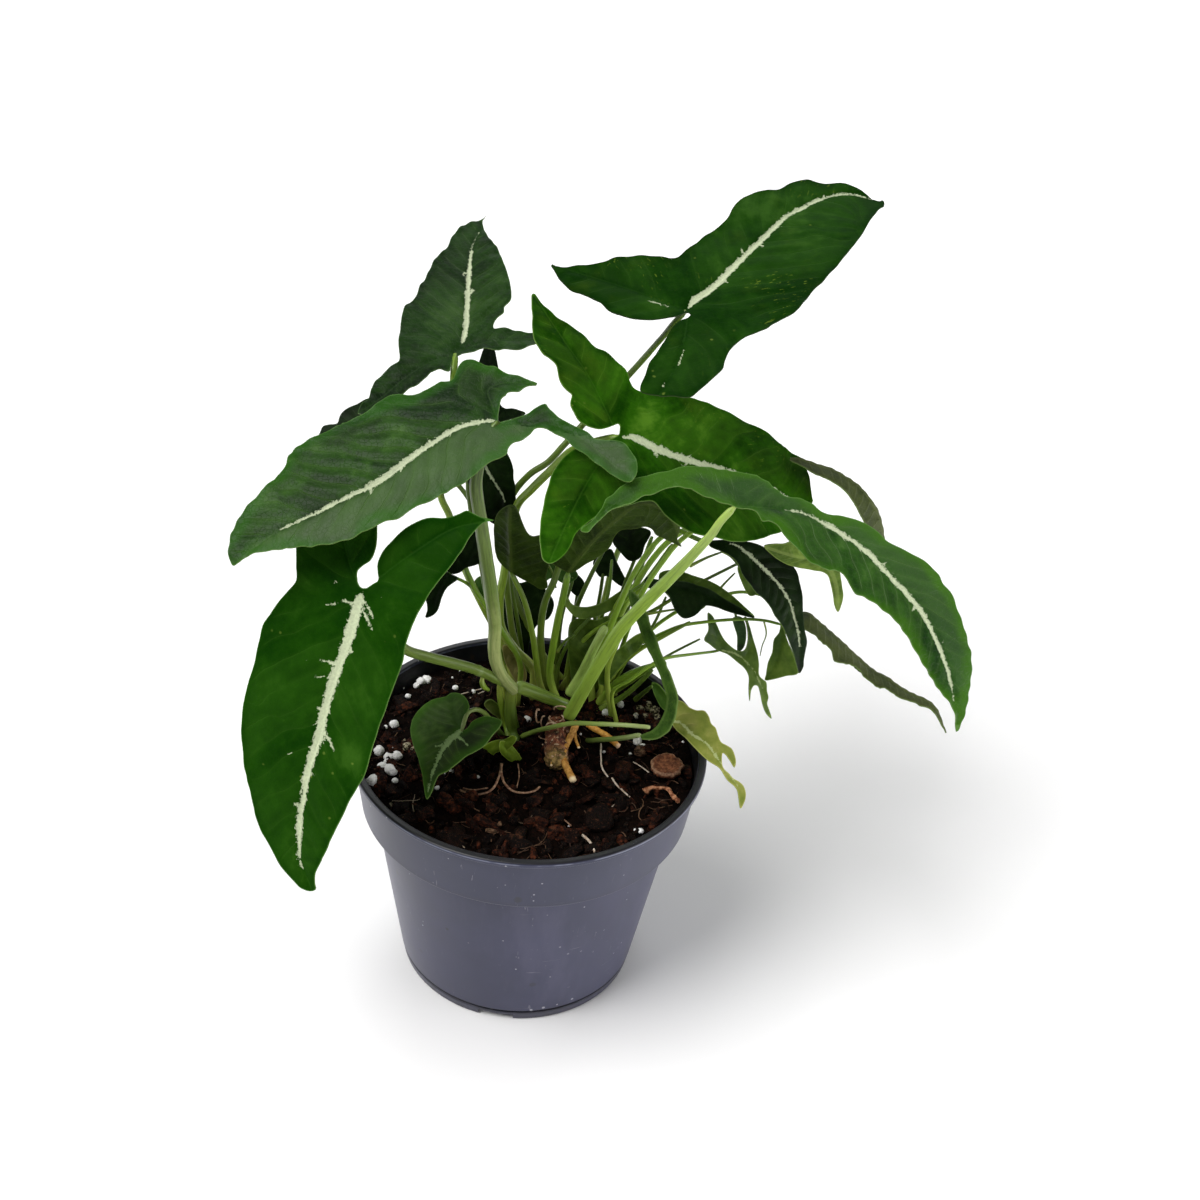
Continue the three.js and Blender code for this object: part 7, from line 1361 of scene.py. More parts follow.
BARK_M = bark_material()
rng = np.random.default_rng(7)
chips = Parts()
for k in range(860):
    a, r = rng.uniform(0, 2 * math.pi), 54.0 * math.sqrt(rng.uniform(0, 1))
    x, y = r * math.cos(a), r * math.sin(a)
    s = float(np.clip(rng.lognormal(-0.02, 0.58), 0.42, 2.9))
    r = min(r, 55.0 - s * 1.15)
    x, y = r * math.cos(a), r * math.sin(a)
    z = float(soil_h(np.array([x]), np.array([y]))[0])
    tone = float(np.clip(rng.beta(1.3, 2.3), 0, 1))
    if tone > 0.85 and rng.uniform() < 0.75:
        tone = 0.6
    V, F, A = lump(np.array([x, y, z + 0.15 * s]), s, k + 100, tone, axes=(rng.uniform(1.0, 1.8), rng.uniform(0.45, 0.95), rng.uniform(0.30, 0.70)), level=1 if s < 0.7 else (2 if s < 1.6 else 3), turn=flat_turn(rng, 0.75), rough=0.42)
    chips.add(V, F, **A)
# larger red-brown pieces of bark between them
for k in range(70):
    a, r = rng.uniform(0, 2 * math.pi), 50.0 * math.sqrt(rng.uniform(0, 1))
    x, y = r * math.cos(a), r * math.sin(a)
    s = rng.uniform(1.5, 2.9)
    V, F, A = lump(np.array([x, y, float(soil_h(np.array([x]), np.array([y]))[0]) + 0.2 * s]), s, k + 3000, float(rng.uniform(0.52, 0.80)), axes=(rng.uniform(0.9, 1.4), rng.uniform(0.6, 1.0), rng.uniform(0.3, 0.6)), level=3, turn=flat_turn(rng, 0.5), rough=0.40)
    chips.add(V, F, **A)
# chips that stand out in the picture
for px, py, s, tone, ax in [(445, 802, 2.7, 0.62, (1, 0.9, 0.8)), (425, 813, 2.4, 0.5, (1.3, 0.7, 0.5)), (484, 822, 3.0, 0.66, (0.55, 1.35, 0.5)), (492, 831, 1.7, 0.95, (1.2, 0.6, 0.4)),
                             (455, 838, 4.2, 0.42, (0.7, 1.5, 0.4)), (412, 777, 1.9, 0.70, (1, 0.8, 0.7)), (404, 748, 1.6, 0.6, (1, 0.8, 0.6)), (640, 751, 2.3, 0.93, (1.0, 0.9, 0.6)),
                             (624, 771, 3.6, 0.50, (1.0, 0.9, 0.6)), (587, 773, 3.0, 0.55, (1.3, 0.6, 0.6)), (600, 818, 4.4, 0.36, (1.0, 1.2, 0.4)), (540, 815, 3.4, 0.40, (1.0, 0.7, 0.4)),
                             (520, 835, 3.0, 0.38, (1.2, 0.7, 0.4)), (570, 838, 3.0, 0.44, (1.1, 0.8, 0.5)), (688, 772, 2.2, 0.55, (0.7, 1.2, 0.6)), (660, 790, 2.4, 0.45, (1, 1, 0.5)), (420, 741, 3.0, 0.45, (1.4, 0.5, 0.4)),
                             (392, 790, 2.6, 0.42, (1, 0.8, 0.5)), (437, 776, 2.4, 0.42, (1, 0.8, 0.5)), (560, 800, 2.6, 0.33, (1, 0.8, 0.5)), (500, 800, 2.6, 0.36, (1, 0.8, 0.5)), (650, 735, 2.4, 0.5, (1, 0.8, 0.5))]:
    c = on_soil(px, py, 0.5)
    V, F, A = lump(c, s, int(px * 3 + py), tone, axes=ax, level=3, turn=flat_turn(rng, 0.25))
    chips.add(V, F, **A)
chips.make("bark_chips", [BARK_M], slot="bark")

# round bark chip and bent twig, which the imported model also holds
lo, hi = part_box("bark_01")
bc = (np.array(lo) + np.array(hi)) / 2 / MM
rr, seg = [], 96
ang = np.linspace(0, 2 * math.pi, seg, endpoint=False)
Vb, Fb = [], []
prof = [(0.0, 1.15), (0.25, 1.1), (0.5, 0.9), (0.68, 1.15), (0.80, 1.35), (0.92, 1.25), (1.0, 0.6), (1.01, -0.2), (0.95, -1.1), (0.6, -1.3), (0.0, -1.3)]
for k, (f, z) in enumerate(prof):
    if f == 0:
        Vb.append(np.array([[0, 0, z]]))
        continue
    R = 5.45 * f * (1 + 0.05 * np.sin(5 * ang + 0.4) * f + 0.03 * np.sin(11 * ang + 1.3) * f + 0.10 * fbm(np.stack([np.cos(ang) * 2, np.sin(ang) * 2, ang * 0], 1), 0.6, 3, 5))
    zz = z + 0.45 * fbm(np.stack([R * np.cos(ang), R * np.sin(ang), ang * 0 + k], 1), 1.6, 3, 8)
    Vb.append(np.stack([R * np.cos(ang), R * np.sin(ang) * 0.95, zz], 1))
n_in = 1
off = [0]
for q in Vb:
    off.append(off[-1] + len(q))
for k in range(len(prof) - 1):
    A0, B0 = off[k], off[k + 1]
    for j in range(seg):
        jj = (j + 1) % seg
        if prof[k][0] == 0:
            Fb.append([A0, B0 + j, B0 + jj])
        elif prof[k + 1][0] == 0:
            Fb.append([A0 + j, B0, A0 + jj])
        else:
            Fb.append([A0 + j, B0 + j, B0 + jj])
            Fb.append([A0 + j, B0 + jj, A0 + jj])
Vb = np.vstack(Vb)
Rx = np.array([[1, 0, 0], [0, math.cos(0.10), -math.sin(0.10)], [0, math.sin(0.10), math.cos(0.10)]])
m = Mat("bark_disc", rough=0.8, spec=0.25)
sepo = m.node("SeparateXYZ")
n1 = m.noise(420.0, 5.0, 0.7)
cc = m.mix(m.span(n1, 0.34, 0.68), (0.090, 0.026, 0.011), (0.330, 0.120, 0.055))
rimm = m.attr("rim")
cc = m.mix(m.mul(m.span(m.add(rimm, m.mul(m.add(n1, -0.5), 0.3)), 0.80, 0.96), 0.70), cc, (0.48, 0.28, 0.17))
cc = m.mix(m.mul(m.span(m.noise(1200.0, 3.0), 0.56, 0.42), 0.5), cc, (0.03, 0.012, 0.008))
disc_m = m.done(cc, 0.8, m.bump(m.add(n1, m.mul(m.noise(1500.0, 3.0), 0.5)), 0.8, 0.5))
rimv = np.concatenate([np.full(off[k + 1] - off[k], prof[k][0] if prof[k][1] > 0 else 0.6) for k in range(len(prof))])
make("bark_disc", Vb @ Rx.T + bc, np.array(Fb), [disc_m], attrs=dict(rim=rimv), slot="bark", replaces=["bark_01"])

m = Mat("twig_wood", rough=0.75, spec=0.25)
n1 = m.noise(600.0, 4.0, 0.7)
cc = m.mix(m.span(n1, 0.40, 0.62), (0.15, 0.045, 0.018), (0.52, 0.24, 0.12))
cc = m.mix(m.mul(m.span(m.noise(1500.0, 2.0), 0.60, 0.72), 0.5), cc, (0.62, 0.42, 0.28))
TWIG_M = m.done(cc, 0.75, m.bump(n1, 0.8, 0.4))


def root_material(name, a, b, tipc=None):
    m = Mat(name, rough=0.6, spec=0.35)
    n = m.noise(900.0, 4.0, 0.65)
    c = m.mix(m.span(n, 0.34, 0.68), a, b)
    c = m.mix(m.mul(m.span(m.noise(260.0, 3.0), 0.56, 0.68), 0.45), c, tuple(0.35 * x for x in a))
    if tipc:
        c = m.mix(m.span(m.attr("ts"), 0.90, 0.97), c, tipc)
    return m.done(c, m.add(m.mul(n, 0.2), 0.48), m.bump(n, 0.6, 0.25))


def strand(parts, pts, r0, r1, seed=0, sides=8, step=0.7, jitter=0.12, tone=0.5):
    L = catmull(pts, step)
    L = L + np.stack([fbm(L + 5, 3.0, 2, seed), fbm(L + 50, 3.0, 2, seed + 1), 0.6 * fbm(L + 90, 3.0, 2, seed + 2)], 1) * jitter
    s = np.linspace(0, 1, len(L))
    r = (r0 + (r1 - r0) * s) * (1 + 0.14 * fbm(np.stack([s * 40, s * 0, s * 0], 1), 3.0, 2, seed + 5))
    V, F, A = tube_mesh(L, r, sides)
    parts.add(V, F, tone=tone, ts=A["ts"])


def px_path(pts, lift):
    """pixel points laid on the soil, each raised by lift (a number or one per point)"""
    up = lift if hasattr(lift, "__len__") else [lift] * len(pts)
    return [on_soil(x, y, u) for (x, y), u in zip(pts, up)]


tw = Parts()
lo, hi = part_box("twig_01")
tz = (lo[2] + hi[2]) / 2 / MM
path = [at_z(x, y, z) for x, y, z in ((645.5, 791.5, 86.0), (650, 788.5, 86.5), (658, 788, 86.7), (667.5, 789, 86.7), (673, 796, 86.5), (679.5, 802.5, 86.3))]
L = catmull(path, 0.35)
s = np.linspace(0, 1, len(L))
r = 0.52 + 0.85 * np.exp(-(s / 0.11) ** 2) + 0.30 * np.exp(-((s - 0.55) / 0.07) ** 2) + 0.32 * smooth(s, 0.6, 0.85)
r = r * (1 + 0.30 * fbm(L, 0.9, 3, 4)) * (1 - 0.45 * smooth(s, 0.93, 1.0))
V, F, A = tube_mesh(L, r, 18, lambda a, t: 1 + 0.10 * np.sin(4 * a + 9 * t) + 0.08 * np.sin(7 * a - 31 * t))
V = V + 0.22 * np.stack([fbm(V, 0.9, 3, 71), fbm(V, 0.9, 3, 72), fbm(V, 0.9, 3, 73)], 1)
tw.add(V, F, ts=A["ts"])
tw.make("twig", [TWIG_M], slot="bark", replaces=["twig_01"])

# coco fibres and thin dead roots scattered over the soil
fib = Parts()
for k in range(170):
    a, r = rng.uniform(0, 2 * math.pi), 53.0 * math.sqrt(rng.uniform(0, 1))
    x, y = r * math.cos(a), r * math.sin(a)
    L, h, bend = rng.uniform(3, 15), rng.uniform(0, 2 * math.pi), rng.normal(0, 0.35)
    pts, lift = [], rng.uniform(0.1, 0.8)
    ok = True
    for q in range(5):
        if math.hypot(x, y) > 54.5:
            ok = False
            break
        pts.append([x, y, float(soil_h(np.array([x]), np.array([y]))[0]) + lift + rng.normal(0, 0.25)])
        x, y, h = x + L / 5 * math.cos(h), y + L / 5 * math.sin(h), h + bend + rng.normal(0, 0.2)
    if ok and len(pts) > 2:
        r0 = rng.uniform(0.07, 0.22)
        strand(fib, pts, r0, r0 * 0.6, seed=k, sides=5, step=1.0, tone=float(rng.uniform(0, 1)))
fm_ = Mat("coco_fibre", rough=0.7, spec=0.3)
tone = fm_.attr("tone")
cc = fm_.mix(tone, (0.035, 0.014, 0.008), (0.22, 0.12, 0.065))
cc = fm_.mix(fm_.span(tone, 0.90, 0.97), cc, (0.45, 0.36, 0.26))
fib.make("soil_fibres", [fm_.done(fm_.mix(fm_.mul(fm_.noise(900.0, 3.0), 0.5), cc, (0.02, 0.01, 0.006)), 0.7, fm_.bump(fm_.noise(2500.0), 0.4, 0.1))], slot="soil")

# perlite
m = Mat("perlite", rough=0.85, spec=0.25)
n1 = m.noise(900.0, 4.0, 0.7)
tone = m.attr("tone")
cc = m.mix(m.span(n1, 0.30, 0.66), (0.82, 0.80, 0.78), (0.96, 0.955, 0.95))
cc = m.mix(m.mul(m.span(m.noise(420.0, 3.0), 0.66, 0.76), 0.40), cc, (0.26, 0.16, 0.11))
mottle = m.mix(m.span(m.noise(1100.0, 2.0, 0.6), 0.46, 0.54), (0.035, 0.026, 0.013), (0.46, 0.40, 0.27))
cc = m.mix(m.span(tone, 0.15, 0.62), cc, mottle)
v = m.voro(1400.0)
PERL_M = m.done(cc, 0.85, m.bump(m.add(n1, m.mul(v.outputs["Distance"], 0.8)), 0.7, 0.35))
perl = Parts()
PERLITE = [(394, 724, 5, 0), (379, 751, 5.5, 0), (389, 757, 5.5, 0), (393, 749.5, 4.8, 0), (396.5, 756, 5.5, 0), (382, 767, 5, 0), (390, 769.5, 6, 0), (386, 762, 3, 0), (394, 772, 3.5, 0), (373.5, 781, 6.8, 0),
           (399.5, 701.5, 4.2, 0), (408, 696.5, 3.4, 0), (403, 688, 1.6, 0), (416.5, 685.5, 3.6, 0), (421.5, 682, 5, 0), (428, 680, 4.4, 0), (425, 678, 3, 0), (407, 747, 5.2, 1), (413, 750, 3.4, 0.9), (405, 741, 2.2, 0.8),
           (452, 770, 3, 0.3), (443, 773, 2.2, 0.1), (437, 788, 2.6, 0.2), (391, 805, 2.2, 1), (640, 710, 5, 0.75), (648, 706, 5.2, 0.7), (655, 711, 5.4, 0.8), (645, 717, 4.2, 0.75), (657, 718, 4.5, 0.85), (636, 716, 3.4, 0.5),
           (637, 741, 5, 0.35), (643, 748, 5, 0.25), (649, 738, 3.4, 0.6), (604, 752, 1.6, 0.1), (640.5, 831, 3.2, 0), (635, 830, 1.6, 0), (478, 777, 1.8, 0), (611, 727, 2, 0.4), (683, 742, 1.4, 0.1), (569, 826, 1.2, 0)]
for k, (px, py, r, t) in enumerate(PERLITE):
    s = r / 3.05
    c = on_soil(px, py, s * 0.55)
    V, F, A = lump(c, s, 900 + k, t * 0.9, axes=(1, 1, 0.92), level=3, rough=0.22, boxy=0.92, warp=0.13)
    perl.add(V, F, **A)
for k in range(26):
    a, r = rng.uniform(0, 2 * math.pi), 52.0 * math.sqrt(rng.uniform(0.1, 1))
    x, y = r * math.cos(a), r * math.sin(a)
    if y < -2 and x > -38:
        continue
    s = rng.uniform(0.4, 1.6)
    V, F, A = lump(np.array([x, y, float(soil_h(np.array([x]), np.array([y]))[0]) + s * 0.4]), s, 1500 + k, 0.0, level=3, rough=0.14, boxy=0.98, warp=0.10)
    perl.add(V, F, **A)
perl.make("perlite", [PERL_M], slot="soil")

# roots
pale = Parts()
strand(pale, px_path([(582, 835), (586, 838), (590, 842), (592.5, 846.5), (594.5, 852)], [0.9, 1.1, 1.1, 1.0, 0.7]), 0.50, 0.40, 1, step=0.4)
strand(pale, px_path([(601, 744), (601, 756), (602.5, 769), (608, 777)], [2.0, 1.6, 1.3, 0.8]), 0.30, 0.30, 2)
strand(pale, px_path([(612, 778), (616, 784), (622, 790), (630, 797)], [0.9, 1.0, 1.0, 0.7]), 0.34, 0.26, 3)
strand(pale, px_path([(633, 762), (640, 766), (652, 775)], 0.9), 0.22, 0.20, 4)
strand(pale, px_path([(607, 813), (613, 806), (618, 802)], 0.9), 0.22, 0.16, 5)
strand(pale, px_path([(458, 695), (470, 692), (484, 688)], 0.8), 0.28, 0.22, 6)
strand(pale, px_path([(470, 698), (480, 693), (486, 691)], 0.8), 0.22, 0.22, 7)
pale.make("pale_roots", [root_material("root_pale", (0.42, 0.30, 0.21), (0.74, 0.66, 0.56))], slot="root")
brn = Parts()
strand(brn, px_path([(460, 790), (468, 793.5), (480, 794.5), (491, 790), (498, 780), (502, 764)], [0.6, 0.9, 1.2, 1.7, 2.4, 4.0]), 0.36, 0.42, 11, step=0.5)
strand(brn, px_path([(463, 788), (474, 790), (488, 788)], [0.6, 0.9, 1.2]), 0.25, 0.28, 12, step=0.5)
strand(brn, px_path([(501, 764), (501.5, 774), (505, 784), (512, 790.5), (524, 793), (534, 791), (540, 787)], [4.0, 2.8, 2.0, 1.4, 1.1, 1.0, 0.8]), 0.42, 0.34, 13, step=0.5)
strand(brn, px_path([(518, 764), (519, 776), (517, 788)], [2.2, 1.4, 0.8]), 0.22, 0.20, 14)
strand(brn, px_path([(536, 795), (536, 806)], 0.8), 0.22, 0.15, 15)
strand(brn, px_path([(571, 826), (562, 818), (556, 812)], 0.9), 0.30, 0.22, 16)
strand(brn, px_path([(590, 830), (600, 822), (612, 818)], 0.9), 0.18, 0.15, 17)
brn.make("brown_roots", [root_material("root_brown", (0.17, 0.075, 0.04), (0.50, 0.30, 0.19))], slot="root")
org = Parts()
lo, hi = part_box("root_01")
strand(org, [at_z(588, 724, 92.6), at_z(592, 727, 92), at_z(606, 735.5, 90.6), at_z(619, 746.6, 88.6)], 1.15, 1.0, 21, sides=14, step=0.4, jitter=0.05)
org.make("orange_root", [root_material("root_orange", (0.50, 0.20, 0.028), (0.78, 0.42, 0.085), (0.85, 0.58, 0.36))], slot="root", replaces=["root_01"])
org2 = Parts()
strand(org2, [at_z(577, 722, 93), at_z(574.7, 728, 92), at_z(569, 739, 90), at_z(563.5, 751.5, 88.3)], 1.20, 1.05, 22, sides=10, step=0.4, jitter=0.05)
strand(org2, [at_z(575, 733, 91), at_z(576, 740, 89.6), at_z(579, 748, 88.2)], 0.55, 0.5, 23, sides=10, step=0.4, jitter=0.05)
strand(org2, [at_z(566, 745, 90), at_z(563, 757, 89), at_z(567, 768, 88.2), at_z(573.5, 781, 87.2)], 0.95, 1.25, 24, sides=12, step=0.4, jitter=0.08)
strand(org2, [at_z(560, 752, 90), at_z(554, 758, 89.2), at_z(551, 766, 88)], 0.6, 0.4, 25, sides=10, step=0.4)
org2.make("orange_roots_small", [root_material("root_orange_b", (0.34, 0.13, 0.022), (0.66, 0.36, 0.08), (0.90, 0.70, 0.42))], slot="root")

# old stem base
lo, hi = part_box("crown")
c0 = np.array([(lo[0] + hi[0]) / 2, lo[1], (lo[2] + hi[2]) / 2]) / MM
c1 = np.array([(lo[0] + hi[0]) / 2, hi[1], (lo[2] + hi[2]) / 2]) / MM
ax = [c1 + [-0.8, 1.5, 1.0], c1 + [-0.5, -2.0, 0.6], (c0 + c1) / 2 + [0, 0, 0.3], c0 + [0.6, 1.5, -0.6], c0 + [0.8, -0.6, -1.2]]
L = catmull(ax, 0.28)
s = np.linspace(0, 1, len(L))
r = 3.6 + 0.35 * np.sin(s * 38) * (0.6 + 0.4 * np.sin(s * 9)) - 1.4 * smooth(s, 0.86, 1.0) - 0.8 * smooth(s, 0.15, 0.0)
V, F, A = tube_mesh(L, r, 40, None)
nv = fbm(V, 1.4, 3, 51)
nrm = unit(V - L[np.clip((A["ts"] * (len(L) - 1)).astype(int), 0, len(L) - 1)])
V = V + nrm * (0.65 * nv + 0.5 * np.abs(fbm(V * [1, 0.25, 1], 0.7, 2, 61)))[:, None]
m = Mat("stem_base_bark", rough=0.75, spec=0.3)
n1 = m.noise(420.0, 5.0, 0.7)
n2 = m.noise(1.0, 3.0, 0.6, vec=m.scaled(1300, 260, 1300))
cc = m.mix(m.span(n1, 0.38, 0.64), (0.030, 0.008, 0.004), (0.23, 0.070, 0.032))
cc = m.mix(m.mul(m.span(m.attr("ts"), 0.62, 0.95), 0.75), cc, m.mix(m.span(n1, 0.4, 0.6), (0.10, 0.075, 0.015), (0.42, 0.30, 0.09)))
cc = m.mix(m.mul(m.span(n2, 0.56, 0.66), 0.8), cc, (0.50, 0.26, 0.14))
cc = m.mix(m.mul(m.span(m.noise(700.0, 3.0), 0.60, 0.70), 0.75), cc, (0.66, 0.46, 0.30))
make("stem_base", V, F, [m.done(cc, 0.75, m.bump(m.add(n1, n2), 0.9, 0.6))], attrs=A, slot="old_stem_base", replaces=["crown"])
# curled root lines and papery rings on the old stem base
curls = Parts()
for px, py, w, h, y, a0, a1, r in [(556, 718, 7, 4, 12, 150, 400, 0.30), (552, 726, 6, 3.4, 11, 10, 250, 0.26), (551, 745, 8.5, 4.2, 8, 170, 370, 0.34), (557, 756, 6, 3.2, 6.5, 150, 360, 0.30), (538, 716, 2.2, 7, 12, 60, 300, 0.36),
                                   (548, 736, 9, 3.5, 9, 180, 350, 0.24), (560, 709, 6, 3, 13, 20, 200, 0.26), (551, 762, 7, 4, 6, 200, 350, 0.34), (566, 731, 3, 5, 9, 90, 270, 0.26), (544, 722, 3, 6, 12, 80, 290, 0.30), (546, 752, 6, 5, 8, 140, 330, 0.28), (561, 740, 5, 4, 8.5, 10, 200, 0.26)]:
    ang = np.radians(np.linspace(a0, a1, 9))
    pts = [at_y(px + w * math.cos(q), py - h * math.sin(q), y - 3.6) for q in ang]
    strand(curls, pts, r, r * 0.7, seed=int(px + py), sides=6, step=0.4, jitter=0.22)
curls.make("stem_base_curls", [root_material("root_curl", (0.36, 0.19, 0.10), (0.78, 0.58, 0.42))], slot="old_stem_base")


# ---- stalks in place ----------------------------------------------------------------
S_OLIVE = stalk_mat("stalk_olive", srgb(176, 184, 92), srgb(126, 154, 48), srgb(86, 114, 32), streak=0.4)
S_PALE = stalk_mat("stalk_pale", srgb(152, 186, 72), srgb(134, 164, 60), srgb(150, 172, 92), streak=0.4, brown=0.0)
S_SHEATH = stalk_mat("stalk_sheath", srgb(170, 194, 104), srgb(152, 180, 88), srgb(150, 172, 98), streak=0.5, brown=0.0)
S_PALE4 = stalk_mat("stalk_pale_long", srgb(190, 200, 130), srgb(90, 112, 42), srgb(50, 70, 22), streak=0.45, brown=0.0, turn=(0.18, 0.46))
S_DARK = stalk_mat("stalk_dark", srgb(138, 156, 66), srgb(90, 114, 38), srgb(72, 96, 32), streak=0.35)
S_THIN = stalk_mat("stalk_thin", srgb(166, 184, 80), srgb(122, 156, 46), srgb(82, 114, 32), streak=0.3)
S_YOUNG = stalk_mat("stalk_young", srgb(100, 124, 42), srgb(128, 150, 70), srgb(172, 186, 122), streak=0.3, brown=0.1)
S_YOUNGD = stalk_mat("stalk_young_dark", srgb(80, 102, 38), srgb(102, 122, 56), srgb(136, 150, 96), streak=0.3, brown=0.2)

S_P5 = stalk_mat("stalk_side", srgb(116, 140, 56), srgb(94, 114, 48), srgb(60, 76, 34), streak=0.4, brown=0.0)
S_SEG = stalk_mat("stalk_segment", srgb(104, 130, 44), srgb(116, 142, 54), srgb(132, 156, 68), streak=0.45, brown=0.1)

STALK_LOOK = {
    "petiole_01": (S_DARK, dict(sides=14)),
    "petiole_02": (S_OLIVE, dict(sides=14)),
    "petiole_03": (S_OLIVE, dict(sides=14)),
    "petiole_04": (S_PALE4, dict(sides=26, root=0, flare=0.10, pale_edge_highlight_amount=0.9, face=0.0, pale_edge_highlight_at=0.9)),
    "petiole_05": (S_P5, dict(sides=18, root=0, rings=[(0.20, 0.10)], flare=0.05, bands=[(0.20, 1.2, 0.9)], pale_edge_highlight_amount=0.7, face=0.0, pale_edge_highlight_at=1.2)),
    "petiole_06": (S_PALE, dict(sides=26, root=0.6, flare=-0.02, pale_edge_highlight_amount=1.0, face=0.0, pale_edge_highlight_at=1.15, pale_edge_highlight_w=0.16)),
    "sheath_06": (S_SHEATH, dict(sides=16, root=0.5, flare=0.1, pale_edge_highlight_amount=0.8)),
    "petiole_12": (S_THIN, dict(sides=10)),
    "petiole_15": (S_YOUNG, dict(sides=12, root=1.0)),
    "petiole_16": (S_YOUNGD, dict(sides=12, root=1.0)),
    "petiole_17": (S_YOUNGD, dict(sides=12, root=1.0)),
    "petiole_20": (S_OLIVE, dict(sides=12)),
    "petiole_18": (S_DARK, dict(sides=12)), "petiole_19": (S_DARK, dict(sides=12)), "petiole_23": (S_DARK, dict(sides=12)),
    "petiole_24": (S_DARK, dict(sides=12)), "petiole_25": (S_DARK, dict(sides=12)), "petiole_26": (S_DARK, dict(sides=12)),
}
for n, (name, row) in enumerate(sorted(STALKS.items())):
    mat, kw = STALK_LOOK.get(name, (S_THIN, {}))
    tip = BLADES[row["leaf"]]["J"] if row["leaf"] else None
    pts, rr = row["pts"], row["r"]
    if name == "petiole_04":
        # the elbow above its joint with the segment from the crown
        pts = [at_y(515.2, 690.2, 11.6), at_y(509.2, 684.2, 10.6), at_y(501.4, 675, 8.8), at_y(496.2, 662, 7.4), at_y(494.6, 648, 6.2)] + pts[6:]
        rr = (1.85, 2.15, 2.25, 2.15, 2.0, 1.6)
    if name == "petiole_05":
        pts = [at_y(513, 688, 12.5), at_y(504, 682.5, 10.5)] + pts
        rr = (1.5, 1.75, 1.6, 1.25)
    o = build_stalk(name + "_stalk", pts, rr, mat, tip=tip, seed=n + 3, **kw)
    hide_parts(name)

# the segment between the crown and the elbow, with a paler line along its edges (pale edge and painted highlight) and a
# pale ring at the joint
build_stalk("petiole_04_segment", [at_y(566, 704.5, 18.5), at_y(553, 699.5, 16.6), at_y(540, 694.5, 14.8), at_y(528, 690.0, 13.0), at_y(517.5, 686.5, 11.6)], (1.9, 2.15, 2.25, 2.3), S_SEG, sides=26, root=0, flare=0.0, rings=[(0.985, 0.10)], bands=[(0.99, 0.7, 0.9)], pale_edge_highlight_amount=1.0, face=0.0, pale_edge_highlight_at=1.25, pale_edge_highlight_w=0.13, seed=4)

# ---- leaves -------------------------------------------------------------------------
def greens(*rows):
    return [srgb(*r) for r in rows]


TOPS, UNDERS = {}, {}


def top_of(key, deep, mid, lite, **kw):
    TOPS[key] = leaf_top("leaf_top_" + key, srgb(*deep), srgb(*mid), srgb(*lite), **kw)


def under_of(key, deep, mid, vein, **kw):
    UNDERS[key] = leaf_under("leaf_under_" + key, srgb(*deep), srgb(*mid), srgb(*vein), **kw)


G_EDGE = srgb(70, 116, 14)
top_of("05", (10, 48, 1), (24, 64, 4), (54, 94, 24), rough=0.46, spec=0.014, veins=0.14, speck=0.35, palm=0.08, rim=0.6, streaks=0.28, mottle=0.28, rag=1.45, cloud=0.55, run_scale=1.6)
top_of("01", (7, 40, 1), (22, 58, 5), (50, 86, 26), rough=0.46, spec=0.014, veins=0.16, speck=0.5, yellow=0.10, flecks=0.40, palm=0.07, rim=0.5, rim_color=srgb(30, 44, 20), streaks=0.30, mottle=0.30)
top_of("02", (14, 50, 1), (38, 84, 6), (84, 128, 34), rough=0.46, spec=0.016, veins=0.14, speck=0.5, yellow=0.14, flecks=0.25, palm=0.08, rim=0.3, streaks=0.28, mottle=0.30)
top_of("03", (6, 28, 1), (22, 52, 6), (52, 80, 32), rough=0.40, spec=0.09, veins=0.28, sheen=0.010, palm=0.10, relief=1.5, streaks=0.35, mottle=0.35)
top_of("04", (8, 34, 1), (32, 66, 9), (70, 104, 42), rough=0.40, spec=0.11, veins=0.26, sheen=0.006, glow=srgb(40, 92, 8), palm=0.10, relief=1.6, streaks=0.36, mottle=0.50, half=(srgb(70, 92, 56), 0.70, 1), run_scale=1.3)
top_of("06", (12, 44, 4), (36, 74, 15), (78, 112, 50), rough=0.40, spec=0.14, veins=0.26, sheen=0.010, glow=srgb(64, 112, 14), palm=0.08, relief=1.7, streaks=0.34, mottle=0.45, half=(srgb(54, 82, 42), 0.6, 1), run_scale=1.5)
top_of("dark", (7, 18, 3), (16, 34, 9), (42, 60, 28), rough=0.42, spec=0.06, veins=0.20)
top_of("16", (26, 48, 10), (52, 82, 22), (92, 122, 54), rough=0.42, spec=0.12, veins=0.35, stripe=(0.36, 0.52, 0.22), glow=srgb(64, 112, 18), half=(srgb(34, 46, 24), 0.85, 1))
top_of("15", (96, 112, 40), (126, 134, 58), (172, 166, 98), rough=0.44, spec=0.14, veins=0.22, stripe=(0.42, 0.48, 0.22))
top_of("young", (40, 72, 14), (66, 102, 28), (104, 136, 58), rough=0.36, spec=0.22, veins=0.12, mottle=0.25)
top_of("dark7", (20, 44, 4), (34, 60, 8), (62, 86, 26), rough=0.42, spec=0.08, veins=0.2)
top_of("mid", (22, 52, 10), (40, 74, 18), (76, 106, 44), rough=0.42, spec=0.12, veins=0.2)
top_of("drip", (48, 74, 18), (82, 108, 34), (112, 134, 58), rough=0.42, spec=0.14, veins=0.25, stripe=(0.30, 0.37, 0.14))
under_of("green", (52, 80, 26), (74, 102, 42), (120, 142, 80))
under_of("pale", (60, 84, 12), (104, 130, 46), (134, 152, 78), lines=0.22, rib_mix=0.45)
under_of("shade", (26, 42, 4), (46, 66, 12), (82, 98, 42), lines=0.2, rib_mix=0.4)
under_of("dry", (52, 62, 30), (72, 82, 42), (100, 108, 68), lines=0.2, rib_mix=0.4)
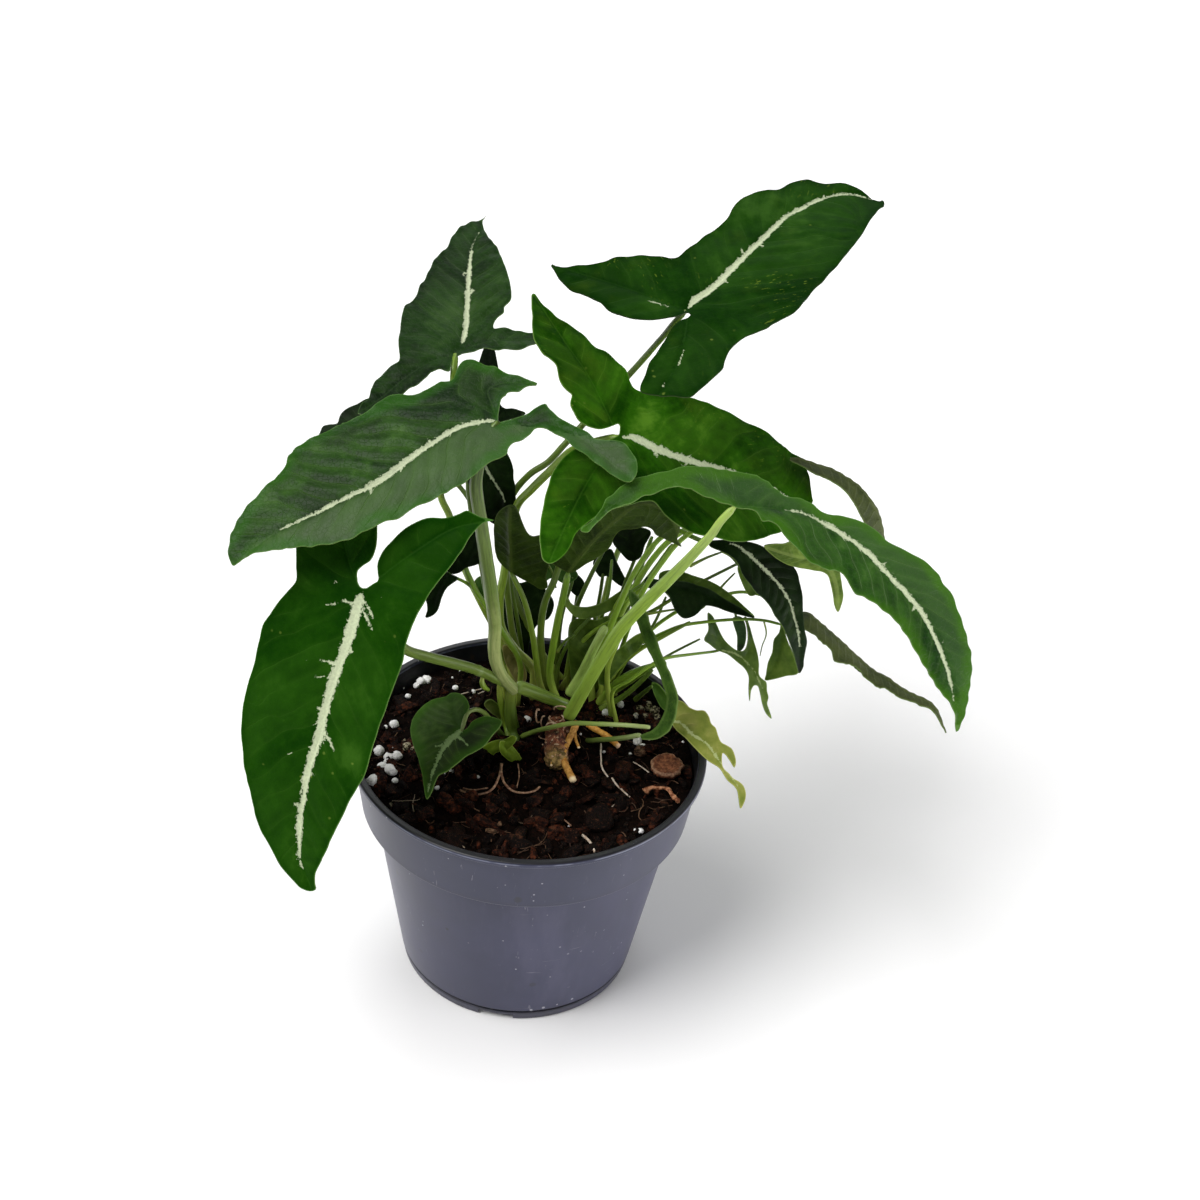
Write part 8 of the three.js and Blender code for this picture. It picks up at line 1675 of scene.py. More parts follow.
under_of("satin", (38, 64, 14), (60, 92, 26), (96, 122, 54), lines=0.1, rib_mix=0.3)
under_of("olive", (64, 80, 32), (88, 102, 50), (126, 136, 84), lines=0.25)
under_of("dark", (34, 50, 22), (50, 68, 34), (84, 98, 60))
RIM = leaf_rim("leaf_margin", srgb(104, 130, 66))
RIM_D = leaf_rim("leaf_margin_dark", srgb(52, 72, 34))


def along(name, rows):
    """a midrib stroke through picture points (x, y, width)"""
    return [tuple(r) for r in rows]


STRIPES = {
    "leaf_01": [[(684, 351, 0.6), (682.6, 354.5, 1.2), (681, 358.5, 0.5)], [(680.2, 361, 0.5), (679, 364.5, 1.0), (677.5, 367, 0.4)], [(665, 383, 0.4), (663, 386, 0.8)], [(648, 302, 0.5), (656, 303.5, 1.0), (668, 307, 0.5)],
                along("leaf_01", [(689, 307, 3), (694, 301, 7), (700, 297, 8), (711.7, 289, 7.5), (730.9, 270, 7), (748.7, 252, 6.5), (764, 238, 6), (785.7, 217, 5), (801, 208.7, 4), (819, 200, 3), (838, 194.7, 1.6), (856, 195.5, 1.0), (872, 200, 0.3)]),
                [(745, 255.5, 2.4), (741, 250, 1.2)], [(757, 244, 2.2), (763, 247.5, 1.0)], [(722, 279, 2.2), (727, 283.5, 1.0)]],
    "leaf_02": [[(624, 437, 3), (632, 437.5, 7.5), (645, 443.5, 8.5), (660, 451, 8.5), (680, 457.5, 8), (700, 464, 7), (728, 470.5, 5), (740, 474, 2.2), (748, 476, 3.2), (765, 484, 1.4), (776, 490, 2.8), (788, 497.5, 1.2), (800, 501, 0.2)],
                [(668, 453, 2.6), (660, 446, 1.2)], [(690, 461, 2.4), (683, 467, 1.2)], [(650, 446, 2.4), (656, 458, 1.0)]],
    "leaf_03": [[(462, 342, 3), (464.5, 335, 5.4), (466.5, 320, 6.2), (467.5, 305, 6), (468, 290, 6), (469, 275, 5.6), (470, 262, 4.0), (471, 252, 2.0), (474, 241, 1.2), (479, 231, 0.5)],
                [(468, 296, 2.2), (474, 291, 0.9)], [(468.5, 280, 2), (463, 275, 0.9)]],
    "leaf_04": [[(494, 420.6, 2), (489, 420.6, 4.4), (473.7, 423.4, 4.8), (458.5, 427.8, 5.2), (443.3, 436, 5.6), (428.2, 446, 6), (410.8, 458, 6.6), (397.8, 468, 7), (382.6, 479.2, 6.6), (367.4, 488, 5.8), (350, 496, 5), (332.8, 504.7, 4.4), (315.4, 513.4, 4), (300.2, 520, 3), (289.4, 525.3, 1.6), (279.6, 529.6, 0.8)],
                [(402, 465, 2.4), (401, 472, 1.0)], [(430, 445.5, 2.2), (428, 439, 0.9)], [(372, 485.5, 2.2), (371, 493, 0.9)]],
    "leaf_05": [[(361, 596, 6), (359, 601, 10), (357.6, 607, 13), (350, 635, 13.5), (342.2, 658.2, 10.5), (334.6, 678.6, 11), (328.2, 699, 9), (323.1, 719.4, 11), (319.3, 737.2, 10.5), (313, 755, 9), (306.5, 778, 9), (303.5, 798.5, 7), (300.2, 819, 7), (299.4, 839.3, 5.6), (300.2, 859.7, 1.8), (303, 868, 0.4)],
                [(356, 603, 5), (350, 602.5, 3), (343, 601, 1.4)], [(341, 603.5, 1.0), (327, 605, 1.0)], [(361, 598, 4), (366, 604, 3), (370, 610, 2.2), (374, 617, 1.0)], [(362, 606, 4), (367, 617, 2.6), (373, 629, 1.0)],
                [(339, 667, 4.4), (328, 661, 2.4), (322, 660, 0.8)], [(335, 672, 3), (325, 676, 1.8), (314, 677, 0.6)], [(322, 728, 4), (330, 739, 2.4), (336, 750, 0.8)], [(346, 645, 3.4), (353, 652, 1.2)],
                [(325, 712, 3), (318, 708, 1)], [(309, 768, 3), (315, 775, 1)], [(302, 806, 3), (296, 803, 1)], [(337, 581, 1.6), (338, 582, 1.2)], [(382, 597, 1.6), (383, 597.6, 1.2)], [(307, 660, 1.4), (308, 660.5, 1.2)], [(291, 752, 1.4), (292, 753, 1.0)]],
    "leaf_06": [[(785, 509.5, 0.6), (801, 512.5, 2.6), (815, 518, 3.6), (830, 527, 4.4), (845, 536, 5), (856, 543.5, 5), (870, 555, 5.4), (884, 570, 5.6), (897, 584, 6), (910, 598, 6), (922, 613, 5.6), (932, 632, 5), (940, 650, 4.4), (948, 672, 3.8), (951.5, 688, 2.4), (953, 700, 0.8)],
                [(880, 566, 2.4), (886, 563, 0.9)], [(915, 604, 2.4), (912, 611, 0.9)], [(937, 645, 2.2), (943, 642, 0.9)]],
    "leaf_08": [[(730, 543.5, 1.0), (737.6, 546, 2.0), (749.8, 555.3, 3.4), (760, 564.5, 4.8), (768.2, 572.7, 4.6), (776.3, 580.8, 3.6), (784.5, 592, 3), (790.6, 603.3, 2.6), (793.7, 615.5, 2.2), (797.8, 630, 1.8), (799.8, 646, 0.6)]],
    "leaf_16": [[(461, 730.6, 5), (455, 735.6, 7.5), (449.4, 741, 7), (441.7, 751.3, 5.4), (435.4, 765.3, 3.6), (431.5, 775.5, 2.4), (428, 792, 1.4)], [(455, 736, 4), (463, 741, 3), (468, 746, 1)], [(446, 745, 3), (436, 747, 1.4)]],
    "leaf_19": [[(484, 464, 1.2), (487, 470, 2.4), (495, 483, 2.8), (503, 495, 1.6), (505, 502, 0.5)]],
    "leaf_15": [[(655, 729, 2), (668, 722, 2.6), (680, 722.7, 2.8), (693.5, 735.3, 2.8), (706, 743, 2.4), (721.5, 764, 2), (738, 786, 1)]],
    "leaf_12": [[(722, 650, 1.6), (738, 655, 1.8), (752, 668, 1.4), (762, 688, 0.6)]],
    "leaf_24": [[(656, 469, 3), (690, 470, 6), (740, 474, 5), (775, 482, 1)]],
    "leaf_25": [[(455, 444, 3), (420, 452, 6), (370, 468, 5), (335, 482, 1)]],
    "leaf_26": [[(705, 294, 3), (740, 270, 6), (790, 235, 5), (830, 218, 1)]],
}
# the lower lobe of leaf_01 ends where leaf_02 covers it
TRIMMED_01 = [(676, 260), (660, 259), (643, 257), (630, 258), (615, 260), (600, 265), (580, 266), (565, 268), (557, 267), (551, 265), (555, 273), (562, 284), (572, 292), (581, 295), (590, 299), (600, 305), (609, 313), (620, 318), (635, 321), (650, 321), (665, 319), (676, 317), (682, 315), (686, 313), (688, 313), (690, 314), (690, 317), (686, 319), (679, 322), (672, 330), (663, 345), (656, 357), (649, 366), (645, 378), (640.5, 388), (640.5, 392.4), (646, 394.2), (655, 395.6), (665, 396.4), (675, 397.2), (684, 398.4), (691, 397.6), (704, 388), (714, 380), (723, 370), (725, 362), (730, 352), (740, 342), (753, 337), (767, 331), (773, 326), (783, 320), (796, 313), (804, 304), (812, 293), (822, 283), (834, 270), (847, 255), (860, 239), (870, 223), (879, 211), (884, 207), (883, 201), (877, 202), (867, 196), (855, 189), (842, 185), (829, 185), (815, 184), (806, 182), (797, 183), (788, 187), (778, 192), (764, 194), (751, 197), (741, 202), (733, 210), (727, 220), (718, 229), (704, 238), (698, 243), (686, 252)]
# painted light and painted shade on the large leaves, as broad lighter and darker areas: x, y, radius, amount
PAINTED_LIGHT_SHADE = {
    "leaf_01": [(742, 218, 22, 0.08), (600, 284, 26, -0.24), (688, 350, 20, 0.10), (655, 306, 14, 0.14), (780, 300, 24, -0.08), (842, 205, 18, 0.12), (700, 378, 14, -0.08), (715, 262, 16, 0.06)],
    "leaf_02": [(645, 420, 16, 0.20), (700, 425, 22, 0.20), (738, 470, 14, 0.16), (618, 377, 14, 0.14), (612, 412, 14, -0.10), (690, 408, 12, -0.08), (580, 500, 20, -0.08), (676, 492, 16, 0.08), (560, 380, 20, -0.06)],
    "leaf_03": [(490, 268, 16, -0.06), (440, 300, 18, 0.06), (446, 250, 14, -0.05)],
    "leaf_04": [(470, 500, 24, -0.16), (470, 540, 20, -0.16), (430, 400, 20, -0.10), (500, 395, 18, -0.10), (530, 420, 22, -0.20), (580, 440, 26, -0.26), (350, 470, 24, 0.02), (300, 520, 20, 0.10), (400, 440, 22, 0.04), (390, 500, 24, 0.14)],
    "leaf_05": [(350, 758, 20, 0.20), (438, 545, 26, -0.24), (300, 640, 22, 0.02), (352, 700, 22, 0.08), (395, 600, 22, 0.02), (285, 760, 20, -0.06), (410, 650, 20, -0.08), (270, 690, 20, 0.05)],
    "leaf_06": [(905, 610, 18, 0.08), (860, 560, 20, -0.04), (930, 670, 14, -0.08)],
}
LEAF_LOOK = {
    "leaf_01": ("01", "green", RIM_D, dict(h=0.95, spacing=9.5, quilt=0.40, fold=0.8, wob=0.6, ripple=0.55, frill=0.15, outline=TRIMMED_01, tones=PAINTED_LIGHT_SHADE["leaf_01"])),
    "leaf_02": ("02", "green", RIM, dict(h=0.95, spacing=9.0, quilt=0.42, fold=0.8, wob=0.55, ripple=0.45, frill=0.15, tones=PAINTED_LIGHT_SHADE["leaf_02"])),
    "leaf_03": ("03", "green", RIM, dict(h=0.9, spacing=7.0, quilt=0.70, fold=0.7, wob=0.7, ripple=0.7, frill=0.3, lean=1.0, tones=PAINTED_LIGHT_SHADE["leaf_03"])),
    "leaf_04": ("04", "green", RIM, dict(h=0.95, spacing=7.6, quilt=0.80, fold=0.8, wob=0.7, ripple=0.7, frill=0.3, lean=1.0, tones=PAINTED_LIGHT_SHADE["leaf_04"])),
    "leaf_05": ("05", "green", RIM, dict(h=0.95, spacing=10.0, quilt=0.36, fold=0.8, wob=0.6, ripple=0.45, frill=0.12, tones=PAINTED_LIGHT_SHADE["leaf_05"])),
    "leaf_06": ("06", "green", RIM, dict(h=0.95, spacing=6.6, quilt=0.62, fold=0.8, wob=0.65, ripple=0.65, frill=0.25, lean=1.25, tones=PAINTED_LIGHT_SHADE["leaf_06"])),
    "leaf_07": ("dark7", "shade", RIM_D, dict(h=0.85, spacing=5.5, quilt=0.35, fold=0.4, keel=0.5)),
    "leaf_08": ("dark", "green", RIM, dict(h=0.8, spacing=4.6, quilt=0.45, fold=0.6)),
    "leaf_09": ("mid", "pale", RIM, dict(h=0.7, spacing=3.6, quilt=0.25, fold=0.3, keel=0.4)),
    "leaf_12": ("drip", "olive", RIM_D, dict(h=0.7, spacing=3.5, quilt=0.30, fold=0.3, keel=0.4)),
    "leaf_13": ("drip", "olive", RIM_D, dict(h=0.7, spacing=3.2, quilt=0.25, fold=0.3, keel=0.4)),
    "leaf_14": ("dark", "dark", RIM_D, dict(h=0.8, spacing=4.0, quilt=0.35, fold=0.4, keel=0.5)),
    "leaf_15": ("15", "olive", RIM, dict(h=0.65, spacing=4.0, quilt=0.35, fold=0.4, keel=0.4)),
    "leaf_16": ("16", "green", RIM, dict(h=0.65, spacing=3.4, quilt=0.40, fold=0.5, keel=0.5)),
    "leaf_18": ("dark", "dark", RIM_D, dict(h=0.9, spacing=5.0)),
    "leaf_19": ("dark", "dark", RIM_D, dict(h=0.8, spacing=4.6)),
    "leaf_20": ("mid", "shade", RIM_D, dict(h=0.8, spacing=4.6, fold=0.3, keel=0.5)),
    "leaf_21": ("dark", "dark", RIM_D, dict(h=0.8, spacing=4.0, fold=0.3, keel=0.4)),
    "leaf_22": ("dark", "dark", RIM_D, dict(h=0.8, spacing=4.0, fold=0.3, keel=0.4)),
    "leaf_23": ("dark", "dark", RIM_D, dict(h=1.0, spacing=5.0)),
    "leaf_24": ("03", "green", RIM, dict(h=1.15, spacing=6.0)),
    "leaf_25": ("03", "green", RIM, dict(h=1.15, spacing=6.0)),
    "leaf_26": ("01", "green", RIM, dict(h=1.15, spacing=6.2)),
}
YOUNG = {"leaf_12", "leaf_13", "leaf_15"}
for n, (name, (tk, uk, rim, kw)) in enumerate(sorted(LEAF_LOOK.items())):
    o, _, _ = build_blade(name + "_blade", BLADES[name], [TOPS[tk], UNDERS[uk], rim], seed=n * 5 + 2, stripes=STRIPES.get(name, ()), slot="young_leaf" if name in YOUNG else "leaf", **kw)
    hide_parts(name)

# ---- narrow leaves ------------------------------------------------------------------
top_of("thin", (48, 64, 22), (72, 88, 38), (108, 120, 66), rough=0.42, spec=0.14, veins=0.2)
top_of("thin_dark", (42, 62, 26), (62, 84, 38), (94, 114, 60), rough=0.40, spec=0.14, veins=0.18)
RIB_LOOK = {
    "leaf_10": ("thin_dark", "dry", "old_leaf", dict(curl=0.35, spacing=3.2, seed=3, rag=0.35)),
    "leaf_11": ("thin", "dry", "old_leaf", dict(curl=0.30, spacing=3.4, seed=5, rag=0.10)),
    "leaf_17": ("young", "satin", "young_leaf", dict(curl=0.45, spacing=6.0, seed=7, rag=0.12, quilt=0.05, narrow=0.68)),
}
for name, (tk, uk, slot, kw) in RIB_LOOK.items():
    o = build_ribbon(name + "_ribbon", RIBBONS[name], [TOPS[tk], UNDERS[uk], RIM], slot=slot, **kw)
    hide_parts(name)


# ---- the clump's inner sheaths, thin stalks and torn leaves -----------------------------
def px_points(q, y):
    q = np.asarray(q, float)
    d = FWD + ((q[:, 0] - 600) / FOCAL)[:, None] * CX + ((600 - q[:, 1]) / FOCAL)[:, None] * CY
    return CAM + d * ((y - CAM[1]) / d[:, 1])[:, None]


def reach(pts, y_end, y0=None, lift=-1.5):
    """picture points from the soil up to depth y_end"""
    foot = on_soil(pts[0][0], pts[0][1])
    a = foot[1] if y0 is None else y0
    n = len(pts) - 1
    out = [at_y(x, y, a + (y_end - a) * k / n) for k, (x, y) in enumerate(pts)]
    return ([foot + [0, 0, lift]] if y0 is None else []) + out


def flap(name, outline, y0, gx, gy, mats, rib=None, h=0.9, thick=0.3, bend=1.2, spacing=4.5, quilt=0.25, seed=1, slot="leaf", replaces=(), stroke=None, cup=0.0):
    """a small leaf, drawn by picture points on a sloping sheet at depth y0"""
    out = catmull(np.array(outline, float) / 2.9, 0.75 * h, closed=True)
    ctr = out.mean(0)
    lo, hi = out.min(0), out.max(0)
    gxx, gyy = np.meshgrid(np.arange(lo[0], hi[0] + h, h), np.arange(lo[1], hi[1] + h, h * 0.866), indexing="xy")
    gxx[1::2] += h / 2
    G = np.stack([gxx.ravel(), gyy.ravel()], 1)
    G = G[inside(G, out)]
    if len(G):
        G = G[to_line(G, out, True)[0] > 0.5 * h]
    verts = list(map(tuple, out)) + list(map(tuple, G))
    edges = [(i, (i + 1) % len(out)) for i in range(len(out))]
    V2, _, F, *_ = delaunay_2d_cdt([Vector(v) for v in verts], edges, [list(range(len(out)))], 1, 1e-4)
    uv = np.array([v[:] for v in V2])
    F = np.array([f for f in F if len(f) == 3])
    F = F[inside(uv[F].mean(1), out)]
    a, b, c = uv[F[:, 0]], uv[F[:, 1]], uv[F[:, 2]]
    ar = (b[:, 0] - a[:, 0]) * (c[:, 1] - a[:, 1]) - (b[:, 1] - a[:, 1]) * (c[:, 0] - a[:, 0])
    F, ar = F[np.abs(ar) > 1e-7], ar[np.abs(ar) > 1e-7]
    F[ar > 0] = F[ar > 0][:, ::-1]
    used = np.unique(F)
    remap = np.full(len(uv), -1)
    remap[used] = np.arange(len(used))
    uv, F = uv[used], remap[F]
    L = catmull(np.array(rib if rib else [outline[0], outline[len(outline) // 2]], float) / 2.9, 0.7)
    near, al, side = to_line(uv, L)
    E = to_line(uv, out, True)[0]
    ph = (al - 0.8 * near) / spacing + 0.25 * side + 0.2 * vnoise(np.c_[uv, uv[:, :1] * 0] / 9.0, seed)
    vf = smooth(E, 0.2, 1.6) * smooth(near, 0.2, 1.2)
    bulge = (np.abs(((ph + 0.5) % 1.0) - 0.5) * 2) ** 0.75
    rel = uv - ctr
    y = y0 + gx * rel[:, 0] + gy * rel[:, 1] + bend * fbm(np.c_[uv, uv[:, :1] * 0 + seed], 8.0, 3, seed) - quilt * (bulge - 0.6) * vf + 0.3 * np.exp(-(near / 0.7) ** 2) + cup * near ** 2
    P = px_points(uv * 2.9, y)
    n = len(uv)
    # normals of the sheet, towards the camera
    N = np.zeros_like(P)
    fn = np.cross(P[F[:, 1]] - P[F[:, 0]], P[F[:, 2]] - P[F[:, 0]])
    for k in range(3):
        np.add.at(N, F[:, k], fn)
    N = unit(N)
    if (N @ FWD).mean() > 0:
        N, F = -N, F[:, ::-1]
    V = np.vstack([P + N * thick / 2, P - N * thick / 2])
    und = {}
    for tri in F:
        for x, z in ((tri[0], tri[1]), (tri[1], tri[2]), (tri[2], tri[0])):
            if (z, x) in und:
                del und[(z, x)]
            else:
                und[(x, z)] = 1
    rim = []
    for x, z in und:
        rim.append([z, x, x + n])
        rim.append([z, x + n, z + n])
    Fa = np.vstack([F, F[:, ::-1] + n, np.array(rim)])
    slots = np.concatenate([np.zeros(len(F)), np.ones(len(F)), np.full(len(rim), 2)])
    two = lambda q: np.concatenate([q, q])
    st = np.full(n, 12.0)
    if stroke:
        S = catmull(np.array(stroke, float)[:, :2] / 2.9, 0.5)
        d, _, _ = to_line(uv, S)
        st = d - stroke[0][2] / 5.8
    attrs = dict(st=two(st), ph=two(ph), vf=two(vf), ed=two(E), sp=np.full(2 * n, spacing), rb=two(near), sd=two(near * side))
    return make(name, V, Fa, mats, slots=slots, attrs=attrs, sharp=55, slot=slot, replaces=replaces)


T_DARK, T_MID, T_OL = TOPS["dark"], TOPS["mid"], TOPS["drip"]
U_DK, U_GR, U_OL, U_SH = UNDERS["dark"], UNDERS["green"], UNDERS["olive"], UNDERS["shade"]
top_of("sheath", (64, 82, 24), (98, 116, 44), (142, 150, 84), rough=0.46, spec=0.12, veins=0.3)
top_of("straw", (86, 84, 40), (128, 120, 66), (170, 160, 108), rough=0.55, spec=0.10, veins=0.35)
top_of("shootlet", (108, 142, 26), (144, 176, 50), (182, 204, 92), rough=0.42, spec=0.16, veins=0.10)
T_SHE, T_STRAW, T_SHOOT = TOPS["sheath"], TOPS["straw"], TOPS["shootlet"]

FLAPS = [
    # dark leaves at the back of the clump, laid over its shaded gaps, their dark colour painted shade: outline, depth,
    # slopes, materials, midrib, stalk to the soil
    ("inner_leaf_01", [(498, 584), (508, 579), (520, 583), (533, 580), (546, 590), (554, 603), (549, 618), (538, 624), (530, 640), (526, 660), (517, 668), (508, 655), (505, 634), (498, 618), (500, 600)], 47, 0.1, -0.25, (T_DARK, U_DK, RIM_D), [(512, 664), (518, 630), (524, 590)], [(520, 676), (517, 664), (518, 648)]),
    ("inner_leaf_02", [(513, 556), (524, 552), (540, 555), (556, 562), (571, 566), (578, 576), (566, 584), (552, 578), (540, 585), (526, 580), (516, 570)], 37, 0.05, -0.4, (T_MID, U_SH, RIM_D), [(574, 575), (545, 568), (518, 560)], [(556, 690), (558, 650), (562, 615), (571, 585), (573, 577)]),
    ("inner_leaf_03", [(593, 562), (603, 552), (611, 549), (617, 562), (624, 576), (631, 589), (619, 585), (607, 576), (600, 577)], 46, 0.0, -0.3, (T_DARK, U_DK, RIM_D), [(607, 577), (612, 564), (610, 552)], [(582, 677), (590, 640), (598, 606), (603, 574)]),
    ("inner_leaf_04", [(612, 533), (624, 528), (640, 527), (651, 532), (645, 545), (640, 558), (630, 561), (620, 552), (613, 543)], 42, 0.1, -0.3, (T_DARK, U_DK, RIM_D), [(637, 557), (632, 544), (630, 530)], [(592, 680), (604, 640), (620, 596), (636, 556)]),
    ("inner_leaf_05", [(567, 596), (572, 604), (582, 607), (596, 605), (608, 599), (620, 591), (634, 584), (641, 588), (634, 597), (622, 605), (608, 612), (592, 618), (578, 618), (569, 611), (564, 602)], 36, 0.2, -0.3, (T_OL, U_OL, RIM), [(638, 588), (606, 606), (572, 608)], [(600, 692), (606, 660), (622, 622), (636, 590)]),
    ("inner_leaf_06", [(660, 573), (676, 570), (692, 575), (712, 582), (728, 592), (744, 606), (755, 617), (742, 612), (726, 602), (710, 598), (704, 608), (692, 611), (680, 607), (668, 596), (660, 585)], 30, 0.15, -0.5, (T_OL, U_SH, RIM_D), [(662, 578), (690, 586), (744, 608)], None),
    ("inner_leaf_07", [(733, 618), (741, 617), (746, 628), (744, 647), (738, 652), (737, 636)], 37, 0.0, 0.2, (T_MID, U_SH, RIM_D), [(738, 619), (741, 634), (739, 650)], [(728, 598), (733, 607), (737, 620)]),
    ("inner_leaf_08", [(738, 566), (748, 563), (762, 570), (772, 583), (778, 598), (770, 600), (760, 594), (750, 596), (742, 583)], 31, 0.1, -0.3, (T_OL, U_OL, RIM_D), [(740, 568), (756, 580), (772, 596)], [(722, 551), (731, 556), (740, 567)]),
    ("inner_leaf_09", [(569, 582), (575, 574), (583, 580), (586, 591), (578, 596), (571, 591)], 43, 0.0, -0.2, (T_DARK, U_DK, RIM_D), None, [(566, 682), (572, 640), (576, 604), (578, 590)]),
    ("inner_leaf_10", [(474, 582), (481, 576), (489, 586), (492, 600), (486, 612), (478, 603)], 40, 0.0, -0.3, (T_MID, U_SH, RIM_D), None, [(512, 684), (503, 655), (494, 626), (486, 598)]),
    ("inner_leaf_11", [(498, 545), (508, 538), (520, 545), (531, 556), (526, 566), (512, 566), (500, 558)], 40, 0.0, -0.4, (T_MID, U_SH, RIM_D), None, [(524, 676), (520, 640), (514, 600), (508, 560)]),
    # young leaf by the wall, and papery sheath remains
    ("inner_leaf_12", [(652, 682), (658, 684), (665, 692), (670, 702), (669, 712), (662, 708), (657, 700), (653, 691)], 22, 0.0, -0.2, (TOPS["young"], U_GR, RIM), [(653, 684), (662, 696), (668, 709)], [(634, 702), (642, 694), (652, 686)]),
    ("old_sheath_01", [(503, 645), (510, 646), (517, 653), (523, 662), (527, 676), (522, 686), (515, 680), (509, 670), (504, 658)], 30, 0.0, -0.1, (T_STRAW, U_OL, RIM), None, [(524, 694), (522, 684), (518, 672)]),
    ("old_sheath_02", [(484, 704), (490, 699), (497, 703), (504, 710), (508, 722), (511, 732), (504, 730), (498, 718), (491, 713)], 14, 0.3, -0.1, (T_SHE, U_OL, RIM), None, [(509, 738), (507, 730), (502, 718)]),
    ("old_sheath_03", [(571, 622), (583, 618), (596, 620), (608, 616), (606, 636), (600, 656), (596, 676), (586, 690), (574, 690), (570, 668), (568, 644)], 33, 0.05, -0.1, (T_OL, U_SH, RIM_D), [(580, 690), (584, 655), (592, 622)], [(580, 694), (580, 688), (582, 672)]),
    ("old_sheath_04", [(600, 672), (610, 658), (622, 646), (636, 635), (647, 632), (642, 645), (630, 657), (618, 670), (606, 684), (599, 684)], 27, 0.15, -0.1, (T_OL, U_OL, RIM), [(602, 680), (622, 655), (644, 636)], [(600, 694), (603, 686), (606, 676)]),
]
for n, (name, outline, y0, gx, gy, mats, rib, foot) in enumerate(FLAPS):
    flap(name, outline, y0, gx, gy, mats, rib=rib, seed=40 + n, bend=1.6 if "sheath" in name else 1.2)
    if foot:
        on = foot[0][1] > 670
        p = reach(foot, y0, lift=-1.0) if on else reach(foot, y0, y0=y0 + 1)
        build_stalk(name + "_stalk", p, (1.0, 0.6) if on else (0.5, 0.45), S_DARK, sides=9, root=0, seed=60 + n)

THIN = [
    # path, end depth, radii, material
    ([(563, 688), (580, 664), (597, 642), (622, 609), (648, 579), (673, 545)], 34, (1.3, 0.9), S_OLIVE),
    ([(600, 690), (618, 640), (634, 588), (652, 537)], 36, (1.1, 0.7), S_THIN),
    ([(596, 688), (612, 650), (632, 622), (656, 609), (690, 588), (741, 562)], 33, (0.9, 0.5), S_DARK),
    ([(568, 692), (572, 660), (584, 640), (606, 624), (628, 617)], 30, (1.0, 0.7), S_OLIVE),
    ([(574, 688), (572, 645), (576, 609), (589, 579), (606, 545)], 41, (1.1, 0.7), S_DARK),
    ([(602, 694), (620, 652), (639, 605), (652, 590), (673, 579)], 33, (0.9, 0.6), S_THIN),
    ([(597, 706), (615, 684), (634, 672), (655, 665)], 28, (1.55, 1.1), S_THIN),
    ([(599, 711), (622, 697), (638, 684), (652, 670)], 24, (1.1, 0.8), S_DARK),
    ([(593, 692), (608, 668), (629, 648), (643, 640)], 30, (1.6, 0.9), S_THIN),
    ([(597, 700), (610, 677), (636, 652), (664, 636), (690, 622)], 33, (1.2, 0.6), S_OLIVE),
    ([(600, 704), (634, 680), (664, 658), (682, 648), (700, 639)], 31, (0.7, 0.4), S_DARK),
    ([(606, 700), (630, 655), (652, 627), (666, 597)], 36, (0.7, 0.5), S_DARK),
    ([(578, 694), (590, 655), (600, 622), (609, 590), (612, 560)], 40, (0.9, 0.55), S_THIN),
    ([(552, 696), (560, 660), (573, 636), (590, 618)], 33, (0.8, 0.6), S_DARK),
    ([(590, 698), (594, 660), (604, 630), (620, 600), (640, 566), (655, 545)], 38, (1.2, 0.7), S_OLIVE),
]
for n, (pts, y1, rr, mat) in enumerate(THIN):
    build_stalk("thin_stalk_%02d" % (n + 1), reach(pts, y1), rr, mat, sides=10, root=0, seed=90 + n)
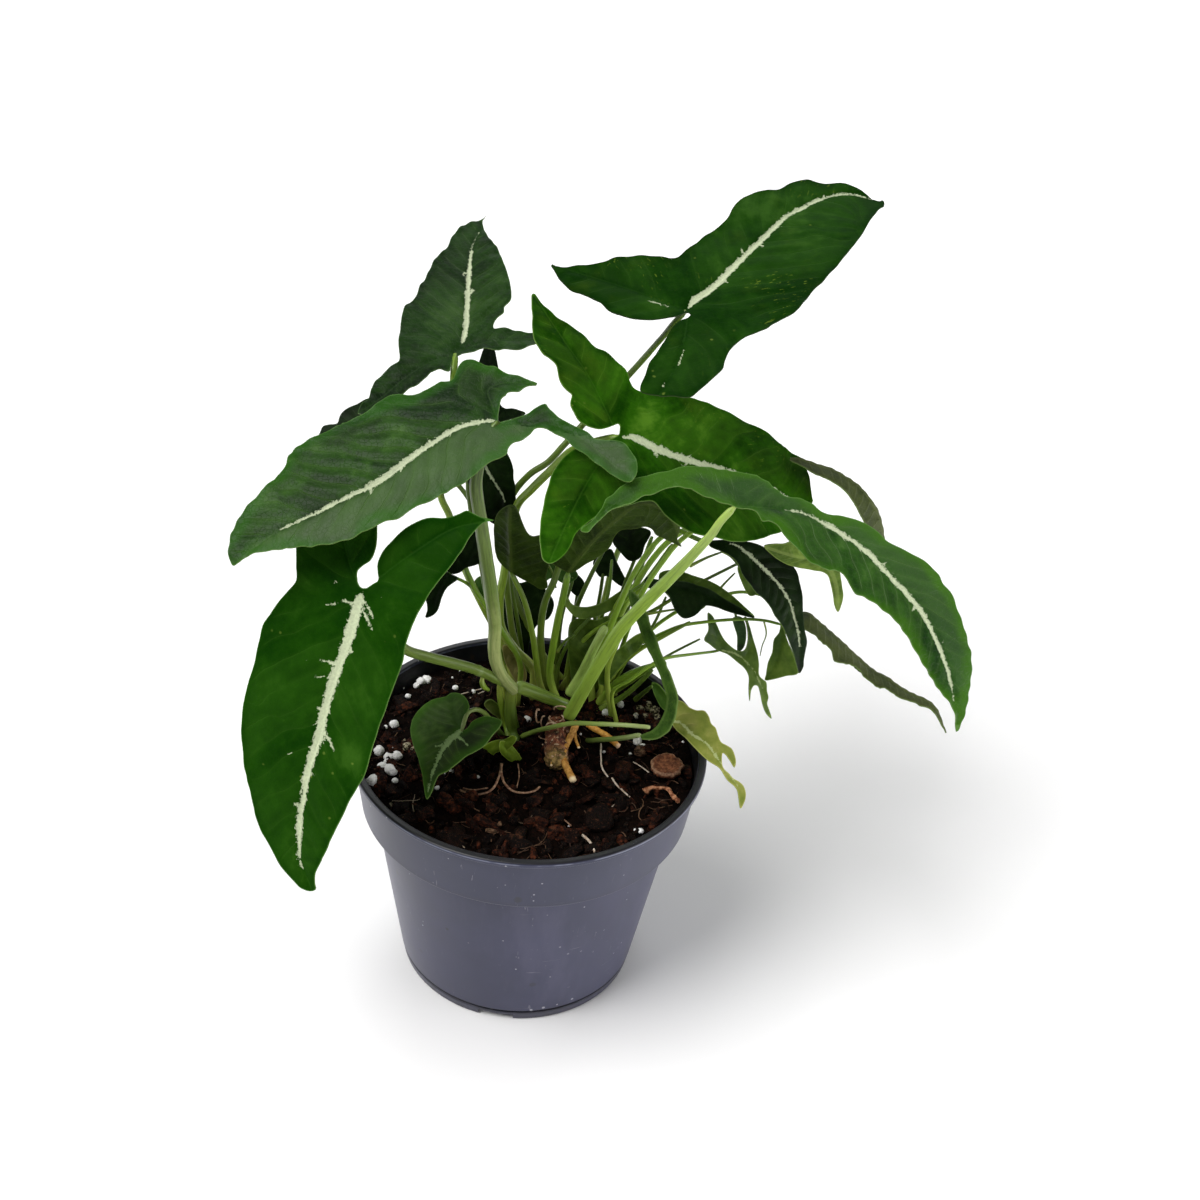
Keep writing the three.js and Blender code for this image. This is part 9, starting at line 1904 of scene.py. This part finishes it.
# short twigs between the outer stalks and a hanging thread
LOOSE = [([(717, 592), (726, 582), (735, 573)], 38, 36, (0.45, 0.3), S_DARK), ([(690, 566), (706, 558), (722, 552)], 31, 31, (0.55, 0.35), S_DARK),
         ([(764, 621), (766, 634), (762, 646), (760, 656)], 33, 33, (0.28, 0.18), S_DARK), ([(648, 614), (664, 611), (684, 608), (712, 602)], 30, 27, (0.45, 0.3), S_DARK),
         ([(557, 652), (566, 640), (574, 635)], 30, 30, (0.5, 0.4), S_DARK), ([(545, 560), (552, 572), (556, 588)], 33, 33, (0.4, 0.3), S_DARK)]
for n, (pts, ya, yb, rr, mat) in enumerate(LOOSE):
    build_stalk("thin_twig_%02d" % (n + 1), [at_y(x, y, ya + (yb - ya) * k / (len(pts) - 1)) for k, (x, y) in enumerate(pts)], rr, mat, sides=8, root=0, seed=120 + n)

# old green sheath below the joint of the long stalk, with a hanging bud
build_stalk("old_sheath_stem", [at_y(512, 689, 12.0), at_y(510, 700, 12.0), at_y(511, 716, 11.5), at_y(514, 732, 10.5), on_soil(516, 742) + [0, 0, -1]], (1.6, 2.0, 2.2, 1.9), S_DARK, sides=14, root=0, seed=140, pale_edge_highlight_amount=0.8)
build_stalk("old_sheath_stem_b", [at_y(500, 680, 11.0), at_y(500, 694, 12.0), at_y(503, 710, 12.5), at_y(507, 726, 12.0), on_soil(509, 738) + [0, 0, -1]], (0.7, 1.1, 1.4, 1.3), S_OLIVE, sides=12, root=0, seed=141, pale_edge_highlight_amount=0.6)
build_stalk("hanging_bud", [at_y(483, 676, 6.0), at_y(482, 681, 5.0), at_y(484, 687, 5.0), at_y(489, 690, 6.0)], (0.5, 0.9, 0.6), S_OLIVE, sides=10, root=0, seed=142)

# forked young shoot
flap("shoot_scale", [(474, 757), (480, 750), (487, 744), (496, 740), (505, 739), (513, 735), (517, 738), (512, 746), (505, 751), (497, 752), (491, 757), (486, 754)], -1.0, -0.5, -0.35, (T_SHOOT, UNDERS["pale"], RIM), rib=[(476, 756), (494, 746), (515, 737)], h=0.6, thick=0.5, bend=0.5, cup=0.10, seed=150, slot="young_leaf", replaces=["shoot_01"])
flap("shoot_tooth", [(500, 741), (508, 742), (514, 748), (520, 756), (523, 765), (517, 767), (511, 762), (505, 757), (500, 751)], -2.5, 0.3, -0.3, (T_SHOOT, UNDERS["pale"], RIM), rib=[(502, 744), (512, 755), (520, 766)], h=0.6, thick=0.5, bend=0.4, cup=0.12, seed=151, slot="young_leaf")
build_stalk("shoot_foot", [at_y(508, 745, 0.5), on_soil(510, 752) + [0, 0, -0.5]], (1.2, 1.3), S_THIN, sides=10, root=0, seed=152)
